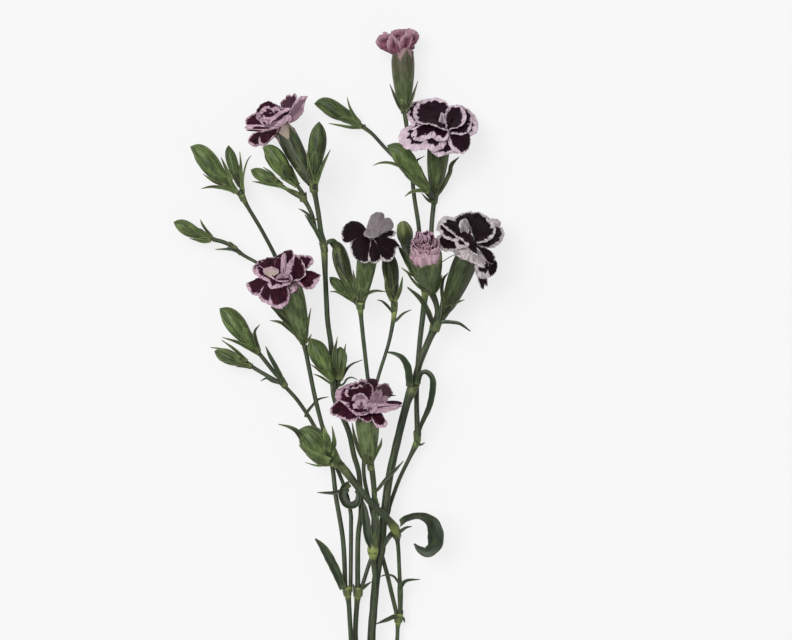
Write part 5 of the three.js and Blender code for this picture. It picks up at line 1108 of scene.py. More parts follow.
def blade(skin, a, rim, facing, band=1.8, arch=0.10, ruf=0.5, wave=5.5, tooth=0.32, pitch=1.2, seed=1, side=1, tone=0.0, cream=0.0, dark=0.0, claw=1.2, thick=0.24, rows=13, lip=0.0, step=0.6, pleat=0.0):
    """A petal from its claw at a to a given outer edge.

    rim rows are x, y, z and the pale margin's width in mm; arch bows the petal (a share of its length), ruf and wave
    are the height and length of its ruffles, pleat adds folds that run from the claw, lip turns the last part of the
    edge up.
    """
    a = np.asarray(a, float)
    q = spline(np.asarray(rim, float), 0.25)
    s = np.concatenate([[0], np.cumsum(np.linalg.norm(np.diff(q[:, :3], axis=0), axis=1))])
    n = int(np.clip(s[-1] / step, 14, 150))
    S = np.linspace(0, s[-1], n)
    P = np.stack([np.interp(S, s, q[:, i]) for i in range(3)], -1)
    bw = np.interp(S, s, q[:, 3])
    N = unit(facing)
    T = np.gradient(P, axis=0)
    T /= np.linalg.norm(T, axis=1)[:, None] + 1e-9
    O = np.cross(T, N)
    O /= np.linalg.norm(O, axis=1)[:, None] + 1e-9
    ray = P - a
    L = np.linalg.norm(ray, axis=1)
    if np.mean(np.sum(O * ray, 1)) < 0:
        O = -O
    face = np.clip(np.sum(O * ray, 1) / (L + 1e-9), 0.30, 1)
    k = np.ones(7) / 7
    face = np.convolve(np.pad(face, 3, mode="edge"), k, mode="valid")
    u = S / s[-1] * 2 - 1
    ends = smooth((1 - np.abs(u)) / 0.10)
    rs = np.random.RandomState(seed)
    m = max(5, int(s[-1] / pitch))
    at_ = np.linspace(-1, 1, 2 * m + 1) + rs.uniform(-0.25, 0.25, 2 * m + 1) / m
    zig = np.interp(u, at_, np.where(np.arange(2 * m + 1) % 2 == 0, rs.uniform(-0.1, 0.7, 2 * m + 1), -rs.uniform(0.2, 1.0, 2 * m + 1)))
    p1, p2, p3 = rs.uniform(0, math.tau, 3)
    w = ruf * (0.62 * np.sin(math.tau * S / wave + p1) + 0.38 * np.sin(math.tau * S / (wave * 0.47) + p2))
    turn = np.concatenate([[0], np.cumsum(np.arccos(np.clip(np.sum(ray[1:] * ray[:-1], 1) / (L[1:] * L[:-1] + 1e-9), -1, 1)))])
    Lm = float(np.median(L))
    X = unit(P[-1] - P[0])
    v = np.concatenate([np.linspace(0.03, 0.80, rows - 4), [0.87, 0.93, 0.97, 1.0]])[:, None]
    grid = a + (X * claw * 0.5)[None, None, :] * (u[None, :] * (1 - v))[:, :, None] + ray[None] * v[:, :, None]
    h = arch * Lm * 4 * v * (1 - v) + w[None] * ends[None] * v**2.2 + lip * smooth((v - 0.72) / 0.28)
    h = h + pleat * np.sin(turn[None] * 9 + p3) * v * (1.2 - v) + 0.10 * wave_noise(S[None] * 0.5, v * 3.0 * Lm * 0.3, seed + 3) * smooth(v * 2)
    grid = grid + h[:, :, None] * N + O[None] * ((tooth * zig)[None] * smooth((v - 0.84) / 0.16))[:, :, None]
    edge = (1 - v) * (L * face)[None] - bw[None] * (1 + 0.15 * np.sin(S * 1.1 + p3))[None]
    rho = v * L[None]
    up, down = (1.0, 0.0) if side > 0 else (0.0, 1.0)
    cl = (smooth(1 - v / cream) if cream > 0.02 else 0 * v) + 0 * rho
    tk = thick * (1 - 0.45 * v**3) + 0 * rho
    across = turn[None] * Lm * 0.75 + seed * 0.37 + 0 * v
    if np.dot(np.cross(T[n // 2], ray[n // 2]), N) < 0:
        up, down = down, up
    sheet(skin, grid, tk, (across, rho, (seed % 97) * 3.7), (edge, up + 0 * edge, tone + 0 * edge), (edge, down + 0 * edge, tone + 0 * edge), (cl, dark + 0 * edge, 0 * edge))


class Bloom:
    """A flower's face: a plane through its centre, with its outward normal."""

    def __init__(self, key):
        centre, (dx, dy), lean = FACES[key]
        self.skin = skin_of("corolla_" + key)
        self.c = at(*centre)
        d = unit((dx, dy, 0))
        self.n = unit(d * math.cos(rad(lean)) + np.array((0, 0, 1.0)) * math.sin(rad(lean)))
        self.e1 = unit(np.cross(self.n, (0.0, 0.0, 1.0)))
        self.e2 = np.cross(self.n, self.e1)
        self.k = 0

    def on(self, u, v, h=0.0):
        """The point seen at u, v that lies h mm above the face plane."""
        a, b = at(u, v, 0), at(u, v, 1) - at(u, v, 0)
        z = (h - (a - self.c).dot(self.n)) / b.dot(self.n)
        return a + b * z

    def p(self, a, b, w, **kw):
        """A petal on the face plane: a = (u, v, h), b = (u, v, h), w in view units."""
        self.k += 1
        kw.setdefault("seed", 1000 + 31 * self.k + int(abs(self.c[0] * 7)))
        petal(self.skin, self.on(*a), self.on(*b), w * UNIT, kw.pop("facing", self.n), **kw)

    def z(self, a, b, w, **kw):
        """A petal given by view and height above the table: a = (u, v, z), b = (u, v, z)."""
        self.k += 1
        kw.setdefault("seed", 1000 + 31 * self.k + int(abs(self.c[0] * 7)))
        petal(self.skin, at(*a), at(*b), w * UNIT, kw.pop("facing", (0.0, 0.0, 1.0)), **kw)

    def r(self, a, rim, band=1.8, z=False, **kw):
        """A petal with a given edge: claw and edge as (u, v, height[, margin]), heights over the face plane, or over
        the table with z.
        """
        self.k += 1
        kw.setdefault("seed", 1000 + 31 * self.k + int(abs(self.c[0] * 7)))
        f = at if z else self.on
        facing = kw.pop("facing", (0.0, 0.0, 1.0) if z else self.n)
        blade(self.skin, f(*a[:3]), [np.append(f(*r[:3]), r[3] if len(r) > 3 else band) for r in rim], facing, band=band, **kw)

    def ring(self, count, r, h0, h1, w, start=0.0, squash=1.0, inner=2.0, jitter=0.12, depth=-4.0, **kw):
        """Petals all round: claws near the throat, edges r mm out at height h1 (mm above the face plane)."""
        rs = np.random.RandomState(77 + self.k + count)
        for i in range(count):
            self.k += 1
            a = start + math.tau * i / count + rs.uniform(-jitter, jitter)
            d = math.cos(a) * self.e1 + math.sin(a) * self.e2 * squash
            rr = r * rs.uniform(0.93, 1.05)
            p0 = self.c + self.n * (h0 + depth * 0.0) + d * inner
            p1 = self.c + self.n * (h1 + rs.uniform(-0.8, 0.8)) + d * rr
            k2 = dict(kw)
            k2.setdefault("seed", 2000 + 17 * self.k)
            petal(self.skin, p0, p1, w * rs.uniform(0.92, 1.08), self.n, **k2)

    def throat(self, key, r_top=3.4, h=-1.5, cream=0.25, folds=0.0):
        """The bundle of claws between the tube's mouth and the petals."""
        ax = AX[key]
        a = ax.point(np.array(0.80), np.array(0.0), -ax.radius(0.8))
        b = self.c + self.n * h
        m = ax.point(np.array(1.02), np.array(0.0), -ax.radius(1.0))
        q = spline([np.append(a, ax.radius(0.8) * 0.86), np.append(m, ax.radius(1.0) * 0.92), np.append(m * 0.35 + b * 0.65, r_top * 1.25), np.append(b, r_top)], 0.9)
        t, x, y = frames(q[:, :3])
        th = np.arange(40) / 40 * math.tau
        s = np.concatenate([[0], np.cumsum(np.linalg.norm(np.diff(q[:, :3], axis=0), axis=1))])
        S, TH = np.meshgrid(s, th, indexing="ij")
        rr = q[:, 3][:, None] * (1 + 0.10 * np.abs(np.sin(5 * TH)) + 0.05 * np.sin(11 * TH + 1) - folds * (1 - np.abs(np.sin(6 * TH + 0.4))) ** 2)
        grid = q[:, None, :3] + rr[:, :, None] * (np.cos(TH)[:, :, None] * x[:, None, :] + np.sin(TH)[:, :, None] * y[:, None, :])
        solid(self.skin, grid, (TH * 6, S, 9.0), (2 + 0 * S, 0 * S, 0 * S), (cream * (1.0 - 0.6 * smooth(S / s[-1] * 1.1 - 0.3)), 0 * S, 0 * S))
# ---------------------------------------------------------------- the eight flowers, petal by petal
# r: a petal with a given edge, from the claw (u, v, height) along (u, v, height[, margin]); heights are mm above the
# flower's face plane, or above the table where z=True. Lower petals come first.

# upper right: a full dark flower with broad white margins, seen from above and the front
B = Bloom("upper_right")
B.ring(7, 13.0, -1.4, -4.8, 22, start=0.3, bend=30, ruf=0.9, rim=1.6, cup_=-1.0, tooth=0.35)
B.r((442, 134, -3.0), [(428, 147, -4.4), (432, 153, -5.0), (437, 156.3, -5.2), (442, 156.6, -5.2), (447, 154.6, -5.2), (453, 153.6, -5.0), (460, 152.6, -4.8), (464, 149, -4.4)], 3.4)
B.r((446, 132, -2.2), [(434, 147, -3.6), (437, 152, -4.2), (443, 153.6, -4.4), (450, 152.6, -4.4), (455, 150, -4.0)], 0.5, ruf=0.3)
B.r((446, 124, -3.0), [(464, 107, -3.4), (471, 111.5, -3.6), (476, 117.5, -3.6), (478.2, 125, -3.6), (477.4, 131, -3.4), (474, 134.8, -3.2), (468, 136, -3.0), (461, 136.4, -2.8)], 2.7)
B.r((440, 122, -2.8), [(424, 125, -2.4), (416, 125.4, -2.6), (409.5, 121.5, -2.8), (406.6, 115, -2.8), (407.2, 108.5, -2.8), (411, 103.8, -2.8), (417, 101, -2.6), (424, 100, -2.4), (431, 100, -2.2)], 1.9)
B.r((446, 122, -2.2), [(457, 104.5, -2.4), (464, 106.6, -2.4), (469.5, 110.5, -2.4), (472.6, 115, -2.4), (473, 120.5, -2.4), (471, 126.5, -2.2), (467, 131.4, -2.0), (461, 134.4, -1.8), (454, 135, -1.6)], 1.5)
B.r((455, 131, -1.6), [(447.5, 131, -1.4), (446.6, 137, -1.6), (448, 143, -2.2), (451.6, 149, -2.8), (457, 152.6, -3.2), (463, 153.8, -3.4, 0.9), (467.6, 150.6, -3.2, 0.4), (470, 145, -2.8, 0.3), (470.6, 138, -2.4, 0.3), (469, 133, -2.0, 0.5)], 1.8, arch=0.16)
B.r((436, 128, -1.6), [(413, 126.5, -1.2), (406.5, 126.8, -1.4), (402, 130, -1.8), (399, 135, -2.2), (398.8, 140.5, -2.6), (401.6, 145.6, -2.8, 4.6), (407, 149.3, -3.0, 3.8), (414, 151, -3.2, 3.7), (421, 150.2, -3.2, 3.9), (426, 149, -3.0, 3.2), (431, 151, -3.0, 3.1), (437, 151.2, -2.8, 3.1), (442, 149, -2.6, 3.2), (446, 145, -2.4, 2.6), (448, 140, -2.0, 2.0)], 5.0, arch=0.12, ruf=0.7)
B.r((432, 126, -0.8), [(431, 138, 0.2), (427, 139.6, 0.0), (422, 141.2, -0.4), (416.6, 141.0, -0.6), (412.4, 138.6, -0.6), (410.6, 134, -0.6), (411.2, 129.4, -0.4), (415, 126.6, -0.2)], 3.2, ruf=0.35)
B.r((450, 123, -0.8), [(446, 132.6, 0.4), (452, 134.2, 0.2), (458, 134.8, 0.0), (463, 134.9, -0.2), (468, 132.8, -0.6), (471, 129, -1.0), (472, 125, -1.2)], 1.4, arch=0.02, ruf=0.35)
B.r((440, 121, -0.6), [(449, 131, 1.6, 0.8), (448.4, 137.0, 1.4, 1.2), (444.6, 141.0, 1.0, 2.4), (438, 141.2, 0.8, 3.8), (432.5, 138.4, 0.6, 4.0), (428, 135.8, 0.5, 4.2), (423, 134.0, 0.4, 3.8), (417.5, 132.6, 0.3, 2.6), (413.6, 130.0, 0.2, 1.8), (411.6, 125.6, 0.2), (413, 122, 0.4)], 1.6, arch=0.02, ruf=0.35)
B.r((453, 118, -0.6), [(446, 129, 2.4), (444.6, 121, 1.4, 0.8), (445.4, 113.6, 0.6, 0.8), (447.6, 108.6, -0.1), (451.4, 105.6, -0.4), (456.4, 104.6, -0.6), (461.4, 106.4, -0.4), (464.8, 110.6, 0.0, 2.0), (466.6, 116, 0.6, 2.2), (465.4, 121.6, 1.6, 2.2), (461.4, 126, 2.4, 1.8), (455, 128.4, 2.8), (449, 129.6, 2.8)], 1.4, arch=-0.05, ruf=0.35)
B.r((432, 113, -0.4), [(449, 131.4, 3.6), (440, 128.6, 3.8), (434, 125.8, 3.6), (428, 124.2, 3.4), (421, 124.2, 2.8), (416.4, 121.8, 2.0), (413.6, 117, 1.2, 2.3), (413, 111.6, 0.5, 2.3), (414.6, 106.4, 0.0, 2.2), (418.4, 102.4, -0.4), (424, 99.8, -0.6), (430, 98.3, -0.6), (437, 97.9, -0.6), (443, 99.8, -0.6), (447.6, 103, -0.2, 1.0), (449, 107, 0.2, 0.7), (447, 113, 1.0, 0.7), (445.6, 120, 2.2, 0.9), (447.6, 126, 3.2, 1.4)], 1.9, arch=-0.05, ruf=0.35)
B.r((443, 124, 2.2), [(438.6, 121.6, 3.0), (439.8, 116.4, 3.0), (441.4, 112, 3.0), (443.6, 114, 3.0), (444.8, 119, 3.0), (446.6, 123.6, 3.4)], 0.8, tone=0.9, dark=0.5, ruf=0.2)
B.throat("upper_right", h=-2.0)

# upper left: seen from the side and a little below, a saucer of mauve-edged petals over cream claws
B = Bloom("upper_left")
Z = dict(z=True)
for q in (dict(a=(280, 122, 9.0), b=(260, 128, 7.0), w=22), dict(a=(281, 121, 9.0), b=(290, 103, 7.0), w=22), dict(a=(280, 120, 8.0), b=(269, 110, 4.0), w=22), dict(a=(281, 121, 8.0), b=(279, 106, 4.0), w=20)):
    B.z(q["a"], q["b"], q["w"], facing=(-0.35, 0.75, -0.5), side=1, ruf=0.9, rim=1.2)
B.r((288, 114, 13.0), [(280.6, 110, 11.0), (280.4, 104, 10.6), (282.4, 99.6, 10.4), (285.6, 98.2, 10.2), (286.4, 95.6, 10.2), (289.4, 94.2, 10.2), (292, 95.6, 10.4), (294.4, 93.2, 10.6), (296.8, 95, 10.8), (296.4, 99.4, 11.2), (294.4, 104, 11.8), (291.4, 109.6, 12.6)], 0.7, facing=(-0.2, 0.2, 0.95), ruf=0.5, dark=0.15, **Z)
B.r((285, 123, 17.0), [(291, 108.4, 16.6), (294.4, 103.4, 17.2), (297, 99, 17.8), (300.4, 96.2, 18.4), (304, 96, 19.2), (307.6, 96, 19.6), (306, 100, 20.2), (304.6, 104.4, 20.6), (303.6, 108.6, 21.0)], 1.1, side=1, facing=(0.3, -0.35, 0.9), pleat=0.8, ruf=0.5, tone=0.8, dark=0.30, **Z)
B.r((286, 123, 19.5), [(302.6, 105.6, 21.0), (304, 109, 21.6), (303, 113, 22.2), (300.2, 116.8, 22.8), (296, 120.2, 23.4), (292, 122.4, 23.8), (288.4, 122.4, 24.0)], 0.3, side=-1, tone=0.6, facing=(0.35, -0.4, 0.9), pleat=0.5, ruf=0.4, dark=0.1, **Z)
B.r((279, 116, 14.0), [(255.6, 114.6, 10.0), (256.4, 109.6, 9.6), (259.4, 106, 9.4), (262.4, 103.2, 9.4), (266, 101.4, 9.6), (270, 101.3, 9.8), (273.4, 103, 10.2), (277.6, 104.8, 10.8), (281, 107.4, 11.6)], 0.3, facing=(-0.4, 0.3, 0.9), **Z)
B.r((285, 125, 14.6), [(264, 119, 13.6), (269, 113.4, 14.0), (276, 109, 14.4), (284, 107.6, 14.8), (290.4, 110.6, 15.4), (291.6, 117, 16.0)], 0.5, facing=(-0.25, 0.1, 0.95), ruf=0.3, cream=0.0, **Z)
B.r((266, 122, 15.6), [(256, 112.8, 12.0), (251.6, 114.4, 12.6), (248.4, 116.4, 13.2), (245.6, 119.6, 14.0), (245.4, 123.6, 15.0), (249, 126.2, 15.8), (256, 126.4, 16.6)], 1.0, facing=(-0.4, 0.1, 0.9), **Z)
B.r((276, 118, 16.0), [(257.4, 123.6, 15.6), (256, 117.6, 15.0), (258.4, 112.6, 14.6), (262, 108.8, 14.4), (265.4, 106, 14.4), (269.4, 106, 14.6), (270.6, 108.4, 15.0), (274, 106.6, 15.4), (278.4, 107.2, 15.8), (280.4, 110.6, 16.4), (279.4, 115.4, 17.2)], 1.6, arch=-0.12, facing=(-0.35, 0.2, 0.9), **Z)
B.r((268, 127, 18.5), [(256, 118.6, 15.8), (256.2, 113.8, 15.6), (257.8, 112.0, 15.6), (260.2, 114.6, 16.2), (261.4, 119.0, 17.4), (263.4, 123.6, 18.6)], 2.4, ruf=0.3, facing=(-0.4, 0, 0.9), **Z)
B.r((268, 127.6, 19.6), [(260.0, 122, 18.2), (260.4, 118.6, 18.0), (264, 116.8, 18.0), (268.6, 117.2, 18.2), (272.4, 116.4, 18.6), (276, 113.6, 19.0), (280, 111, 19.2), (284.6, 109.0, 19.2), (288.6, 107.6, 19.0), (291, 108.6, 19.0)], 2.9, side=1, ruf=0.45, facing=(-0.1, -0.2, 0.95), cream=0.0, pleat=0.2, dark=0.05, **Z)
B.r((280, 121, 20.4), [(260.4, 118.6, 18.6), (261.6, 121.6, 19.2), (264.6, 125.2, 19.8), (268.4, 127.6, 20.2), (273, 125.4, 20.6), (278, 121.4, 20.8), (283.6, 117.4, 20.8), (289, 113.4, 20.4), (292, 110.2, 20.0)], 0.2, ruf=0.25, arch=0.0, facing=(-0.1, -0.3, 0.95), cream=0.0, **Z)
for a_, b_, w_, k_ in (((279, 119.6, 14.6), (263.4, 113.6, 11.6), 19, 1), ((280, 120.6, 14.2), (291.6, 117.6, 12.4), 17, 2), ((279, 119.6, 14.0), (273.4, 108.6, 9.6), 19, 3), ((279.6, 120.4, 14.6), (282.4, 110.4, 10.6), 17, 4), ((278, 121.0, 13.6), (266.4, 122.6, 9.6), 17, 5), ((281.6, 123.4, 13.0), (275.4, 117.4, 18.4), 25, 1), ((283.4, 122.6, 13.4), (288.4, 114.4, 18.4), 20, 2), ((279, 123.6, 13.0), (268.0, 118.6, 17.2), 19, 1)):  # the heart of the flower
    B.z(a_, b_, w_, facing=(-0.35, 0.75, 0.3 if k_ < 3 else -0.2), ruf=0.8, rim=1.3, bend=14, tooth=0.4)
B.r((281, 128, 20.6), [(257, 132.2, 19.6), (252.4, 133.6, 19.2), (249.2, 137, 19.0), (247.8, 141.2, 19.0), (250.4, 145.2, 19.2, 1.7), (255, 146.8, 19.6, 1.7), (259, 145.4, 20.2, 1.4), (260.2, 140.6, 20.8, 0.9), (261.6, 135, 21.2, 0.8)], 0.5, facing=(-0.1, -0.1, 0.95), ruf=0.4, **Z)
B.r((281, 127, 21.0), [(258.6, 136.6, 20.8, 0.7), (258.8, 143, 21.2, 1.2), (262, 146.4, 21.6), (266.4, 144.6, 22.0), (270.8, 140.6, 22.4, 0.8), (274.4, 137, 22.8, 0.2), (276.4, 133, 23.0, 0.2), (277.6, 128.4, 23.0, 0.2)], 1.6, facing=(-0.1, -0.1, 0.95), ruf=0.2, arch=0.2, **Z)
B.r((272, 128, 19.8), [(261, 124.4, 18.0), (254, 124.6, 17.2), (247.4, 125.2, 16.6), (244.4, 127.4, 16.8), (247.4, 129.4, 17.4), (254, 129.8, 18.2), (262, 130.6, 19.0)], 2.2, facing=(-0.2, -0.3, 0.9), ruf=0.3, **Z)
B.r((270, 129.6, 18.6), [(262, 130.2, 17.8), (254, 129.8, 16.8), (247.4, 129.4, 15.8), (246.2, 130.6, 16.0), (254, 131.2, 17.0), (262, 131.8, 18.2)], 0.0, facing=(-0.2, -0.5, 0.8), ruf=0.15, tooth=0.1, **Z)
B.r((285, 126, 20.6), [(259, 132.6, 21.4), (262.4, 131.2, 21.8), (266, 130, 22.2), (270.4, 127.8, 22.8), (275, 124.4, 23.2), (279.4, 120.8, 23.4), (284, 117.0, 23.4), (288.4, 114.8, 23.2), (291.2, 116.2, 23.0), (292, 119.6, 22.8)], 3.4, side=1, ruf=0.35, facing=(0.0, -0.5, 0.87), cream=0.35, pleat=0.25, **Z)
B.throat("upper_left", r_top=3.8, h=-5.2, cream=0.8)

# centre: few broad petals, two dark ones below, one dark on the left, one standing pale with its back to the viewer
B = Bloom("centre")
B.ring(5, 9.0, -1.6, -4.0, 16, start=0.5, bend=26, ruf=0.4, rim=0.6, tooth=0.3)
B.r((369, 236.5, -1.2), [(362.4, 237.6, -1.2), (356, 239.6, -1.4), (351, 240.2, -1.6), (346.5, 243.2, -1.9, 0.2), (343, 241.6, -2.1, 0.4), (341.2, 236, -2.2, 0.6), (341.4, 231, -2.2, 0.5), (343.4, 226.4, -2.2, 0.2), (347.4, 222.8, -2.1), (352, 221, -2.0), (357, 221.1, -1.8), (361.2, 223.4, -1.6), (364.4, 228, -1.4), (365.4, 232.6, -1.2)], 0.08, ruf=0.3, wave=9, arch=0.07)
B.r((376, 237, -0.6), [(381, 235.6, -0.4), (387.6, 231.6, -1.0, 0.3), (393, 230.6, -1.4, 0.3), (396, 233, -1.6, 0.9), (393.4, 236.6, -1.4, 0.9), (387, 239, -1.0, 0.6)], 0.5, ruf=0.25)
B.r((374, 240, -0.6), [(388, 238, -0.8), (393.6, 239.4, -1.4), (397.6, 242.6, -1.8), (400, 246.6, -2.0), (396.6, 248.8, -2.0), (391, 248.4, -1.6)], 0.3, ruf=0.3)
B.r((369.4, 238, 0.6), [(363, 238.8, 0.0), (355.6, 239.2, -0.6), (351.6, 242.4, -1.0, 0.5), (350.2, 248, -1.6, 0.3), (351.8, 254, -2.2, 0.4), (355.8, 259, -2.8, 0.3), (361, 262.2, -3.2, 0.3), (366, 263, -3.4, 0.2), (369.8, 260.6, -3.2, 0.4), (371.8, 255, -2.6, 0.4), (372.4, 248, -1.8, 0.3)], 0.3, ruf=0.3, wave=8, arch=0.12)
B.r((371, 238, 0.5), [(379.4, 254, -2.2, 0.7), (381, 259.4, -2.8, 1.2), (385.4, 262, -3.2, 1.1), (391, 260.8, -3.2, 0.8), (394.6, 256.6, -2.8, 0.4), (395.8, 250, -2.2, 0.2), (394.6, 244.6, -1.6, 0.2), (390.4, 240, -1.0, 0.2), (384, 238.6, -0.4, 0.2)], 2.2, ruf=0.45, wave=7, arch=0.12)
B.r((371.6, 238, 1.1), [(370.8, 242.6, 1.0, 0.25), (370.2, 250.6, -0.2, 0.4), (368.2, 257, -1.4, 0.9), (369, 261.4, -2.2, 1.0), (374, 263.6, -2.6, 0.9), (378.6, 262.4, -2.6, 0.5), (381, 257.6, -2.0, 0.5), (379, 251.4, -1.0, 0.6), (377, 245.4, 0.4, 0.4)], 0.9, ruf=0.3, wave=7, arch=0.12)
B.r((371, 239.6, 0.8), [(381, 235.4, 0.6), (387.6, 232, 0.2), (392.4, 229.4, 0.0), (393.8, 224.6, -0.2), (391.4, 219.8, -0.4), (387, 217.6, -0.4), (382.4, 218.6, -0.2), (379, 223, 0.2)], 0.6, side=-1, tone=0.9, ruf=0.4, wave=8, cream=0.0)
B.r((371.4, 240.4, 1.6), [(365, 235.4, 1.6), (366.4, 229.4, 1.0), (367.6, 224, 0.6), (369.8, 218, 0.2), (372, 214.2, 0.0), (376, 212.2, -0.2), (380.6, 212.4, -0.2), (384.2, 214, -0.2), (384.4, 219, 0.0), (383.6, 226, 0.6), (382, 233, 1.2), (378.6, 237.6, 1.8)], 0.5, side=-1, tone=1.0, ruf=0.4, wave=8, cream=0.0, pleat=0.12)
B.r((371, 229, 1.8), [(364.6, 231.2, 2.2), (363.2, 234.0, 2.4), (365.4, 236.4, 2.8), (369.0, 238.0, 3.0), (373, 238.2, 3.0), (376.4, 236.6, 2.8), (378.4, 233.6, 2.4)], 0.8, side=-1, tone=1.0, ruf=0.2, wave=12, cream=0.0)
B.throat("centre", r_top=2.2, h=-2.2)

# right: full, dark, tipped to the right, with petals hanging at the lower right
B = Bloom("right")
B.ring(6, 9.6, -1.8, -5.0, 18, start=0.9, bend=26, ruf=0.7, rim=6, tooth=0.3)
B.r((489, 231, -3.6), [(484, 215, -3.0), (489, 217.6, -3.0), (493, 218.6, -3.0), (498, 219.3, -3.0), (500.8, 222.6, -3.0), (499.6, 227.6, -3.0), (497, 232, -3.0)], 5.0)
B.r((466, 240, -2.2), [(436, 231, -1.8), (437.2, 224.6, -2.0), (440.4, 219, -2.2), (446, 215.9, -2.2), (451.4, 217.6, -2.2), (456, 219, -2.0)], 3.4, ruf=0.6)
B.r((472, 247, -2.7), [(455, 227, -2.5), (461, 219.6, -2.5), (470, 216.4, -2.5), (480, 218, -2.5), (488, 223, -2.5), (492.6, 231, -2.5), (491, 240, -2.5)], 0.4, ruf=0.3, cream=0.0)
B.r((474, 240, -1.8), [(492, 227.4, -2.0, 0.7), (496.6, 226.8, -2.2, 1.2), (500.8, 227, -2.4), (503.6, 230, -2.4), (504.2, 235.4, -2.4), (502.2, 240.6, -2.2), (498.8, 244.6, -2.0), (494, 247.6, -1.8, 1.1), (488, 248.6, -1.6, 0.8), (481.6, 248, -1.2, 0.8), (476, 247, -0.8, 0.8)], 1.7)
B.r((464, 238, -1.8), [(450, 226, -1.2, 0.7), (449, 221.6, -1.4, 0.7), (452.6, 218.4, -1.6), (458, 215, -1.8), (464, 212.7, -1.8), (470, 211.6, -1.8), (475.4, 213.2, -1.8)], 1.2)
B.r((461, 239, -1.4), [(458, 236, -0.8), (451, 235.6, -0.8), (444, 235.4, -1.0), (437.4, 236, -1.4), (436.2, 242, -1.6), (438.8, 248, -2.0), (444, 251.2, -2.2), (450, 251.8, -2.2), (456, 250.6, -2.0), (460, 247.4, -1.6)], 1.6, arch=0.12)
B.r((480, 233, -1.4), [(474, 242, 1.2, 0.7), (472, 236.6, 0.8, 0.7), (470.6, 231, 0.2, 0.7), (469.6, 225, -0.4, 0.5), (469.6, 218.6, -0.9, 0.5), (472, 213, -1.3, 0.6), (477, 212, -1.4, 0.6), (482.4, 213.4, -1.4, 1.2), (487.4, 216.6, -1.2, 1.9), (491.6, 220, -1.0, 2.4), (494.8, 224, -0.8, 2.8), (496, 229, -0.5, 2.9), (495, 234, 0.0, 2.7), (492, 238.6, 0.8, 2.5), (487, 241.6, 1.6, 2.3), (481, 243.2, 2.0, 2.1), (476, 243.2, 1.8, 1.6)], 1.5, arch=-0.05, cream=0.0, ruf=0.4)
B.r((461, 229, -0.4), [(437.6, 225, 0.4), (438.4, 231, 0.6), (443, 236.8, 0.8), (449, 240.4, 1.0), (455, 241.4, 1.2), (460, 241, 1.4)], 1.7, ruf=0.35)
B.r((468, 238, 0.2), [(457.4, 236, 1.2), (454.6, 240.6, 1.2), (455.6, 246, 1.2), (459.4, 248.8, 1.2), (464.6, 248, 1.4), (469, 248.6, 1.4)], 2.2, ruf=0.3)
B.r((468, 228, 0.2), [(439, 223.4, 1.4), (443.6, 226.8, 1.8), (449.2, 231.6, 2.2), (455.2, 236.2, 2.4), (461, 240.2, 2.6), (467, 245.4, 2.8), (473, 250.2, 2.8), (478, 254.6, 2.6)], 1.0, ruf=0.25, wave=7)
B.r((470, 240, 0.8), [(462.2, 236.4, 2.0), (463.6, 233.4, 2.2), (467.4, 232.2, 2.4), (471.4, 233.4, 2.4), (473.6, 237, 2.4), (473, 241.4, 2.2)], 0.6, ruf=0.25, cream=0.0)
B.r((464.6, 239, 1.2), [(459.6, 232, 2.4), (458.8, 226.4, 2.8), (459.8, 221.4, 3.0), (463.6, 218.6, 3.2), (467.4, 219.8, 3.2), (469.4, 224.4, 3.2), (469.2, 231, 3.0)], 1.1, cream=0.0, ruf=0.3, dark=0.95)
# hanging part, heights over the table
B.r((471, 246, 38.0), [(458, 247, 38.6), (459.4, 252.4, 38.8), (463.4, 257.4, 38.4), (468.6, 261.4, 37.8), (474, 263.6, 37.0), (479, 266.6, 36.0), (484.6, 267.8, 35.2), (488.6, 264.6, 35.0), (487.4, 258.6, 35.8), (483, 252.6, 37.0), (477, 248.4, 38.0)], 14.0, z=True, facing=(0.1, -0.3, 0.95), arch=0.08, pleat=0.25, ruf=0.4, cream=0.0)
B.r((472, 243, 41.5), [(478.6, 255.6, 43.0), (474.8, 254.8, 43.4), (470.4, 251.8, 43.6), (467.2, 247.6, 43.6)], 0.5, z=True, ruf=0.2, arch=0.05)
B.r((475, 244, 39.5), [(476, 249, 40.4, 0.8), (481, 252.4, 40.6, 0.6), (485, 258, 39.8, 0.5), (488.4, 262.6, 38.6, 0.4), (492, 264.4, 37.4), (494.8, 260.6, 36.6), (494.8, 255.6, 36.8), (491.4, 251.4, 37.6), (486.4, 249, 38.4), (481, 247.6, 39.2)], 0.25, z=True, facing=(0.3, -0.1, 0.95), ruf=0.3, arch=0.06)
B.r((481, 256, 35.6), [(474.8, 262, 34.6), (474.4, 268, 33.8), (475.6, 273.6, 33.2), (479, 277.8, 32.8), (484.4, 279.2, 32.6), (489, 277.4, 32.8), (490.8, 272.4, 33.2, 1.0), (490, 266, 34.0, 1.4)], 3.3, z=True, facing=(0.1, -0.2, 0.97), ruf=0.5)
B.r((486, 257, 35.2), [(488.6, 266, 34.4, 0.5), (488.4, 272, 33.8, 0.5), (489.8, 276.8, 33.2, 0.3), (493, 275.6, 32.8), (496.2, 271, 32.6), (497.6, 266, 32.8), (496, 260.6, 33.6), (492.4, 257, 34.6)], 0.3, z=True, facing=(0.4, -0.1, 0.92), ruf=0.3)
B.r((481.4, 268, 32.2), [(477.4, 277, 31.8), (478.4, 283, 31.2), (481, 288.2, 30.6), (483.8, 289.4, 30.4), (484.4, 286, 30.8), (487.8, 286.4, 30.6), (487.6, 281.4, 31.2), (486, 276, 31.8)], 0.4, z=True, ruf=0.25)
tube(B.skin, [(459.4, 253.6, 38.8, 0.26), (454, 255.0, 38.2, 0.26), (447.6, 258.4, 36.8, 0.25), (442.4, 261.8, 35.4, 0.24), (440.4, 263.4, 34.8, 0.30)], 9, sides=8, step=1.2, ribs=0.0, ext=(0.6, 0), tone=0.0, bulge=False)
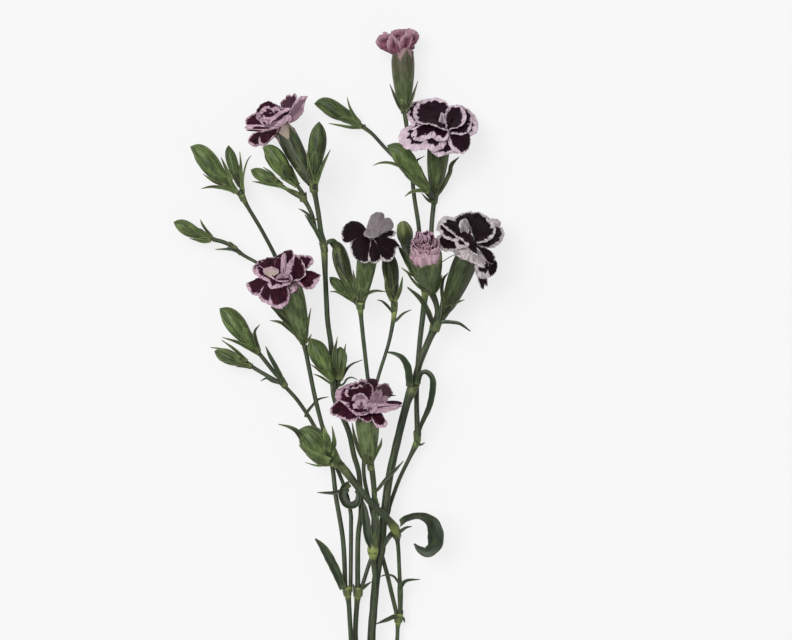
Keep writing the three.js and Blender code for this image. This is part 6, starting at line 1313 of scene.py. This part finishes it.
B.throat("right", r_top=3.4, h=-2.0)

# left: maroon with pink margins, ruffled middle, two broad petals below
B = Bloom("left")
B.ring(6, 6.6, -1.8, -4.8, 15, start=0.2, bend=26, ruf=0.6, rim=1.0, tooth=0.3)
B.r((304, 266, -1.6), [(297, 261, -1.6), (298, 256, -1.8), (301.6, 254.3, -2.0), (305.4, 255.9, -2.1), (309.6, 255.4, -2.2), (312.8, 258, -2.3), (313.6, 261.8, -2.3), (311.8, 265.2, -2.2), (308.6, 268.2, -2.0, 0.3), (304.6, 269.6, -1.8, 0.3), (301, 267, -1.6, 0.8)], 1.5, ruf=0.4, cream=0.0)
B.r((298, 277, -1.2), [(296, 281.4, -1.0, 0.7), (299.4, 284.6, -1.5, 1.2), (303.4, 287.8, -2.2, 1.4), (308.4, 289.8, -2.8), (313.4, 288, -3.0), (317.4, 283.4, -3.0, 1.9), (319.8, 278, -2.8, 1.6), (320.6, 275, -2.6, 0.6), (316, 272.6, -2.2, 0.3), (311, 270.8, -1.9, 0.2), (306, 270.2, -1.5, 0.2), (301, 271.4, -1.2, 0.2)], 1.5, arch=0.10)
B.r((276, 280, -0.8), [(264, 275.6, -0.6, 0.3), (258, 277.8, -1.1, 0.3), (252.6, 281, -1.7, 0.5), (246.4, 283.4, -2.3, 1.2), (246.9, 287.6, -2.7, 1.2), (249.6, 292, -3.2, 1.2), (254.2, 295.2, -3.4, 1.3), (260, 296.2, -3.4, 1.3), (265, 293.4, -3.0, 0.9)], 1.0, arch=0.12)
B.r((277, 281, -0.2), [(264.4, 285.6, -1.0, 0.7), (260.2, 291, -1.8, 1.2), (258.6, 296.6, -2.6, 1.6), (261.6, 301.2, -3.2, 1.4), (266, 303.8, -3.5), (270.6, 304.6, -3.5), (273, 300.6, -3.0, 0.8), (273.6, 294, -2.2, 0.5)], 1.1, arch=0.13)
B.r((279, 279, 0.4), [(272.6, 292.6, -1.0, 0.5), (269.6, 298.4, -2.0, 0.8), (269.8, 304, -2.8, 1.2), (273.8, 307.8, -3.4), (279, 308.6, -3.6), (284.4, 306.8, -3.6, 1.6), (288.6, 302, -3.2, 1.1), (289.8, 296, -2.6, 1.0), (289.4, 289.6, -1.8, 1.0), (287.6, 284.4, -1.0, 0.8)], 1.6, arch=0.13)
B.r((275, 270, -1.4), [(257, 265.6, -1.6), (257.6, 261.9, -1.8), (261.6, 259.6, -2.0), (266, 257.9, -2.1), (271, 257.2, -2.1, 0.9), (275.4, 256.6, -2.1, 1.4), (278.6, 258, -1.8, 0.6)], 0.5, ruf=0.5)
B.r((283, 277, -1.4), [(272.6, 262, -1.2), (274.4, 257.6, -1.6), (278.6, 254.6, -1.9), (283, 252, -2.0), (286.6, 250.8, -2.0), (289, 253, -1.8)], 0.5, ruf=0.4)
B.r((286, 276, -0.8), [(281, 258, -1.0, 0.6), (283, 253.4, -1.3), (286, 250.5, -1.5), (289.4, 249.8, -1.6), (292.6, 250.6, -1.6), (294, 254, -1.4), (294.6, 259, -1.0)], 0.6, ruf=0.4)
B.r((272, 270, -0.6), [(263, 261, -1.0), (257, 263, -1.4), (253.2, 266.4, -1.6), (252.4, 270.6, -1.6), (255, 274.6, -1.4), (260, 276, -1.0)], 1.2, ruf=0.6)
B.r((290, 285, -1.8), [(282, 264, -1.8), (287, 256.6, -1.9), (295, 255, -1.9), (301, 259.6, -1.9), (304.4, 267, -1.8), (303.6, 275, -1.7)], 0.4, ruf=0.3, cream=0.0)
B.r((274, 272, 0.2), [(256.4, 266, 0.4), (255.2, 270, 0.4), (256.6, 275.2, 0.4), (261, 278.8, 0.6), (266, 281, 0.8), (271, 283.4, 1.0), (275.6, 282, 1.2), (277, 277, 1.2)], 1.5, ruf=0.45)
B.r((284, 272, 0.4), [(267.4, 284.2, 1.6), (269.6, 288.2, 1.4), (274, 288.8, 1.4), (279, 287.8, 1.4), (285, 286.2, 1.4), (290, 284.2, 1.4), (292.6, 281, 1.4)], 1.9, ruf=0.3)
B.r((268, 272, 1.2), [(255.6, 263.4, 0.6), (258.6, 265.4, 1.2), (262.4, 268.4, 1.8), (266.4, 272.6, 2.4), (271, 277.4, 2.6), (276, 280.4, 2.8), (281, 281.8, 2.8)], 1.0, ruf=0.2, wave=7)
B.r((271.6, 278, 1.8), [(264.2, 274.4, 2.8), (262.8, 270.8, 3.0), (265.2, 267.8, 3.2), (270, 266.6, 3.3), (275, 267.2, 3.3), (278.6, 269.8, 3.2), (278.8, 273.8, 3.0)], 7.0, side=1, ruf=0.3, pleat=0.2, tone=0.9, cream=1.15)
B.r((279, 279, 1.0), [(275, 272, 1.6), (274.6, 264, 1.6), (276, 259, 1.4), (280, 257.6, 1.4), (283.6, 262, 1.6), (284.6, 269, 1.8), (284, 275, 1.8)], 0.15, ruf=0.25, cream=0.0)
B.r((296, 270, 0.0), [(292.6, 280.6, 2.2, 1.6), (286.6, 277, 2.6, 3.0), (284.4, 271, 2.8, 3.2), (285.4, 265.6, 2.6, 3.0), (289.2, 261.2, 2.2, 2.6), (292.6, 257, 1.6, 1.8), (295.8, 254, 1.0, 0.8), (299.4, 257, 0.8, 0.6), (302.6, 261, 0.8, 0.7), (304.8, 265.6, 0.8, 0.7), (305.8, 270.6, 1.0, 0.7), (305.6, 275.4, 1.4, 0.9), (302, 278.8, 1.8, 1.1), (297, 280.6, 2.2, 1.3), (293.6, 281, 2.4, 1.4)], 1.2, arch=-0.04, cream=0.0, ruf=0.35)
B.r((283.4, 278, 1.6), [(281, 271, 2.6), (280.8, 263.6, 2.6), (281.6, 256.6, 2.4), (283.8, 253, 2.2), (286.4, 254.4, 2.2), (286.6, 261, 2.4), (285.6, 268, 2.6)], 7.0, ruf=0.25, cream=0.0)
B.r((284, 283.4, 2.0), [(276.6, 281.6, 3.2), (276, 277.4, 3.4), (279.6, 274.2, 3.6), (284.6, 273.6, 3.6), (288.8, 276.4, 3.6), (290.4, 280.6, 3.4)], 1.5, side=-1, tone=0.7, ruf=0.3, cream=0.0)
B.r((284, 278, 2.6), [(290.6, 278.4, 3.8, 0.6), (288.4, 281.2, 4.0, 0.4), (283.4, 281.8, 4.0, 0.3), (278.6, 281.4, 4.0, 0.3), (275.4, 280.4, 3.8, 0.5)], 0.3, ruf=0.15, tooth=0.15, cream=0.0)
B.throat("left", r_top=3.6, h=-2.2)

# front: mauve, tightly ruffled rosette, a long folded petal pointing right
B = Bloom("front")
B.ring(6, 8.2, -1.8, -4.8, 15, start=0.5, bend=26, ruf=0.6, rim=0.6, tooth=0.3)
B.r((364, 409, -1.0), [(354.6, 413.6, -1.6), (358.6, 417.6, -2.2), (363, 420.8, -2.6), (367.4, 422.2, -2.8), (371.4, 421, -2.8), (374, 416, -2.2)], 0.4, ruf=0.3)
B.r((354, 406, -0.8), [(339, 400.6, -0.8, 0.5), (334, 403.6, -1.4, 0.8), (330.6, 408, -2.0), (329.8, 412.6, -2.4), (333, 415.8, -2.8), (339, 417.8, -3.0), (344, 420.2, -3.0), (350, 421.6, -3.0), (356.4, 420.6, -2.8, 0.5), (358.6, 415.6, -2.2, 0.4)], 0.9, arch=0.12)
B.r((370, 410, -0.4), [(372, 419.4, -2.2, 0.5), (374.4, 424.6, -2.8, 0.9), (378, 427.8, -3.2), (382.6, 428, -3.4), (386.8, 425.6, -3.4), (387.2, 421.8, -3.2), (384.8, 418.4, -2.8, 0.5), (382, 414.4, -2.2, 0.2), (378.4, 411.6, -1.4, 0.2)], 1.2, arch=0.10)
B.r((358, 398, -1.0), [(342, 402, -1.0), (336.6, 400.6, -1.4), (334.8, 395.6, -1.6), (336.2, 390.6, -1.8), (340, 387.4, -1.8), (344, 386.4, -1.8), (345.6, 384.4, -1.8), (349, 383.2, -1.8), (353, 383, -1.8)], 3.6, ruf=0.6)
B.r((360, 399, -1.4), [(345, 388, -1.6), (348.6, 384, -1.9), (352, 384.4, -1.9), (354.4, 382, -2.0), (358, 381.4, -2.0), (360.6, 379.8, -2.0), (365, 379.3, -2.0), (368, 381, -1.8)], 2.4, ruf=0.8, wave=4.0)
B.r((369, 402, -1.4), [(361.6, 384, -1.8), (363.6, 380, -2.0), (368, 378.8, -2.1), (373, 378.3, -2.1), (377.6, 379.6, -2.0), (378.4, 384, -1.8), (377.6, 390, -1.4)], 0.45, ruf=0.5)
B.r((372, 403, -1.0), [(376, 390, -1.2), (377, 386.4, -1.4), (380, 383.8, -1.6), (384, 383.4, -1.7), (388.4, 383.8, -1.8), (390, 387.8, -1.9, 0.6), (392, 390.4, -2.0, 0.2), (393.4, 393.2, -2.0, 0.2), (390.4, 396.8, -1.8, 0.4), (387, 399, -1.4)], 1.9, tone=0.35, ruf=0.5)
B.r((384, 396, -1.2), [(388.6, 394.6, -1.4), (393.4, 395.2, -1.8), (396.6, 395.5, -2.0), (393.4, 396.0, -1.8), (388.6, 396.6, -1.4)], 0.0, ruf=0.1, tooth=0.1)
B.r((357, 400, -0.4), [(346, 401.4, 0.2), (340.8, 399.6, 0.0), (340.4, 395.4, 0.0), (343.4, 392.4, 0.2), (347, 393.6, 0.4)], 0.3, ruf=0.3)
B.r((360, 402, 0.0), [(345.6, 396.6, 0.6), (344.4, 392.4, 0.6), (347.6, 389, 0.6), (351.4, 387.4, 0.6), (356, 387.4, 0.6), (358.6, 385.6, 0.6), (362, 385.2, 0.6), (364.8, 388, 0.6)], 1.6, ruf=0.7, wave=4.4)
B.r((366, 403, 0.2), [(360, 392, 0.8, 0.2), (363, 386.4, 0.6, 0.2), (366, 383.4, 0.4, 0.2), (369.4, 383.2, 0.4, 0.7), (372.4, 385.4, 0.6, 1.1), (373.9, 389.6, 1.0, 1.1), (373.4, 394.4, 1.4, 0.6), (372, 399, 1.6, 0.3)], 0.6, ruf=0.25, cream=0.0)
B.r((373, 405, 0.8), [(367.4, 401.4, 1.6), (370, 396.6, 1.6), (374, 392.4, 1.6), (377, 389, 1.6), (379, 391, 1.8), (380.8, 389.3, 1.8), (382.8, 392.8, 1.8), (382.6, 396.6, 2.0), (385.2, 395.4, 2.0), (388, 396.6, 2.0), (387.4, 401.6, 2.2), (385, 405, 2.2)], 2.2, side=-1, tone=0.25, ruf=0.5, wave=3.6)
B.r((376, 404.6, 1.6), [(386, 404.4, 2.2), (387, 402, 2.0), (393, 401.2, 1.6), (400, 401.4, 1.0), (402.4, 403.6, 0.8), (399, 405.2, 1.0), (392, 405.4, 1.6)], 0.1, ruf=0.15, tooth=0.12, cream=0.0)
B.r((358, 401, 0.8), [(334.6, 400.4, 0.8), (339, 401.4, 1.2), (343.8, 404, 1.6), (348.6, 408.8, 1.8), (353.4, 413.6, 1.8), (358.4, 415.6, 1.8), (364, 415.2, 1.8), (369, 413.6, 1.8)], 0.9, ruf=0.3)
B.r((370, 409, 2.6), [(369, 404.6, 3.2), (375, 403.4, 3.2), (382, 403.4, 3.0), (390, 403.9, 2.6), (398, 404.4, 2.0), (402.8, 405.4, 1.4), (399, 408.2, 1.6), (392, 411, 2.0), (385, 412.9, 2.2), (377, 413.2, 2.6), (370, 413.4, 3.0)], 4.5, ruf=0.35, pleat=0.3, tone=0.6, cream=0.0, tooth=0.2)
B.r((361, 404, 1.8), [(351.4, 401, 2.4), (353.4, 395.8, 2.6), (357.8, 393.2, 2.8), (363, 393.6, 2.8), (367, 396.8, 2.8), (368.8, 401, 2.8), (367, 404, 2.8)], 1.5, dark=0.9, ruf=0.4, cream=0.0)
B.r((358, 405, 1.6), [(347, 402, 2.4, 0.7), (348, 406.6, 2.4, 0.6), (351.4, 410.4, 2.6), (356, 413.2, 2.8), (361.6, 413.4, 3.0), (366.6, 411.6, 3.0)], 0.4, ruf=0.3, cream=0.0)
B.r((368, 412, 2.6), [(365.6, 406.4, 4.0), (368, 403.2, 4.2), (372, 402.2, 4.2), (376, 403.6, 4.2), (377.6, 407.4, 4.0), (376, 411.4, 3.8), (371, 413.8, 3.6)], 3.4, tone=0.7, ruf=0.5, wave=3.4, cream=0.0)
B.r((362, 410, 2.8), [(353.6, 408.6, 3.8), (352.6, 404.4, 4.2), (355.6, 401.4, 4.4), (360, 399.2, 4.4), (364, 399, 4.4), (367, 401.6, 4.4), (368.4, 405.6, 4.2), (366.6, 409, 4.0)], 3.0, dark=0.45, ruf=0.45, cream=0.0)
B.throat("front", r_top=3.6, h=-2.0)

# top: half open, a fan of dusty pink petals seen from the side
B = Bloom("top")
B.r((400.4, 57, 9.0), [(388, 47, 7.0), (383.6, 41, 6.2), (384.6, 36, 6.0), (390, 33.6, 6.2), (395, 36, 6.6), (398, 42, 7.4)], 1.2, z=True, facing=(-0.3, 0.2, -1), side=-1)
B.r((401.6, 57, 9.0), [(403, 42, 7.4), (404, 35, 6.6), (408, 31.6, 6.2), (413.6, 32.4, 6.0), (416, 37, 6.2), (412.6, 44, 7.2)], 1.2, z=True, facing=(0.3, 0.2, -1), side=-1)
for a_, b_, w_ in (((400.6, 56, 11.4), (389.6, 41.0, 9.8), 15), ((401.4, 56, 11.4), (411.4, 40.0, 9.8), 15), ((400.8, 56, 12.2), (396.4, 37.6, 11.6), 13), ((401.2, 56, 12.0), (405.6, 36.6, 11.4), 13)):  # the heart of the flower
    B.z(a_, b_, w_, facing=(0.0, 0.2, 1.0), ruf=0.8, rim=1.2, bend=-10, cup_=0.8)
B.r((400.6, 57, 11.0), [(391, 40, 9.2), (390.6, 34, 9.0), (392, 30.6, 9.0), (396, 29.3, 9.2), (400.6, 29, 9.4), (405, 28.8, 9.4), (409.6, 28.6, 9.2), (413, 30.6, 9.0), (413, 37, 9.4)], 1.6, z=True, facing=(0, 0.2, 1), arch=-0.05, dark=0.0)
B.r((401.6, 57, 14.0), [(403, 45, 14.4), (404, 38, 14.6), (405.4, 32.4, 14.8), (409.6, 29.2, 14.8), (414, 29.6, 14.4), (417.6, 32, 13.8), (419.3, 36, 13.2, 0.6), (418.2, 39.6, 13.0, 0.6), (415.8, 43.4, 13.0), (412.6, 47, 13.2), (409.6, 51.4, 13.6)], 1.8, z=True, side=1, facing=(0.2, -0.1, 1), ruf=0.45, pleat=0.55)
B.r((400.2, 57, 13.6), [(391, 52.8, 13.6, 0.4), (386, 51, 13.4, 0.0), (380, 48.6, 13.0, 0.0), (376.6, 45.2, 12.8, 0.2), (375.4, 41.8, 12.8, 1.0), (377.4, 38, 13.0), (379, 35.4, 13.2), (382.2, 34.4, 13.4), (383.4, 31.8, 13.6), (387, 31.9, 13.8), (388.6, 34.6, 14.2), (391.4, 36, 14.6), (394, 40, 15.0)], 1.7, z=True, side=1, facing=(-0.2, -0.1, 1), ruf=0.45, pleat=0.55)
B.r((400.6, 57, 15.8), [(399.4, 49, 17.2), (399, 43, 17.6), (401.6, 37, 17.8), (405.6, 33.4, 17.6), (409.6, 32.4, 17.2), (412.6, 35.6, 16.8), (412, 42, 16.6), (408.6, 49.6, 16.2)], 1.3, z=True, facing=(0.15, -0.1, 1), ruf=0.4, pleat=0.55)
B.r((399.8, 57, 16.0), [(388.6, 51.6, 16.0, 0.5), (386.6, 45, 16.4), (387.8, 38.6, 16.8), (390.6, 33.9, 17.2), (394.4, 36.4, 17.8), (398.2, 40, 18.2), (400.4, 43.8, 18.4), (400.6, 49.4, 18.0)], 1.3, z=True, facing=(-0.15, -0.1, 1), ruf=0.4, pleat=0.55)
B.throat("top", r_top=3.6, h=-4.2, cream=0.55)

# opening: a brush of small folded petals just out of the tube
B = Bloom("opening")
rs = np.random.RandomState(5)
ax = AX["opening"]
mouth = ax.point(np.array(0.72), np.array(0.0), -ax.radius(0.72))
up_ = unit(B.c + B.n * 2.0 - mouth)
for ring_, (n_, r0, r1, len_, w_, rim_) in enumerate(((3, 0.4, 1.2, 20.4, 7.0, 0.25), (7, 1.2, 3.0, 20.8, 8.0, 0.3), (10, 2.4, 4.9, 20.2, 9.0, 0.3), (12, 3.8, 6.3, 19.0, 9.8, 0.4), (13, 5.2, 7.2, 17.2, 10.4, 1.3), (15, 6.3, 7.6, 14.2, 9.6, 5.0))):
    for j in range(n_):
        an = math.tau * (j + 0.5 * (ring_ % 2)) / n_ + rs.uniform(-0.2, 0.2)
        d = math.cos(an) * B.e1 + math.sin(an) * B.e2
        a_ = mouth + d * r0 + up_ * 0.5
        b_ = mouth + up_ * len_ * rs.uniform(0.90, 1.08) + d * r1 * rs.uniform(0.9, 1.08)
        outer = ring_ >= 4
        petal(B.skin, a_, b_, w_ * UNIT * rs.uniform(0.9, 1.15), d if outer else -d, roll=rs.uniform(-10, 10) if outer else rs.uniform(-35, 35), ruf=0.45, waves=1.5, bend=rs.uniform(-8, 22), seed=5000 + 40 * ring_ + j,
              claw=0.6, teeth=6, tooth=0.45, rim=rim_ * rs.uniform(0.7, 1.3), side=-1 if (outer or rs.rand() < 0.18) else 1, tone=rs.uniform(0.6, 1.3) if outer else rs.uniform(0, 0.25), cream=0.45 if outer else 0.25, rows=11, cols=17, cup_=-0.9 if outer else 0.8, full=2.2)
B.throat("opening", r_top=5.2, h=-8.4, cream=0.2, folds=0.2)


# ---------------------------------------------------------------- pieces


for node, s in PIECES.items():
    if node.startswith("corolla"):
        continue
    if node == "base_stem":
        mats, slot = [WOOD, GREEN["bud"], GREEN["leaf"]], "stem"
    elif node.startswith("stem"):
        mats, slot = [GREEN["stem"], GREEN["bud"], GREEN["leaf"]], "stem"
    elif node.startswith("bud"):
        mats, slot = [GREEN["stem"], GREEN["bud"], GREEN["leaf"]], "bud"
    elif node.startswith("calyx"):
        mats, slot = [GREEN["stem"], GREEN["bud" if node == "calyx_opening" else "calyx"], GREEN["leaf"]], "calyx"
    else:
        mats, slot = [GREEN["stem"], GREEN["bud"], GREEN["leaf"]], "leaf"
    s.build("shown_" + node, slot, mats, [node])

KIND = {"top": "pink", "opening": "blush", "upper_left": "mauve", "left": "mauve", "front": "mauve", "upper_right": "dark", "centre": "ash", "right": "ash"}
for key, kind in KIND.items():
    PIECES["corolla_" + key].build("shown_corolla_" + key, "petal_" + {"blush": "pink", "ash": "dark"}.get(kind, kind), [PETAL[kind]], ["corolla_" + key])


# ---------------------------------------------------------------- stage, light, camera


def stage():
    me = bpy.data.meshes.new("floor")
    w = 6.0
    me.from_pydata([(-w, -w, 0), (w, -w, 0), (w, w, 0), (-w, w, 0)], [], [(0, 1, 2, 3)])
    ob = bpy.data.objects.new("floor", me)
    bpy.context.scene.collection.objects.link(ob)
    ob.location.z = -0.0004
    m = bpy.data.materials.new("pale_floor")
    m.use_nodes = True
    t = m.node_tree
    t.nodes.clear()
    out = t.nodes.new("ShaderNodeOutputMaterial")
    add = t.nodes.new("ShaderNodeAddShader")
    dif = t.nodes.new("ShaderNodeBsdfDiffuse")
    dif.inputs["Color"].default_value = (FLOOR_DIFFUSE, FLOOR_DIFFUSE, FLOOR_DIFFUSE, 1)
    em = t.nodes.new("ShaderNodeEmission")
    em.inputs["Color"].default_value = (1, 1, 1, 1)
    em.inputs["Strength"].default_value = FLOOR_GLOW
    t.links.new(dif.outputs[0], add.inputs[0])
    t.links.new(em.outputs[0], add.inputs[1])
    t.links.new(add.outputs[0], out.inputs["Surface"])
    me.materials.append(m)

    world = bpy.data.worlds.new("studio")
    bpy.context.scene.world = world
    world.use_nodes = True
    bg = world.node_tree.nodes["Background"]
    bg.inputs["Color"].default_value = (0.98, 0.99, 1.0, 1)
    bg.inputs["Strength"].default_value = SKY

    for name, strength, angle, rot in (("key", KEY, 38, (rad(-14), rad(-20), 0)), ("fill", FILL, 60, (rad(25), rad(24), 0))):
        L = bpy.data.lights.new(name, "SUN")
        L.energy = strength
        L.angle = rad(angle)
        L.color = (1.0, 0.995, 0.985)
        o = bpy.data.objects.new(name, L)
        o.rotation_euler = rot
        bpy.context.scene.collection.objects.link(o)

    cam = bpy.data.cameras.new("camera")
    cam.type = "PERSP"
    cam.lens = 120
    cam.sensor_width = 36
    cam.sensor_fit = "HORIZONTAL"
    cam.clip_start = 0.05
    cam.clip_end = 60
    co = bpy.data.objects.new("camera", cam)
    co.location = (SHIFT[0] * 0.001, SHIFT[1] * 0.001, (EYE + SHIFT[2]) * 0.001)
    co.rotation_euler = (0, 0, 0)
    bpy.context.scene.collection.objects.link(co)
    bpy.context.scene.camera = co
    bpy.context.scene.view_settings.view_transform = "Standard"
    bpy.context.scene.view_settings.look = "None"


FLOOR_DIFFUSE, FLOOR_GLOW, SKY, KEY, FILL = 0.14, 0.776, 0.26, 2.75, 0.30
stage()
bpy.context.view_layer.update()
low = sorted((min(v.co.z for v in o.data.vertices), o.name) for o in bpy.data.objects if o.type == "MESH" and o.name.startswith("shown_"))
print("LOWEST", [(round(z * 1000, 2), n) for z, n in low[:8]])
